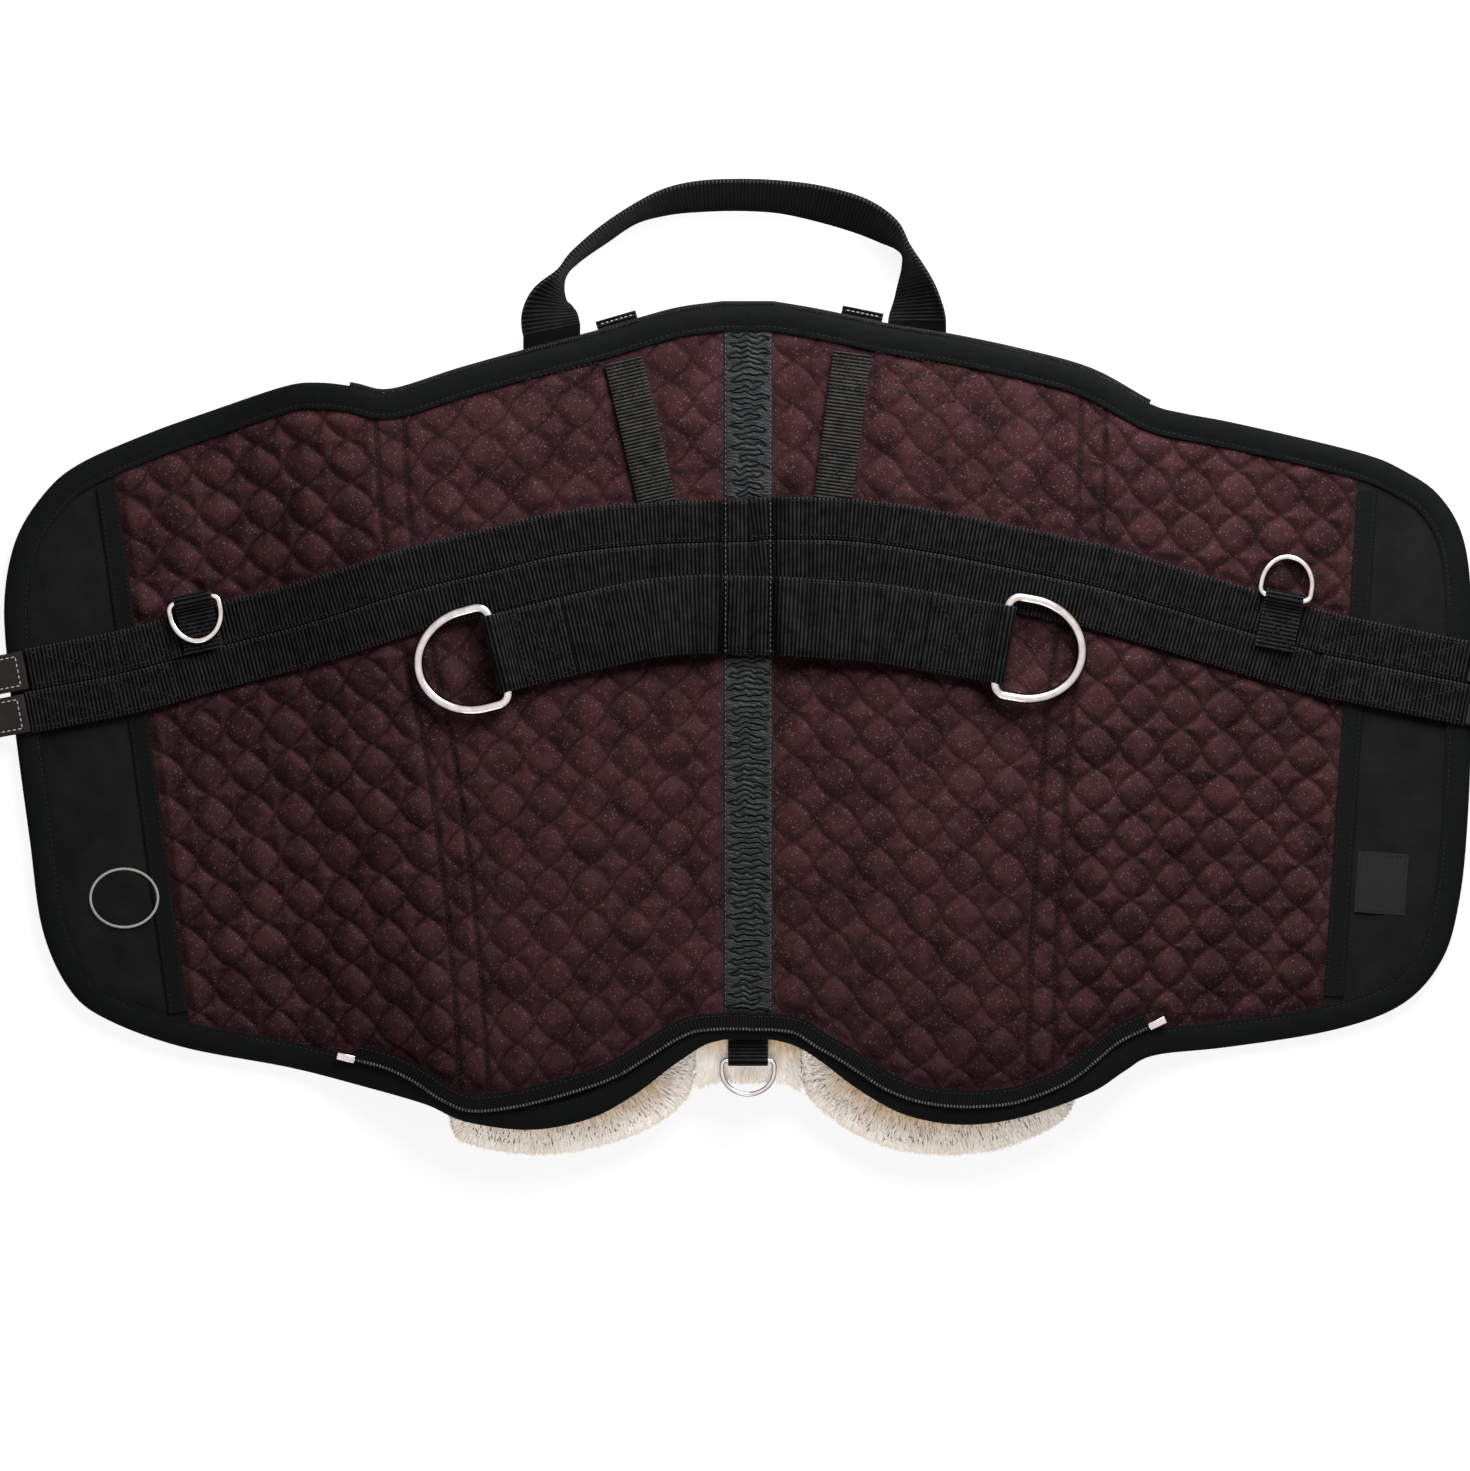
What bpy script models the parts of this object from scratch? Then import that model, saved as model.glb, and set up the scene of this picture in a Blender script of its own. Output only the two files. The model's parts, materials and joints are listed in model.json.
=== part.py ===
"""A bareback riding pad, laid open on a table with its quilted side up.

Metres, +Z up. The pad's front edge, with the grab handle, faces +Y, and the spine of the horse lies
along Y. The frame's origin is on the table under the middle of the spine. The two halves fold at the
two edges of the spine band, so every piece that crosses it is in three lengths there.
"""

import math

import bmesh
import bpy
from mathutils import Matrix, Vector

MM = 0.001

# The whole pad
HALF_WIDTH = 487.5 * MM
HALF_DEPTH = 240.5 * MM
HANDLE_REACH = 317 * MM
CLEARANCE = 0.3 * MM

# The quilted sheet and its edge binding
SHEET_THICKNESS = 4.2 * MM
SHEET_PLAY = 0.9 * MM
BINDING_WALL = 1 * MM
BINDING_WIDTH = 17 * MM
TUFT_HEIGHT = 3 * MM
QUILT_CELL = 34 * MM
SHEET_BOTTOM = BINDING_WALL + SHEET_PLAY
SHEET_TOP = SHEET_BOTTOM + SHEET_THICKNESS
BINDING_HEIGHT = SHEET_TOP + SHEET_PLAY + BINDING_WALL

# The seat's rise over its lambskin and foam
SEAT_LIFT = 30 * MM
SEAT_CROWN = 3 * MM
RAMP_WIDTH = 0.2626 * HALF_WIDTH
EDGE_DROOP = 5 * MM
DROOP_WIDTH = 45 * MM
DROOP_START = 34 * MM
DROOP_FADE = 60 * MM

# The spine band and the two folds beside it
FOLD_X = 16 * MM
SPINE_THICKNESS = 1 * MM
SHEET_FOLD_GAP = 0.85 * MM
BINDING_FOLD_GAP = 2.5 * MM
MIDDLE_SETBACK = 4 * MM
HIGH_MIDDLE_SETBACK = 6 * MM
WEB_FOLD_GAP = 2.6 * MM
STIRRUP_FOLD_GAP = 5 * MM
ZIP_FOLD_GAP = 4 * MM
FOLD_Z = SHEET_TOP + SEAT_LIFT

# Webbing
WEB_THICKNESS = 2 * MM
WEB_SEAT_GAP = 1.4 * MM
MIDDLE_WEB_DROP = 0.7 * MM
GIRTH_WEB_WIDTH = 27 * MM
GIRTH_WEB_SPACING = 27.6 * MM
STIRRUP_WEB_WIDTH = 51 * MM
STRAP_WIDTH = 25 * MM
STRAP_GAP = 0.6 * MM
STATION = 12 * MM
TAB_THICKNESS = 1.5 * MM
GIRTH_LEVEL = SHEET_TOP + WEB_SEAT_GAP
SECOND_LEVEL = GIRTH_LEVEL + WEB_THICKNESS + CLEARANCE

# Rings: wire, inner width along the bar, depth from the bar's centre line to the bow's
BIG_RING_WIRE = 6.5 * MM
BIG_RING_WIDTH = 58 * MM
BIG_RING_DEPTH = 53 * MM
SMALL_RING_WIRE = 4 * MM
SMALL_RING_WIDTH = 29 * MM
SMALL_RING_DEPTH = 27 * MM
REAR_RING_WIRE = 3 * MM
REAR_RING_WIDTH = 31 * MM
REAR_RING_DEPTH = 22 * MM
REAR_WEB_WIDTH = 26 * MM
RING_PLAY = 0.7 * MM
KNEE_SHARE = 2.2
STRAIGHT_SHARE = 0.3
UNDERLAP_SHARE = 0.4
FULL_CELL_SHARE = 0.9
BOW_CORNER = 3 * MM
STIRRUP_FOLD_LENGTH = 48 * MM
STIRRUP_UNDERLAP = 8 * MM
SMALL_TAB_LENGTH = 34 * MM
REAR_LOOP_LENGTH = 13 * MM

# End panels, their seam tape and the woven label
PANEL_GAP = 0.4 * MM
TAPE_WIDTH = 13 * MM
TAPE_THICKNESS = 0.5 * MM
LABEL_WIDTH = 33 * MM
LABEL_DEPTH = 40 * MM
LABEL_THICKNESS = 0.7 * MM
LABEL_GAP = 3.2 * MM

# Zips
ZIP_TAPE_WIDTH = 12 * MM
ZIP_TAPE_THICKNESS = 1 * MM
ZIP_STATION = 9 * MM
ZIP_TEETH_WIDTH = 3 * MM
ZIP_TEETH_HEIGHT = 2.6 * MM
ZIP_STOP_LENGTH = 12 * MM
ZIP_STOP_WIDTH = 5 * MM
ZIP_STOP_HEIGHT = 3.5 * MM
FRONT_TEETH_BASE = 4.6 * MM
FRONT_TEETH_SIZE = 2.4 * MM

# Lambskin underside, foam and the tongue of lambskin under the spine
LAMBSKIN_HEIGHT = 18 * MM
LAMBSKIN_ROLL = 8 * MM
LAMBSKIN_INNER_EDGE = 29 * MM
LAMBSKIN_FRONT_INSET = 16 * MM
LAMBSKIN_SEAM_OVERLAP = 27 * MM
FOAM_INSET = 14 * MM
FOAM_PLAY = 1.5 * MM
FOAM_EDGE_GAP = 5 * MM
FOAM_GRID = 30 * MM
LINING_HALF_WIDTH = 6 * MM
LINING_THICKNESS = 8 * MM
LINING_REACH = 33 * MM

# Grab handle
HANDLE_WIDTH = 38 * MM
HANDLE_THICKNESS = 3 * MM
HANDLE_FLOOR_GAP = 0.5 * MM
HANDLE_FOOT_BASE = 1 * MM
HANDLE_FOOT_GAP = 0.9 * MM
HANDLE_FALL = 3.5
FRONT_TAB_WIDTH = 27 * MM
FRONT_TAB_REACH = 7 * MM

# Girth billets
BILLET_LENGTH = 236 * MM
BILLET_WIDTH = 25 * MM
BILLET_THICKNESS = 4 * MM
BILLET_POINT = 14 * MM
BILLET_HOLD = 18 * MM
BILLET_DROP = 62 * MM
HOLE_DIAMETER = 5 * MM
HOLE_PITCH = 25 * MM
HOLE_COUNT = 7
HOLE_SIDES = 6
FIRST_HOLE = 30 * MM
BILLET_BREAKS = 5
ANCHOR_THICKNESS = 2 * MM

# Outlines, from the spine's front end round the flap to its rear end. Each pair is a share of the half
# width and of the half depth.
OUTLINE_SHARES = {
    "left": (
        (0.033, 0.984), (0.091, 0.968), (0.144, 0.94), (0.197, 0.908), (0.297, 0.854), (0.384, 0.805),
        (0.475, 0.749), (0.524, 0.765), (0.571, 0.776), (0.617, 0.768), (0.711, 0.708), (0.804, 0.641),
        (0.897, 0.557), (0.944, 0.473), (0.98, 0.351), (0.995, 0.189), (0.99, 0.0), (0.979, -0.189),
        (0.961, -0.459), (0.944, -0.703), (0.908, -0.865), (0.859, -0.946), (0.757, -1.022),
        (0.617, -1.076), (0.524, -1.122), (0.431, -1.173), (0.377, -1.219), (0.291, -1.241),
        (0.211, -1.211), (0.151, -1.146), (0.104, -1.073), (0.06, -1.014), (0.033, -0.997),
    ),
    "right": (
        (0.033, 0.984), (0.096, 0.962), (0.187, 0.924), (0.269, 0.897), (0.363, 0.857), (0.456, 0.805),
        (0.536, 0.719), (0.58, 0.695), (0.643, 0.673), (0.736, 0.632), (0.829, 0.584), (0.876, 0.543),
        (0.923, 0.478), (0.956, 0.365), (0.968, 0.189), (0.969, -0.081), (0.963, -0.405),
        (0.952, -0.622), (0.929, -0.784), (0.876, -0.905), (0.783, -0.976), (0.643, -1.022),
        (0.543, -1.043), (0.503, -1.084), (0.456, -1.143), (0.363, -1.208), (0.283, -1.227),
        (0.209, -1.2), (0.149, -1.135), (0.096, -1.054), (0.063, -1.014), (0.033, -0.997),
    ),
}
# The double-stitched seam at each seat's outer side, and the join between quilt and end panel
SEAM_SHARES = {"left": ((0.497, 0.75), (0.351, -1.135)), "right": ((0.462, 0.79), (0.382, -1.12))}
JOIN_SHARES = {"left": ((0.848, 0.55), (0.748, -0.93)), "right": ((0.817, 0.55), (0.769, -0.91))}
# Centre line of the pair of girth webs, of the stirrup web and of the short front strap
GIRTH_SHARES = {
    "left": (
        (0.0, 0.345), (0.056, 0.343), (0.144, 0.335), (0.247, 0.311), (0.335, 0.268), (0.445, 0.214),
        (0.572, 0.135), (0.7, 0.068), (0.827, -0.003), (0.968, -0.059),
    ),
    "right": (
        (0.0, 0.345), (0.037, 0.351), (0.14, 0.346), (0.243, 0.316), (0.311, 0.289), (0.412, 0.246),
        (0.476, 0.216), (0.616, 0.135), (0.756, 0.051), (0.816, 0.024), (0.968, -0.039),
    ),
}
STIRRUP_SHARES = {
    "left": ((0.0, 0.146), (0.056, 0.149), (0.117, 0.141), (0.164, 0.124), (0.247, 0.086), (0.331, 0.043)),
    "right": ((0.0, 0.146), (0.048, 0.143), (0.109, 0.135), (0.175, 0.124), (0.232, 0.105), (0.336, 0.068)),
}
STRAP_SHARES = {"left": ((0.169, 0.86), (0.121, 0.451)), "right": ((0.14, 0.878), (0.113, 0.459))}
# Where the webs end: the girth webs under the billet anchor, and the anchor from its stitching outwards
GIRTH_END_SHARE = 0.83
ANCHOR_START_SHARE = 0.762
ANCHOR_END_SHARE = 0.965
STITCHED_STRETCH = 1 * MM
# Small rings: the bar's centre and the way its tab points from the bar, in degrees from +X
SMALL_RING_SHARES = {"left": (0.741, 0.19), "right": (0.716, 0.196)}
SMALL_RING_ANGLES = {"left": 102, "right": 79}
# Zip teeth lines
REAR_ZIP_SHARES = {
    "left": (
        (0.033, -0.973), (0.07, -0.98), (0.1, -1.008), (0.135, -1.054), (0.173, -1.1), (0.219, -1.135),
        (0.3, -1.18), (0.368, -1.195), (0.411, -1.163), (0.445, -1.118), (0.485, -1.08), (0.524, -1.061),
    ),
    "right": (
        (0.033, -0.975), (0.063, -0.985), (0.089, -1.02), (0.12, -1.055), (0.15, -1.095), (0.181, -1.135),
        (0.219, -1.165), (0.261, -1.18), (0.303, -1.183), (0.357, -1.172), (0.414, -1.13), (0.444, -1.095),
        (0.468, -1.055), (0.496, -1.01), (0.535, -0.972),
    ),
}
FRONT_ZIP_END_SHARES = {"left": 0.53, "right": 0.536}
# The lambskin's rear edge, outer corner first
LAMBSKIN_REAR_SHARES = {
    "left": (
        (0.407, -1.14), (0.397, -1.255), (0.371, -1.292), (0.317, -1.314), (0.264, -1.318),
        (0.211, -1.303), (0.157, -1.27), (0.104, -1.215), (0.075, -1.155),
    ),
    "right": (
        (0.447, -1.13), (0.429, -1.21), (0.403, -1.25), (0.349, -1.297), (0.296, -1.317), (0.243, -1.318),
        (0.189, -1.302), (0.136, -1.256), (0.1, -1.205), (0.075, -1.155),
    ),
}
FRONT_TAB_SHARES = {"left": 0.172, "right": 0.15}
LABEL_SHARE = -0.577
LABEL_TURN = -4
# The handle's centre line: share of the half width, share of the way from its feet's line to its reach,
# then the lean of the webbing in degrees from flat, outer edge up
HANDLE_BASE_SHARE = 0.817
HANDLE_SHARES = (
    (-0.254, 0, 0), (-0.256, 0.1, 0), (-0.263, 0.229, 5), (-0.2655, 0.332, 36), (-0.262, 0.408, 62),
    (-0.249, 0.505, 85), (-0.231, 0.595, 84), (-0.193, 0.716, 80), (-0.153, 0.824, 79),
    (-0.108, 0.895, 70), (-0.064, 0.924, 65), (-0.011, 0.932, 64), (0.043, 0.921, 63),
    (0.096, 0.884, 59), (0.149, 0.821, 59), (0.187, 0.737, 68), (0.209, 0.645, 84), (0.217, 0.563, 76),
    (0.222, 0.458, 57), (0.225, 0.348, 36), (0.225, 0.211, 3), (0.224, 0.079, 0),
)

COLOURS = {
    "quilt": ((0.052, 0.024, 0.026), 0.6, 0),
    "black_cloth": ((0.012, 0.012, 0.013), 0.7, 0),
    "webbing": ((0.01, 0.01, 0.011), 0.65, 0),
    "lambskin": ((0.78, 0.7, 0.58), 0.95, 0),
    "foam": ((0.62, 0.62, 0.58), 0.9, 0),
    "steel": ((0.8, 0.79, 0.77), 0.15, 1),
    "leather": ((0.013, 0.012, 0.012), 0.45, 0),
    "zip": ((0.008, 0.008, 0.009), 0.5, 0),
    "label": ((0.02, 0.02, 0.022), 0.6, 0),
}
SIDES = {"left": -1, "right": 1}


def clear_scene():
    for thing in list(bpy.data.objects):
        bpy.data.objects.remove(thing)


def make_collection(name):
    made = bpy.data.collections.new(name)
    bpy.context.scene.collection.children.link(made)
    return made


def make_material(name):
    colour, roughness, metallic = COLOURS[name]
    made = bpy.data.materials.new(name)
    made.use_nodes = True
    shader = made.node_tree.nodes["Principled BSDF"]
    shader.inputs["Base Color"].default_value = (*colour, 1)
    shader.inputs["Roughness"].default_value = roughness
    shader.inputs["Metallic"].default_value = metallic
    return made


# Plan geometry

def at_shares(side, pair):
    """A point of the plan from a pair of shares, on that side of the spine."""
    return Vector((SIDES[side] * pair[0] * HALF_WIDTH, pair[1] * HALF_DEPTH))


def smooth(points, steps):
    """A curve through the points, with that many steps to a span."""
    ends = [2 * points[0] - points[1], *points, 2 * points[-1] - points[-2]]
    made = []
    for a, b, c, d in zip(ends, ends[1:], ends[2:], ends[3:]):
        for step in range(steps):
            t = step / steps
            square = (2 * a - 5 * b + 4 * c - d) * t**2
            cube = (3 * b - a - 3 * c + d) * t**3
            made.append(b + ((c - a) * t + square + cube) / 2)
    return [*made, points[-1].copy()]


def evenly(points, spacing):
    """The same line with stations at most this far apart, and its two ends kept."""
    lengths = [0]
    for a, b in zip(points, points[1:]):
        lengths.append(lengths[-1] + (b - a).length)
    count = max(2, math.ceil(lengths[-1] / spacing))
    made, span = [], 0
    for index in range(count + 1):
        want = lengths[-1] * index / count
        while span < len(points) - 2 and lengths[span + 1] < want:
            span += 1
        share = (want - lengths[span]) / (lengths[span + 1] - lengths[span])
        made.append(points[span].lerp(points[span + 1], min(1, share)))
    return made


def shifted(points, distance):
    """The line moved sideways, to its left as it runs for a positive distance."""
    made = []
    for index, point in enumerate(points):
        before = points[max(0, index - 1)]
        after = points[min(len(points) - 1, index + 1)]
        along = (after - before).normalized()
        made.append(point + distance * Vector((-along.y, along.x)))
    return made


def between(points, low, high):
    """The stretch of the line whose distance from the spine is between low and high, cut at both."""
    kept = []
    for a, b in zip(points, points[1:]):
        for limit in sorted((low, high), key=lambda x: abs(x - abs(a.x))):
            inside = (abs(a.x) - limit) * (abs(b.x) - limit) < 0
            if inside:
                kept.append(a.lerp(b, (limit - abs(a.x)) / (abs(b.x) - abs(a.x))))
        if low <= abs(b.x) <= high:
            kept.append(b.copy())
    if low <= abs(points[0].x) <= high:
        kept.insert(0, points[0].copy())
    return kept


def distance_to(point, line):
    """How far a point of the plan is from a line."""
    x, y = point
    best = HALF_WIDTH**2
    for (ax, ay), (bx, by) in zip(line, line[1:]):
        dx, dy = bx - ax, by - ay
        share = max(0, min(1, ((x - ax) * dx + (y - ay) * dy) / (dx * dx + dy * dy)))
        best = min(best, (x - ax - share * dx) ** 2 + (y - ay - share * dy) ** 2)
    return math.sqrt(best)


def across_at(points, y):
    """Distance from the spine of a straight two-point line at this y."""
    a, b = points
    return abs(a.x) + (abs(b.x) - abs(a.x)) * (a.y - y) / (a.y - b.y)


def smoothstep(t):
    t = max(0, min(1, t))
    return t * t * (3 - 2 * t)


OUTLINES = {side: smooth([at_shares(side, s) for s in OUTLINE_SHARES[side]], 3) for side in SIDES}
SEAMS = {side: [at_shares(side, s) for s in SEAM_SHARES[side]] for side in SIDES}
JOINS = {side: [at_shares(side, s) for s in JOIN_SHARES[side]] for side in SIDES}
GIRTH_LINES = {side: smooth([at_shares(side, s) for s in GIRTH_SHARES[side]], 3) for side in SIDES}
STIRRUP_LINES = {side: smooth([at_shares(side, s) for s in STIRRUP_SHARES[side]], 3) for side in SIDES}
STRAP_LINES = {side: [at_shares(side, s) for s in STRAP_SHARES[side]] for side in SIDES}
REAR_ZIPS = {side: smooth([at_shares(side, s) for s in REAR_ZIP_SHARES[side]], 2) for side in SIDES}


def half_edges(side):
    """The outline's front edge and its rear edge, each from the spine outwards."""
    line = OUTLINES[side]
    widest = max(range(len(line)), key=lambda i: abs(line[i].x))
    return {True: line[: widest + 1], False: line[widest:][::-1]}


EDGES = {side: half_edges(side) for side in SIDES}


def edge_y(side, across, front):
    """Where the outline's front or rear edge is at this distance from the spine."""
    part = EDGES[side][front]
    for (ax, ay), (bx, by) in zip(part, part[1:]):
        if abs(ax) <= across < abs(bx):
            return ay + (by - ay) * (across - abs(ax)) / (abs(bx) - abs(ax))
    return part[0].y if across < abs(part[0].x) else part[-1].y


def lift(x, y):
    """How far the sheet is raised above its place on the table, by what lies under the seat."""
    side = "left" if x < 0 else "right"
    across = abs(x)
    seam = across_at(SEAMS[side], y)
    ramp = 1 - smoothstep((across - seam) / RAMP_WIDTH)
    inward = max(0, min(1, (across - FOLD_X) / (seam - FOLD_X)))
    crown = 4 * SEAT_CROWN * inward * (1 - inward)
    level = SEAT_LIFT * ramp + crown
    fade = ramp * smoothstep((across - DROOP_START) / DROOP_FADE)
    straight_in = min(edge_y(side, across, True) - y, y - edge_y(side, across, False))
    if not fade or straight_in > 2 * (BINDING_WIDTH + DROOP_WIDTH):
        return level
    near = distance_to((x, y), OUTLINES[side])
    return level - fade * EDGE_DROOP * (1 - smoothstep((near - BINDING_WIDTH) / DROOP_WIDTH))


# Solids

def finish(name, mesh, material, collection, parent=None, origin=None):
    """Turns a mesh in world places into a named part, with its own origin and parent."""
    thing = bpy.data.objects.new(name, mesh)
    collection.objects.link(thing)
    mesh.materials.clear()
    mesh.materials.append(material)
    if origin is not None:
        mesh.transform(Matrix.Translation(-origin))
        thing.location = origin
    if parent is not None:
        thing.parent = parent
        thing.matrix_parent_inverse = Matrix.Translation(-parent.location)
    return thing


def closed(mesh):
    """Welds a curve's loose caps and turns every face outwards."""
    work = bmesh.new()
    work.from_mesh(mesh)
    bmesh.ops.remove_doubles(work, verts=work.verts, dist=CLEARANCE / 30)
    bmesh.ops.recalc_face_normals(work, faces=work.faces)
    work.to_mesh(mesh)
    work.free()
    return mesh


def mesh_of(data, matrix=None):
    """The closed mesh of a curve, which is removed."""
    helper = bpy.data.objects.new("helper", data)
    bpy.context.scene.collection.objects.link(helper)
    if matrix is not None:
        helper.matrix_world = matrix
    graph = bpy.context.evaluated_depsgraph_get()
    mesh = bpy.data.meshes.new_from_object(helper.evaluated_get(graph))
    mesh.transform(helper.matrix_world)
    bpy.data.objects.remove(helper)
    bpy.data.curves.remove(data)
    return closed(mesh)


def poly_curve(dimensions, points, cyclic):
    data = bpy.data.curves.new("line", "CURVE")
    data.dimensions = dimensions
    add_spline(data, points, cyclic)
    return data


def add_spline(data, points, cyclic=True):
    spline = data.splines.new("POLY")
    spline.points.add(len(points) - 1)
    for target, point in zip(spline.points, points):
        target.co = (*point, *[0] * (3 - len(point)), 1)
    spline.use_cyclic_u = cyclic
    return spline


def sweep(points, section, leans=None):
    """A section of (across, up) pairs carried along a line. Across is to the left of the line's way."""
    profile = bpy.data.objects.new("section", poly_curve("2D", [(-a, b) for a, b in section], True))
    data = poly_curve("3D", [Vector((*p, 0)) if len(p) == 2 else p for p in points], False)
    data.twist_mode = "Z_UP"
    data.bevel_mode = "OBJECT"
    data.bevel_object = profile
    data.use_fill_caps = True
    for target, lean in zip(data.splines[0].points, leans or []):
        target.tilt = lean
    mesh = mesh_of(data)
    outline = profile.data
    bpy.data.objects.remove(profile)
    bpy.data.curves.remove(outline)
    return mesh


def box_section(width, thickness, base=0):
    half = width / 2
    return [(-half, base), (half, base), (half, base + thickness), (-half, base + thickness)]


def plate(outline, thickness, base, holes=()):
    """A flat plate with this outline and any holes, its bottom at base."""
    data = poly_curve("2D", outline, True)
    for hole in holes:
        add_spline(data, hole)
    data.fill_mode = "BOTH"
    data.extrude = thickness / 2
    return mesh_of(data, Matrix.Translation((0, 0, base + thickness / 2)))


def flat_face(outline):
    """One flat face with this outline, as a bmesh."""
    data = poly_curve("2D", outline, True)
    data.fill_mode = "BOTH"
    mesh = mesh_of(data)
    work = bmesh.new()
    work.from_mesh(mesh)
    bpy.data.meshes.remove(mesh)
    bmesh.ops.dissolve_faces(work, faces=work.faces)
    for face in work.faces:
        if face.normal.z < 0:
            face.normal_flip()
    return work


def inset(work, distance):
    """Draws a border inside the flat face, and gives back the border's faces."""
    made = bmesh.ops.inset_region(
        work, faces=list(work.faces), thickness=distance, use_boundary=True, use_even_offset=True
    )
    return made["faces"]


def cut_lines(work, faces, normal, spacing, start=0):
    """Cuts the faces along parallel lines in plan, and gives back the faces that this makes of them."""
    normal = Vector((*normal, 0)).normalized()
    reach = [v.co.dot(normal) for f in faces for v in f.verts]
    first = math.ceil((min(reach) - start) / spacing)
    last = math.floor((max(reach) - start) / spacing)
    for index in range(first, last + 1):
        geometry = {*faces, *[e for f in faces for e in f.edges], *[v for f in faces for v in f.verts]}
        cut = bmesh.ops.bisect_plane(
            work, geom=list(geometry), plane_co=normal * (start + index * spacing), plane_no=normal,
            dist=CLEARANCE / 10,
        )
        faces = [g for g in cut["geom"] if isinstance(g, bmesh.types.BMFace)]
    return faces


def drape(mesh, height=lift):
    """Raises every point of a mesh by the pad's own rise under it."""
    for vertex in mesh.vertices:
        vertex.co.z += height(vertex.co.x, vertex.co.y)
    return mesh


def bisected(mesh, cuts):
    """Cuts a solid's faces at upright planes, so that it can bend there."""
    work = bmesh.new()
    work.from_mesh(mesh)
    for place, normal in cuts:
        geometry = [*work.verts, *work.edges, *work.faces]
        bmesh.ops.bisect_plane(work, geom=geometry, plane_co=place, plane_no=normal, dist=CLEARANCE / 10)
    work.to_mesh(mesh)
    work.free()
    return mesh


def trimmed(mesh, side, place, normal):
    """Cuts off what lies behind an upright plane on one side of the spine, and closes the cut."""
    work = bmesh.new()
    work.from_mesh(mesh)
    beside = {v for v in work.verts if v.co.x * SIDES[side] > 0}
    geometry = [*beside, *[g for kind in (work.edges, work.faces) for g in kind if beside >= set(g.verts)]]
    cut = bmesh.ops.bisect_plane(work, geom=geometry, plane_co=place, plane_no=normal, clear_inner=True)
    edges = [g for g in cut["geom_cut"] if isinstance(g, bmesh.types.BMEdge)]
    bmesh.ops.holes_fill(work, edges=edges)
    work.to_mesh(mesh)
    work.free()
    return mesh


# Quilted sheet, end panel and binding

def half_outline(side):
    """The sheet's plan outline: inside the binding's wall, and clear of the fold."""
    inward = (BINDING_WALL + CLEARANCE) * -SIDES[side]
    line = shifted(OUTLINES[side], inward)
    inner = SIDES[side] * (FOLD_X + SHEET_FOLD_GAP)
    kept = [p for p in line if abs(p.x) > abs(inner) + STITCHED_STRETCH]
    return [Vector((inner, kept[0].y)), *kept, Vector((inner, kept[-1].y))]


def keep_side(work, side, line, outer):
    """Cuts the sheet at the join line and drops the part on one side of it."""
    a, b = line
    along = (b - a).normalized()
    normal = Vector((SIDES[side] * -along.y, SIDES[side] * along.x, 0)) * SIDES[side]
    if normal.x * SIDES[side] < 0:
        normal.negate()
    gap = normal * PANEL_GAP / 2
    place = Vector((*a, 0)) + (gap if outer else -gap)
    bmesh.ops.bisect_plane(
        work, geom=[*work.verts, *work.edges, *work.faces], plane_co=place, plane_no=normal,
        clear_inner=outer, clear_outer=not outer,
    )


def obstacles(side):
    """Lines that hold the quilt flat, each with the distance it does so to."""
    flat = QUILT_CELL / 2
    fold = [Vector((SIDES[side] * FOLD_X, HALF_DEPTH)), Vector((SIDES[side] * FOLD_X, -HALF_DEPTH))]
    return [
        (OUTLINES[side], BINDING_WIDTH + flat),
        (fold, flat),
        (JOINS[side], flat),
        (SEAMS[side], flat / 2),
        (GIRTH_LINES[side], GIRTH_WEB_SPACING + flat * 1.3),
        (STIRRUP_LINES[side], STIRRUP_WEB_WIDTH / 2 + flat),
        (STRAP_LINES[side], STRAP_WIDTH / 2 + flat),
        (REAR_ZIPS[side], ZIP_TAPE_WIDTH + flat),
    ]


def quilt_panel(side):
    """The quilted sheet: flat under its sewn-on pieces, and a grid of stuffed diamonds between them."""
    work = flat_face(half_outline(side))
    ring = set(inset(work, BINDING_WIDTH))
    inner = [f for f in work.faces if f not in ring]
    a, b = JOINS[side]
    turn = math.atan2(a.x - b.x, a.y - b.y)
    spacing = QUILT_CELL / math.sqrt(2)
    for slant in (math.pi / 4, -math.pi / 4):
        inner = cut_lines(work, inner, (math.cos(slant - turn), math.sin(slant - turn)), spacing)
    keep_side(work, side, JOINS[side], False)
    bottom = list(work.faces)
    top = bmesh.ops.duplicate(work, geom=bottom)["geom"]
    top_faces = [g for g in top if isinstance(g, bmesh.types.BMFace)]
    for vertex in {v for f in top_faces for v in f.verts}:
        vertex.co.z = SHEET_TOP
    for vertex in {v for f in bottom for v in f.verts}:
        vertex.co.z = SHEET_BOTTOM
    for face in bottom:
        face.normal_flip()
    work.edges.ensure_lookup_table()
    rims = [e for e in work.edges if e.is_boundary]
    bmesh.ops.bridge_loops(work, edges=rims)
    holders = obstacles(side)
    whole = QUILT_CELL**2 / 2
    stuffed = []
    for face in top_faces:
        centre = face.calc_center_median().to_2d()
        full = face.calc_area() > whole * FULL_CELL_SHARE
        if full and all(distance_to(centre, line) > reach for line, reach in holders):
            stuffed.append(face)
    poked = bmesh.ops.poke(work, faces=stuffed)
    for vertex in poked["verts"]:
        vertex.co.z += TUFT_HEIGHT
    bmesh.ops.recalc_face_normals(work, faces=work.faces)
    mesh = bpy.data.meshes.new("quilt")
    work.to_mesh(mesh)
    work.free()
    return drape(mesh)


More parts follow.
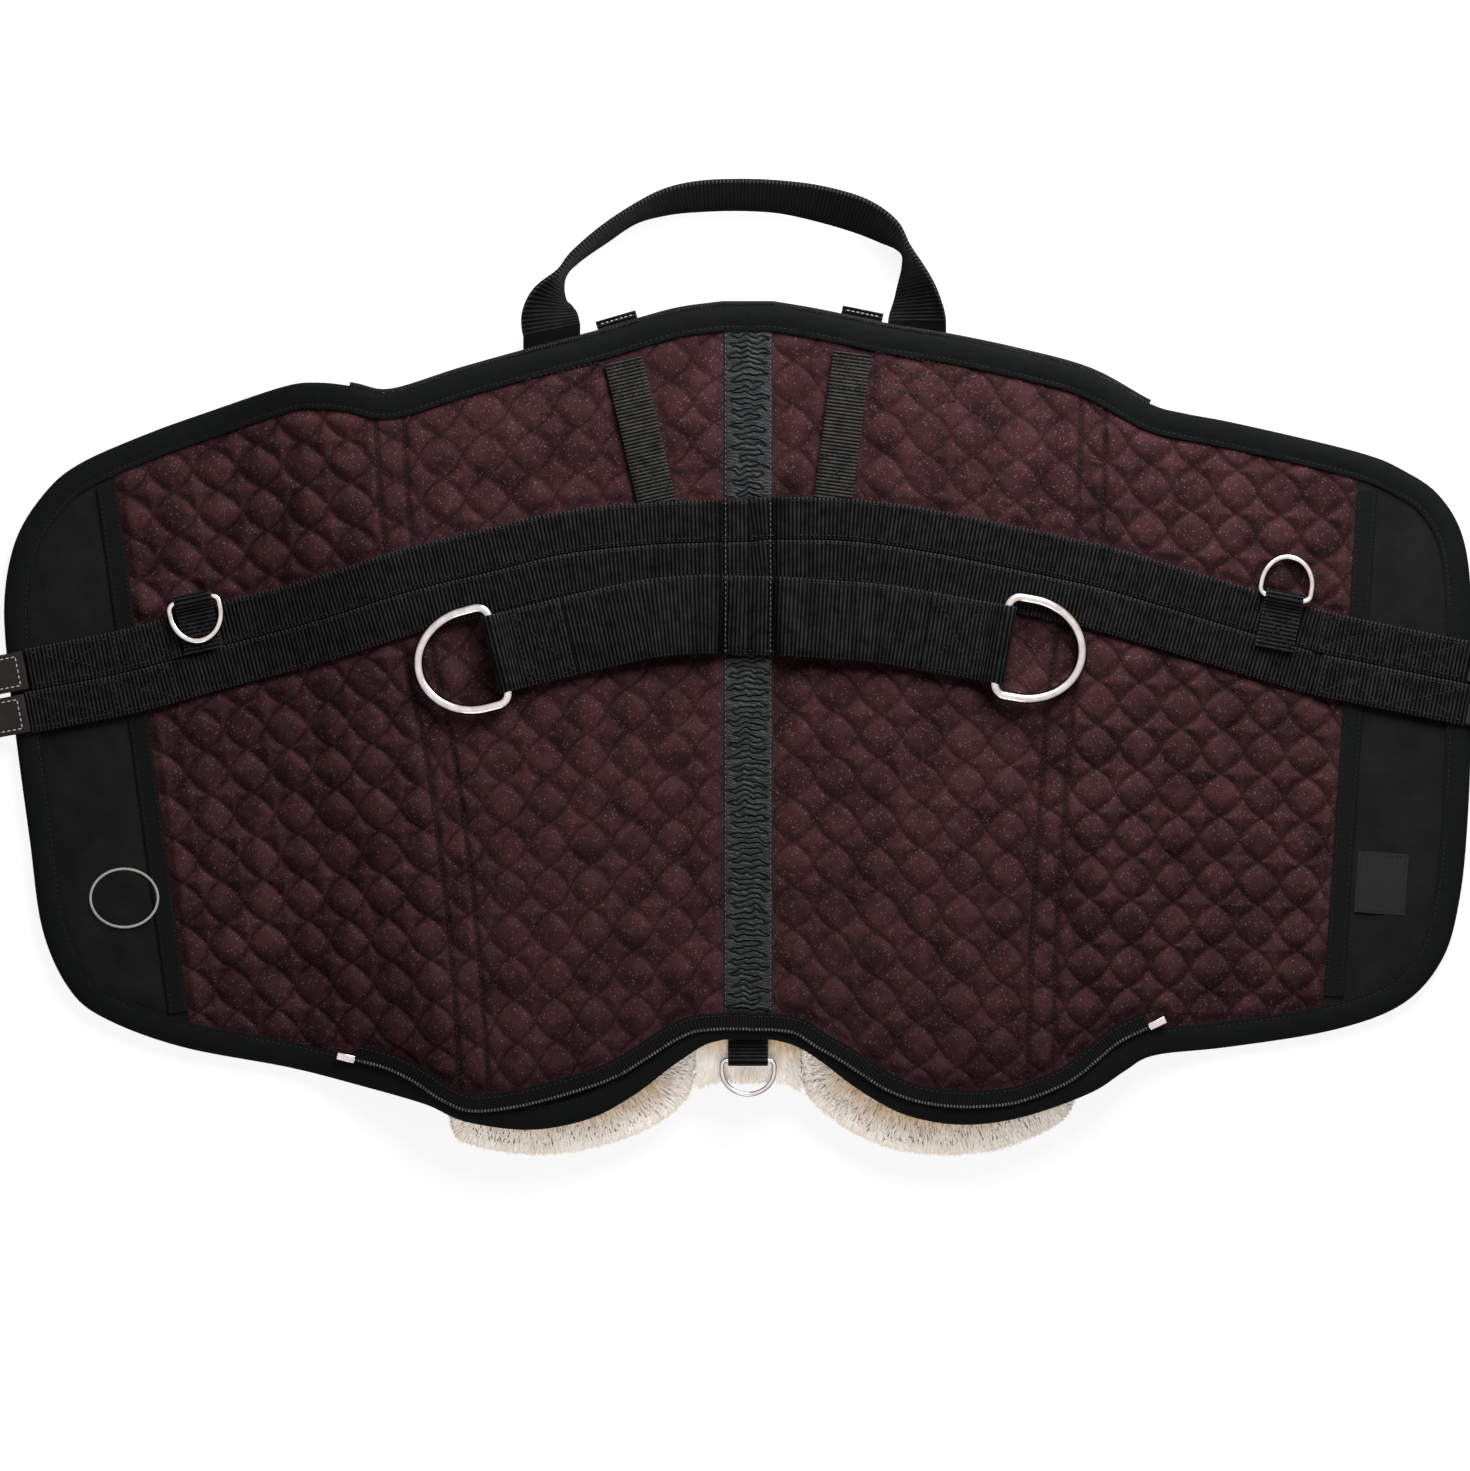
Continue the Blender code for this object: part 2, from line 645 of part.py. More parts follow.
def end_panel(side):
    """The plain cloth panel outside the quilt."""
    work = flat_face(half_outline(side))
    inset(work, BINDING_WIDTH)
    keep_side(work, side, JOINS[side], True)
    made = bmesh.ops.extrude_face_region(work, geom=list(work.faces))
    for vertex in [g for g in made["geom"] if isinstance(g, bmesh.types.BMVert)]:
        vertex.co.z = SHEET_THICKNESS
    bmesh.ops.translate(work, verts=work.verts, vec=(0, 0, SHEET_BOTTOM))
    bmesh.ops.recalc_face_normals(work, faces=work.faces)
    mesh = bpy.data.meshes.new("end panel")
    work.to_mesh(mesh)
    work.free()
    return drape(mesh)


def binding_section(side):
    """A folded tape: a channel open inwards, with the sheet's edge in it."""
    inward = -SIDES[side]
    upper = BINDING_HEIGHT - BINDING_WALL
    pairs = (
        (0, 0), (BINDING_WIDTH, 0), (BINDING_WIDTH, BINDING_WALL), (BINDING_WALL, BINDING_WALL),
        (BINDING_WALL, upper), (BINDING_WIDTH, upper), (BINDING_WIDTH, BINDING_HEIGHT), (0, BINDING_HEIGHT),
    )
    return [(inward * across, up) for across, up in pairs]


def binding(side):
    line = OUTLINES[side]
    start = FOLD_X + BINDING_FOLD_GAP
    kept = [p for p in line if abs(p.x) > start + STITCHED_STRETCH]
    ends = [Vector((SIDES[side] * start, p.y)) for p in (kept[0], kept[-1])]
    return drape(sweep([ends[0], *kept, ends[1]], binding_section(side)))


def seam_tape(side):
    """The tape that covers the join, on the end panel's side of it."""
    a, b = JOINS[side]
    along = (b - a).normalized()
    margin = BINDING_WIDTH + STRAP_GAP + TAPE_WIDTH / 5
    front = a - along * TAPE_WIDTH
    while distance_to(front, OUTLINES[side]) < margin + TAPE_WIDTH / 4:
        front = front + along * STRAP_GAP
    rear = b + along * TAPE_WIDTH
    while distance_to(rear, OUTLINES[side]) < margin + TAPE_WIDTH / 4:
        rear = rear - along * STRAP_GAP
    line = shifted([front, rear], -SIDES[side] * -TAPE_WIDTH / 2)
    return line


def tape_mesh(side):
    line = evenly(seam_tape(side), STATION)
    return drape(sweep(line, box_section(TAPE_WIDTH, TAPE_THICKNESS, SHEET_TOP + CLEARANCE)))


# Webbing

def web(line, width, base, thickness=WEB_THICKNESS):
    return drape(sweep(evenly(line, STATION), box_section(width, thickness, base)))


def girth_web(side, front):
    offset = GIRTH_WEB_SPACING / 2 * (SIDES[side] if front else -SIDES[side])
    line = shifted(GIRTH_LINES[side], offset)
    line = between(line, FOLD_X + WEB_FOLD_GAP, GIRTH_END_SHARE * HALF_WIDTH)
    return web(line, GIRTH_WEB_WIDTH, GIRTH_LEVEL)


def middle_web(lines, offset, setback, width, base):
    """The short length of a web over the spine band."""
    half = FOLD_X - setback
    left = between(shifted(lines["left"], -offset), 0, FOLD_X)
    right = between(shifted(lines["right"], offset), 0, FOLD_X)
    place = (left[0].y + right[0].y) / 2
    line = [Vector((-half, place)), Vector((half, place))]
    return drape(sweep(line, box_section(width, WEB_THICKNESS, base - MIDDLE_WEB_DROP)))


def billet_anchor(side, front):
    """The doubled web that is sewn over a girth web's end and carries its billet."""
    offset = GIRTH_WEB_SPACING / 2 * (SIDES[side] if front else -SIDES[side])
    start, out = billet_start(side, front)
    line = shifted(GIRTH_LINES[side], offset)
    line = between(line, ANCHOR_START_SHARE * HALF_WIDTH, ANCHOR_END_SHARE * HALF_WIDTH)
    kept = [p for p in line if (start - p).dot(out) > STATION / 2]
    return web([*kept, start - out * CLEARANCE * 2], GIRTH_WEB_WIDTH, SECOND_LEVEL, ANCHOR_THICKNESS)


def stirrup_web(side):
    bar, along = stirrup_bar(side)
    line = between(STIRRUP_LINES[side], FOLD_X + STIRRUP_FOLD_GAP, HALF_WIDTH)
    end = bar - along * (STIRRUP_UNDERLAP + CLEARANCE)
    kept = [p for p in line if (p - end).dot(along) < -STATION / 2]
    return web([*kept, end], STIRRUP_WEB_WIDTH, SECOND_LEVEL)


def front_strap(side):
    a, b = STRAP_LINES[side]
    along = (b - a).normalized()
    while distance_to(a, OUTLINES[side]) < BINDING_WIDTH + STRAP_GAP + STRAP_WIDTH / 8:
        a = a + along * STRAP_GAP
    reach = GIRTH_WEB_SPACING / 2 + GIRTH_WEB_WIDTH / 2 + STRAP_GAP
    while distance_to(b, GIRTH_LINES[side]) < reach + STRAP_WIDTH / 12:
        b = b - along * STRAP_GAP
    return web([a, b], STRAP_WIDTH, GIRTH_LEVEL)


def front_tab(side):
    """The end of the short front strap, which shows past the binding."""
    across = FRONT_TAB_SHARES[side] * HALF_WIDTH
    centre = Vector((SIDES[side] * across, edge_y(side, across, True)))
    beside = across + FRONT_TAB_WIDTH / 2
    other = Vector((SIDES[side] * beside, edge_y(side, beside, True)))
    along = (other - centre).normalized()
    out = Vector((-along.y, along.x)) * SIDES[side]
    clear = out * (CLEARANCE + STRAP_GAP)
    line = [centre - along * FRONT_TAB_WIDTH / 2, centre + along * FRONT_TAB_WIDTH / 2]
    middle = clear + out * FRONT_TAB_REACH / 2
    section = box_section(FRONT_TAB_REACH, TAB_THICKNESS, HANDLE_FOOT_BASE)
    mesh = sweep([p + middle for p in line], section)
    return drape(mesh, lambda x, y: lift(centre.x, centre.y))


# Rings and the webbing loops that hold them

def bow_ring(width, depth, wire):
    """A D ring lying in XY: its bar on Y at the origin, its bow towards +X."""
    half = (width + wire) / 2
    corner = BOW_CORNER
    points = []
    for step in range(4):
        angle = math.pi + step / 3 * math.pi / 2
        points.append(Vector((corner * (1 + math.cos(angle)), -half + corner * (1 + math.sin(angle)), 0)))
    straight = depth * STRAIGHT_SHARE
    for step in range(13):
        angle = -math.pi / 2 + step / 12 * math.pi
        points.append(Vector((straight + (depth - straight) * math.cos(angle), half * math.sin(angle), 0)))
    for step in range(4):
        angle = math.pi / 2 + step / 3 * math.pi / 2
        points.append(Vector((corner * (1 + math.cos(angle)), half - corner * (1 - math.sin(angle)), 0)))
    data = poly_curve("3D", points, True)
    data.bevel_depth = wire / 2
    data.bevel_resolution = 2
    return mesh_of(data)


def loop_section(wire, thickness, upper, under):
    """A web folded round a bar at the origin, its layers towards -X, and the upper one sewn down."""
    inner = wire / 2 + RING_PLAY
    outer = inner + thickness
    rise = 2 * inner - CLEARANCE
    knee = outer * KNEE_SHARE
    arc = [math.pi / 2 - step * math.pi / 6 for step in range(7)]
    outside = [(outer * math.cos(a), outer * math.sin(a)) for a in arc]
    inside = [(inner * math.cos(a), inner * math.sin(a)) for a in reversed(arc)]
    return [
        (-upper, outer - rise), (-knee, outer - rise), *outside, (-under, -outer), (-under, -inner),
        *inside, (-knee, inner - rise), (-upper, inner - rise),
    ]


def loop_mesh(section, width, bar, out, base):
    """The folded web, with its bar at a place in plan and its lower layer's underside at base."""
    data = poly_curve("2D", section, True)
    data.fill_mode = "BOTH"
    data.extrude = width / 2
    outer = max(up for _, up in section)
    columns = (Vector((*out, 0)), Vector((0, 0, 1)), Vector((out.y, -out.x, 0)))
    turn = Matrix(columns).transposed().to_4x4()
    return mesh_of(data, Matrix.Translation((*bar, base + outer)) @ turn)


def stirrup_bar(side):
    """The stirrup ring's bar in plan, and the way its ring points."""
    line = STIRRUP_LINES[side]
    return line[-1], (line[-1] - line[-2]).normalized()


def ring_height(wire, thickness, base):
    return base + thickness + RING_PLAY + wire / 2


def place_ring(mesh, bar, out, height, lean):
    """Puts a ring's bar at a place in plan and height, its bow along out and raised by lean."""
    across = Vector((-out.y, out.x, 0))
    turn = Matrix((Vector((*out, 0)), across, Vector((0, 0, 1)))).transposed().to_4x4()
    place = Vector((*bar, height + lift(bar.x, bar.y)))
    mesh.transform(Matrix.Translation(place) @ turn @ Matrix.Rotation(-lean, 4, "Y"))
    return mesh, place


def stirrup_loop(side):
    bar, out = stirrup_bar(side)
    section = loop_section(BIG_RING_WIRE, WEB_THICKNESS, STIRRUP_FOLD_LENGTH, STIRRUP_UNDERLAP)
    mesh = loop_mesh(section, STIRRUP_WEB_WIDTH, bar, out, SECOND_LEVEL)
    place = bar - out * STIRRUP_FOLD_LENGTH / 2
    return drape(bisected(mesh, [(Vector((*place, 0)), Vector((*out, 0)))]), lift)


def stirrup_ring(side):
    bar, out = stirrup_bar(side)
    height = ring_height(BIG_RING_WIRE, WEB_THICKNESS, SECOND_LEVEL)
    far = bar + out * BIG_RING_DEPTH
    rest = SHEET_TOP + TUFT_HEIGHT + BIG_RING_WIRE / 2 + CLEARANCE
    fall = rest + lift(far.x, far.y) - height - lift(bar.x, bar.y)
    lean = math.asin(fall / BIG_RING_DEPTH)
    return place_ring(bow_ring(BIG_RING_WIDTH, BIG_RING_DEPTH, BIG_RING_WIRE), bar, out, height, lean)


def small_bar(side):
    angle = math.radians(SMALL_RING_ANGLES[side])
    return at_shares(side, SMALL_RING_SHARES[side]), Vector((math.cos(angle), math.sin(angle)))


def small_tab(side):
    bar, out = small_bar(side)
    section = loop_section(SMALL_RING_WIRE, TAB_THICKNESS, SMALL_TAB_LENGTH, SMALL_TAB_LENGTH * UNDERLAP_SHARE)
    return drape(loop_mesh(section, STRAP_WIDTH, bar, out, SECOND_LEVEL + CLEARANCE))


def small_ring(side):
    """The right ring lies outwards on the quilt. The left one is turned back over its tab."""
    bar, out = small_bar(side)
    height = ring_height(SMALL_RING_WIRE, TAB_THICKNESS, SECOND_LEVEL + CLEARANCE)
    mesh = bow_ring(SMALL_RING_WIDTH, SMALL_RING_DEPTH, SMALL_RING_WIRE)
    if side == "right":
        rest = SHEET_TOP + TUFT_HEIGHT + SMALL_RING_WIRE / 2 + CLEARANCE
        return place_ring(mesh, bar, out, height, math.asin((rest - height) / SMALL_RING_DEPTH))
    rest = SECOND_LEVEL + 2 * TAB_THICKNESS + SMALL_RING_WIRE / 2 + 4 * CLEARANCE
    return place_ring(mesh, bar, -out, height, math.asin((rest - height) / SMALL_RING_DEPTH))


def rear_bar():
    rear = edge_y("left", 0, False)
    return Vector((0, rear - CLEARANCE - REAR_LOOP_LENGTH))


def rear_loop():
    """The rear ring's loop as a section, and the height of its underside."""
    base = SHEET_TOP - REAR_RING_WIRE - RING_PLAY * 2 - TAB_THICKNESS
    return loop_section(REAR_RING_WIRE, TAB_THICKNESS, REAR_LOOP_LENGTH, REAR_LOOP_LENGTH), base


# Zips

def zip_section(side):
    tape, teeth = ZIP_TAPE_WIDTH, ZIP_TEETH_WIDTH
    base = BINDING_HEIGHT + 2 * CLEARANCE
    pairs = (
        (0, base), (tape, base), (tape, base + ZIP_TAPE_THICKNESS), (teeth, base + ZIP_TAPE_THICKNESS),
        (teeth, base + ZIP_TEETH_HEIGHT), (0, base + ZIP_TEETH_HEIGHT),
    )
    return [(SIDES[side] * across, up) for across, up in pairs]


def rear_zip(side):
    line = between(evenly(REAR_ZIPS[side], ZIP_STATION), FOLD_X + ZIP_FOLD_GAP, HALF_WIDTH)
    return drape(sweep(line, zip_section(side)))


def front_zip_line(side, low):
    line = shifted(OUTLINES[side], SIDES[side] * (CLEARANCE + FRONT_TEETH_SIZE / 2))
    front = [p for p in line if p.y > 0]
    return between(front, low, FRONT_ZIP_END_SHARES[side] * HALF_WIDTH)


def front_zip(side):
    section = box_section(FRONT_TEETH_SIZE, FRONT_TEETH_SIZE, FRONT_TEETH_BASE)
    return drape(sweep(front_zip_line(side, FOLD_X + ZIP_FOLD_GAP), section))


def zip_stop(side):
    """The metal end piece of the rear teeth."""
    line = REAR_ZIPS[side]
    along = (line[-1] - line[-2]).normalized()
    start = line[-1] + along * CLEARANCE * 2
    inward = shifted([start, start + along * ZIP_STOP_LENGTH], SIDES[side] * ZIP_TEETH_WIDTH / 2)
    section = box_section(ZIP_STOP_WIDTH, ZIP_STOP_HEIGHT, BINDING_HEIGHT + CLEARANCE)
    return drape(sweep(inward, section))


# Lambskin and foam

def lambskin_outline(side):
    """Under the seat, and past its rear edge as the fur shows there."""
    sign = SIDES[side]
    a, b = SEAMS[side]
    top = a.y - LAMBSKIN_FRONT_INSET - BINDING_WIDTH
    corner = across_at(SEAMS[side], top) + LAMBSKIN_SEAM_OVERLAP
    front = []
    steps = 8
    for step in range(steps + 1):
        across = LAMBSKIN_INNER_EDGE + (corner - LAMBSKIN_INNER_EDGE) * step / steps
        inset = LAMBSKIN_FRONT_INSET * (1 + smoothstep((step - steps + 2) / 2))
        front.append(Vector((sign * across, edge_y(side, across, True) - inset)))
    rear = smooth([at_shares(side, s) for s in LAMBSKIN_REAR_SHARES[side]], 2)
    inner = Vector((sign * LAMBSKIN_INNER_EDGE, rear[-1].y + LAMBSKIN_INNER_EDGE))
    return [*front, *rear, inner]


def lambskin(side):
    """A thick fleece slab with rolled edges, lying on the table."""
    work = flat_face(lambskin_outline(side))
    inset(work, LAMBSKIN_ROLL)
    rim = {tuple(v.co) for v in work.verts if v.is_boundary}
    made = bmesh.ops.extrude_face_region(work, geom=list(work.faces))
    raised = {g for g in made["geom"] if isinstance(g, bmesh.types.BMVert)}
    for vertex in work.verts:
        rolled = LAMBSKIN_ROLL / 2 if tuple(vertex.co) in rim else 0
        vertex.co.z = LAMBSKIN_HEIGHT - rolled if vertex in raised else rolled
    bmesh.ops.recalc_face_normals(work, faces=work.faces)
    mesh = bpy.data.meshes.new("lambskin")
    work.to_mesh(mesh)
    work.free()
    return mesh


def foam(side):
    """The foam pad between the lambskin and the quilt, as high as the seat leaves room for."""
    inset = FOAM_INSET * -SIDES[side]
    line = lambskin_outline(side)
    ring = shifted([line[-1], *line, line[0]], inset)[1:-1]
    tidy = [ring[0]]
    for point in ring:
        across = abs(point.x)
        lowest = edge_y(side, across, False) + BINDING_WIDTH + FOAM_EDGE_GAP
        highest = edge_y(side, across, True) - BINDING_WIDTH - FOAM_EDGE_GAP
        point.y = max(lowest, min(highest, point.y))
        if (point - tidy[-1]).length > FOAM_INSET / 3:
            tidy.append(point)
    work = flat_face(tidy)
    faces = cut_lines(work, list(work.faces), (1, 0), FOAM_GRID)
    cut_lines(work, faces, (0, 1), FOAM_GRID)
    base = LAMBSKIN_HEIGHT + CLEARANCE
    made = bmesh.ops.extrude_face_region(work, geom=list(work.faces))
    raised = {g for g in made["geom"] if isinstance(g, bmesh.types.BMVert)}
    for vertex in work.verts:
        top = SHEET_BOTTOM + lift(vertex.co.x, vertex.co.y) - FOAM_PLAY
        vertex.co.z = top if vertex in raised else base
    bmesh.ops.recalc_face_normals(work, faces=work.faces)
    mesh = bpy.data.meshes.new("foam")
    work.to_mesh(mesh)
    work.free()
    return mesh


# Handle and billets

def handle():
    """The grab handle: webbing that stands nearly on edge at its crown and lies flat at its feet."""
    base = HANDLE_BASE_SHARE * HALF_DEPTH
    reach = HANDLE_REACH - base
    plan = [Vector((x * HALF_WIDTH, base + y * reach, math.radians(lean))) for x, y, lean in HANDLE_SHARES]
    plan = smooth(plan, 2)
    points, leans = [], []
    crown = HANDLE_FLOOR_GAP + HANDLE_WIDTH / 2
    feet = [SEAT_LIFT - EDGE_DROOP + HANDLE_FOOT_BASE + HANDLE_THICKNESS / 2] * 2
    last = len(plan) - 1
    for index, (x, y, lean) in enumerate(plan):
        near = feet[0] if index < last / 2 else feet[1]
        away = smoothstep(min(index, last - index) / last * HANDLE_FALL)
        upright = math.sin(lean) * HANDLE_WIDTH / 2 + math.cos(lean) * HANDLE_THICKNESS / 2
        low = HANDLE_FLOOR_GAP + upright
        points.append(Vector((x, y, max(low, near + (crown - near) * away))))
        leans.append(lean)
    mesh = sweep(points, box_section(HANDLE_WIDTH, HANDLE_THICKNESS, -HANDLE_THICKNESS / 2), leans)
    for side in SIDES:
        foot = points[0] if side == "left" else points[-1]
        ends = []
        for across in (abs(foot.x) - HANDLE_WIDTH / 2, abs(foot.x) + HANDLE_WIDTH / 2):
            ends.append(Vector((SIDES[side] * across, edge_y(side, across, True), 0)))
        along = (ends[1] - ends[0]).normalized() * SIDES[side]
        out = Vector((-along.y, along.x, 0))
        mesh = trimmed(mesh, side, ends[0] + out * HANDLE_FOOT_GAP, out)
    return mesh


def billet_start(side, front):
    """Where a billet's bend is, in plan, and the way the billet points."""
    offset = GIRTH_WEB_SPACING / 2 * (SIDES[side] if front else -SIDES[side])
    line = between(shifted(GIRTH_LINES[side], offset), 0, ANCHOR_END_SHARE * HALF_WIDTH)
    return line[-1], (line[-1] - line[-2]).normalized()


def billet(side, front):
    """A leather strap with a point and punched holes, which comes down off the flap onto the table."""
    start, out = billet_start(side, front)
    half = BILLET_WIDTH / 2
    tip = BILLET_LENGTH
    outline = [
        (0, -half), (tip - BILLET_POINT, -half), (tip, -half / 3), (tip, half / 3),
        (tip - BILLET_POINT, half), (0, half),
    ]
    holes = []
    for index in range(HOLE_COUNT):
        middle = tip - FIRST_HOLE - index * HOLE_PITCH
        turns = [step * 2 * math.pi / HOLE_SIDES for step in range(HOLE_SIDES)]
        radius = HOLE_DIAMETER / 2
        holes.append([(middle + radius * math.cos(t), radius * math.sin(t)) for t in turns])
    mesh = plate(outline, BILLET_THICKNESS, 0, holes)
    cuts = []
    for index in range(BILLET_BREAKS + 1):
        place = BILLET_HOLD + BILLET_DROP * index / BILLET_BREAKS
        cuts.append((Vector((place, 0, 0)), Vector((1, 0, 0))))
    mesh = bisected(mesh, cuts)
    top = SECOND_LEVEL - (BILLET_THICKNESS - ANCHOR_THICKNESS) / 2
    for vertex in mesh.vertices:
        vertex.co.z += top * (1 - smoothstep((vertex.co.x - BILLET_HOLD) / BILLET_DROP))
    turn = Matrix((Vector((*out, 0)), Vector((-out.y, out.x, 0)), Vector((0, 0, 1)))).transposed().to_4x4()
    mesh.transform(Matrix.Translation((*start, 0)) @ turn)
    return mesh, Vector((*start, top + BILLET_THICKNESS))


def woven_label():
    place = LABEL_SHARE * HALF_DEPTH
    across = across_at(JOINS["right"], place) + TAPE_WIDTH + LABEL_GAP + LABEL_WIDTH / 2
    centre = Vector((across, place))
    turn = math.radians(LABEL_TURN)
    corners = []
    for across, along in ((-1, -1), (1, -1), (1, 1), (-1, 1)):
        corner = Vector((across * LABEL_WIDTH / 2, along * LABEL_DEPTH / 2))
        corner.rotate(Matrix.Rotation(turn, 2))
        corners.append(centre + corner)
    return drape(plate(corners, LABEL_THICKNESS, SHEET_TOP + CLEARANCE))


# The pieces at the spine, which the two halves fold against

def straight_piece(half_width, y, section):
    return drape(sweep([Vector((-half_width, y)), Vector((half_width, y))], section))


def spine_band():
    front = edge_y("left", 0, True) - BINDING_WALL - CLEARANCE
    rear = edge_y("left", 0, False) + BINDING_WALL + CLEARANCE
    line = [Vector((0, front)), Vector((0, rear))]
    return drape(sweep(line, box_section(2 * FOLD_X, SPINE_THICKNESS, SHEET_TOP - SPINE_THICKNESS)))


def spine_lining():
    """The tongue of lambskin under the spine, which shows past its rear end."""
    front = edge_y("left", 0, True)
    rear = edge_y("left", 0, False) - LINING_REACH
    top = SEAT_LIFT - CLEARANCE
    line = [Vector((0, front)), Vector((0, rear))]
    section = box_section(2 * LINING_HALF_WIDTH, LINING_THICKNESS, top - LINING_THICKNESS)
    return sweep(line, section)


def build():
    clear_scene()
    parts = make_collection("bareback_pad")
    finishes = {name: make_material(name) for name in COLOURS}
    spine = bpy.data.objects.new("spine", None)
    parts.objects.link(spine)

    def add(name, mesh, finish_name, parent=spine, origin=None):
        return finish(name, mesh, finishes[finish_name], parts, parent, origin)

    middle = FOLD_X - MIDDLE_SETBACK
    front_edge, rear_edge = edge_y("left", 0, True), edge_y("left", 0, False)
    add("spine_band", spine_band(), "black_cloth")
    add("spine_lining", spine_lining(), "lambskin")
    add("front_binding_middle", straight_piece(middle, front_edge, binding_section("right")), "black_cloth")
    add("rear_binding_middle", straight_piece(middle, rear_edge, binding_section("left")), "black_cloth")
    high_middle = FOLD_X - HIGH_MIDDLE_SETBACK
    add("rear_zip_middle", straight_piece(high_middle, REAR_ZIPS["left"][0].y, zip_section("right")), "zip")
    teeth_y = front_edge + CLEARANCE + FRONT_TEETH_SIZE / 2
    teeth = box_section(FRONT_TEETH_SIZE, FRONT_TEETH_SIZE, FRONT_TEETH_BASE)
    add("front_zip_middle", straight_piece(middle, teeth_y, teeth), "zip")
    for name, offset in (("front", GIRTH_WEB_SPACING / 2), ("rear", -GIRTH_WEB_SPACING / 2)):
        mesh = middle_web(GIRTH_LINES, offset, MIDDLE_SETBACK, GIRTH_WEB_WIDTH, GIRTH_LEVEL)
        add(f"{name}_girth_web_middle", mesh, "webbing")
    mesh = middle_web(STIRRUP_LINES, 0, HIGH_MIDDLE_SETBACK, STIRRUP_WEB_WIDTH, SECOND_LEVEL)
    add("stirrup_web_middle", mesh, "webbing")
    section, base = rear_loop()
    mesh = drape(loop_mesh(section, REAR_WEB_WIDTH, rear_bar(), Vector((0, -1)), base))
    add("rear_ring_loop", mesh, "webbing")
    height = ring_height(REAR_RING_WIRE, TAB_THICKNESS, base)
    ring = bow_ring(REAR_RING_WIDTH, REAR_RING_DEPTH, REAR_RING_WIRE)
    mesh, place = place_ring(ring, rear_bar(), Vector((0, -1)), height, 0)
    add("rear_ring", mesh, "steel", spine, place)
    add("grab_handle", handle(), "webbing")

    for side in SIDES:
        half = bpy.data.objects.new(f"{side}_fold", None)
        half.location = (SIDES[side] * FOLD_X, 0, FOLD_Z)
        parts.objects.link(half)
        pieces = (
            ("quilt_panel", quilt_panel(side), "quilt"),
            ("end_panel", end_panel(side), "black_cloth"),
            ("edge_binding", binding(side), "black_cloth"),
            ("seam_tape", tape_mesh(side), "black_cloth"),
            ("front_girth_web", girth_web(side, True), "webbing"),
            ("rear_girth_web", girth_web(side, False), "webbing"),
            ("front_billet_anchor", billet_anchor(side, True), "webbing"),
            ("rear_billet_anchor", billet_anchor(side, False), "webbing"),
            ("stirrup_web", stirrup_web(side), "webbing"),
            ("stirrup_loop", stirrup_loop(side), "webbing"),
            ("front_strap", front_strap(side), "webbing"),
            ("front_tab", front_tab(side), "webbing"),
            ("small_ring_tab", small_tab(side), "webbing"),
            ("rear_zip", rear_zip(side), "zip"),
            ("front_zip", front_zip(side), "zip"),
            ("zip_stop", zip_stop(side), "steel"),
            ("lambskin", lambskin(side), "lambskin"),
            ("foam_insert", foam(side), "foam"),
        )
        for name, mesh, finish_name in pieces:
            add(f"{side}_{name}", mesh, finish_name, half)
        mesh, place = stirrup_ring(side)
        add(f"{side}_stirrup_ring", mesh, "steel", half, place)
        mesh, place = small_ring(side)
        add(f"{side}_small_ring", mesh, "steel", half, place)
        for name, front in (("front", True), ("rear", False)):
            mesh, place = billet(side, front)
            add(f"{side}_{name}_billet", mesh, "leather", half, place)
    add("woven_label", woven_label(), "label", bpy.data.objects["right_fold"])


build()
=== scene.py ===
import json
import math
from functools import cached_property, lru_cache

import bpy
import numpy as np
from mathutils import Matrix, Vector


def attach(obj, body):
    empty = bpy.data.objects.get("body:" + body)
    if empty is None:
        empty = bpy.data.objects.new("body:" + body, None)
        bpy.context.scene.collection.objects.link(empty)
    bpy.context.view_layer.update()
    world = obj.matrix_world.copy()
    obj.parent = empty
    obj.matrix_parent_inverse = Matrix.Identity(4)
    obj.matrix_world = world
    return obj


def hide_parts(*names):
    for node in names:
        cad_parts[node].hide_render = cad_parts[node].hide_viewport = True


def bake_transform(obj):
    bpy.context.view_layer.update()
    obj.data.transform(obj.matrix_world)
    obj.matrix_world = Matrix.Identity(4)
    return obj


bl_info = {
    "name": "Bareback pad",
    "version": (1, 0, 0),
    "blender": (4, 5, 0),
    "location": "3D View > Sidebar > Bareback pad",
    "description": "Models a quilted bareback riding pad over its packed frame",
    "category": "Add Mesh",
}

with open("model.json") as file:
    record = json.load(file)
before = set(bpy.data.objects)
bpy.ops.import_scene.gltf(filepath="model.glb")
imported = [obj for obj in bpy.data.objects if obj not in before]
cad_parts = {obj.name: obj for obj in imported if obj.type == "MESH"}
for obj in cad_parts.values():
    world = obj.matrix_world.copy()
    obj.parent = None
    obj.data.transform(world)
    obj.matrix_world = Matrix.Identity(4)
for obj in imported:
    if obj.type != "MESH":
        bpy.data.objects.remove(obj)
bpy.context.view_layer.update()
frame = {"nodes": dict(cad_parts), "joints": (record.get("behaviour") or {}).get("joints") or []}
JOINTS = {joint["name"]: joint for joint in frame["joints"]}

MM = 0.001
SIDES = {"left": -1, "right": 1}

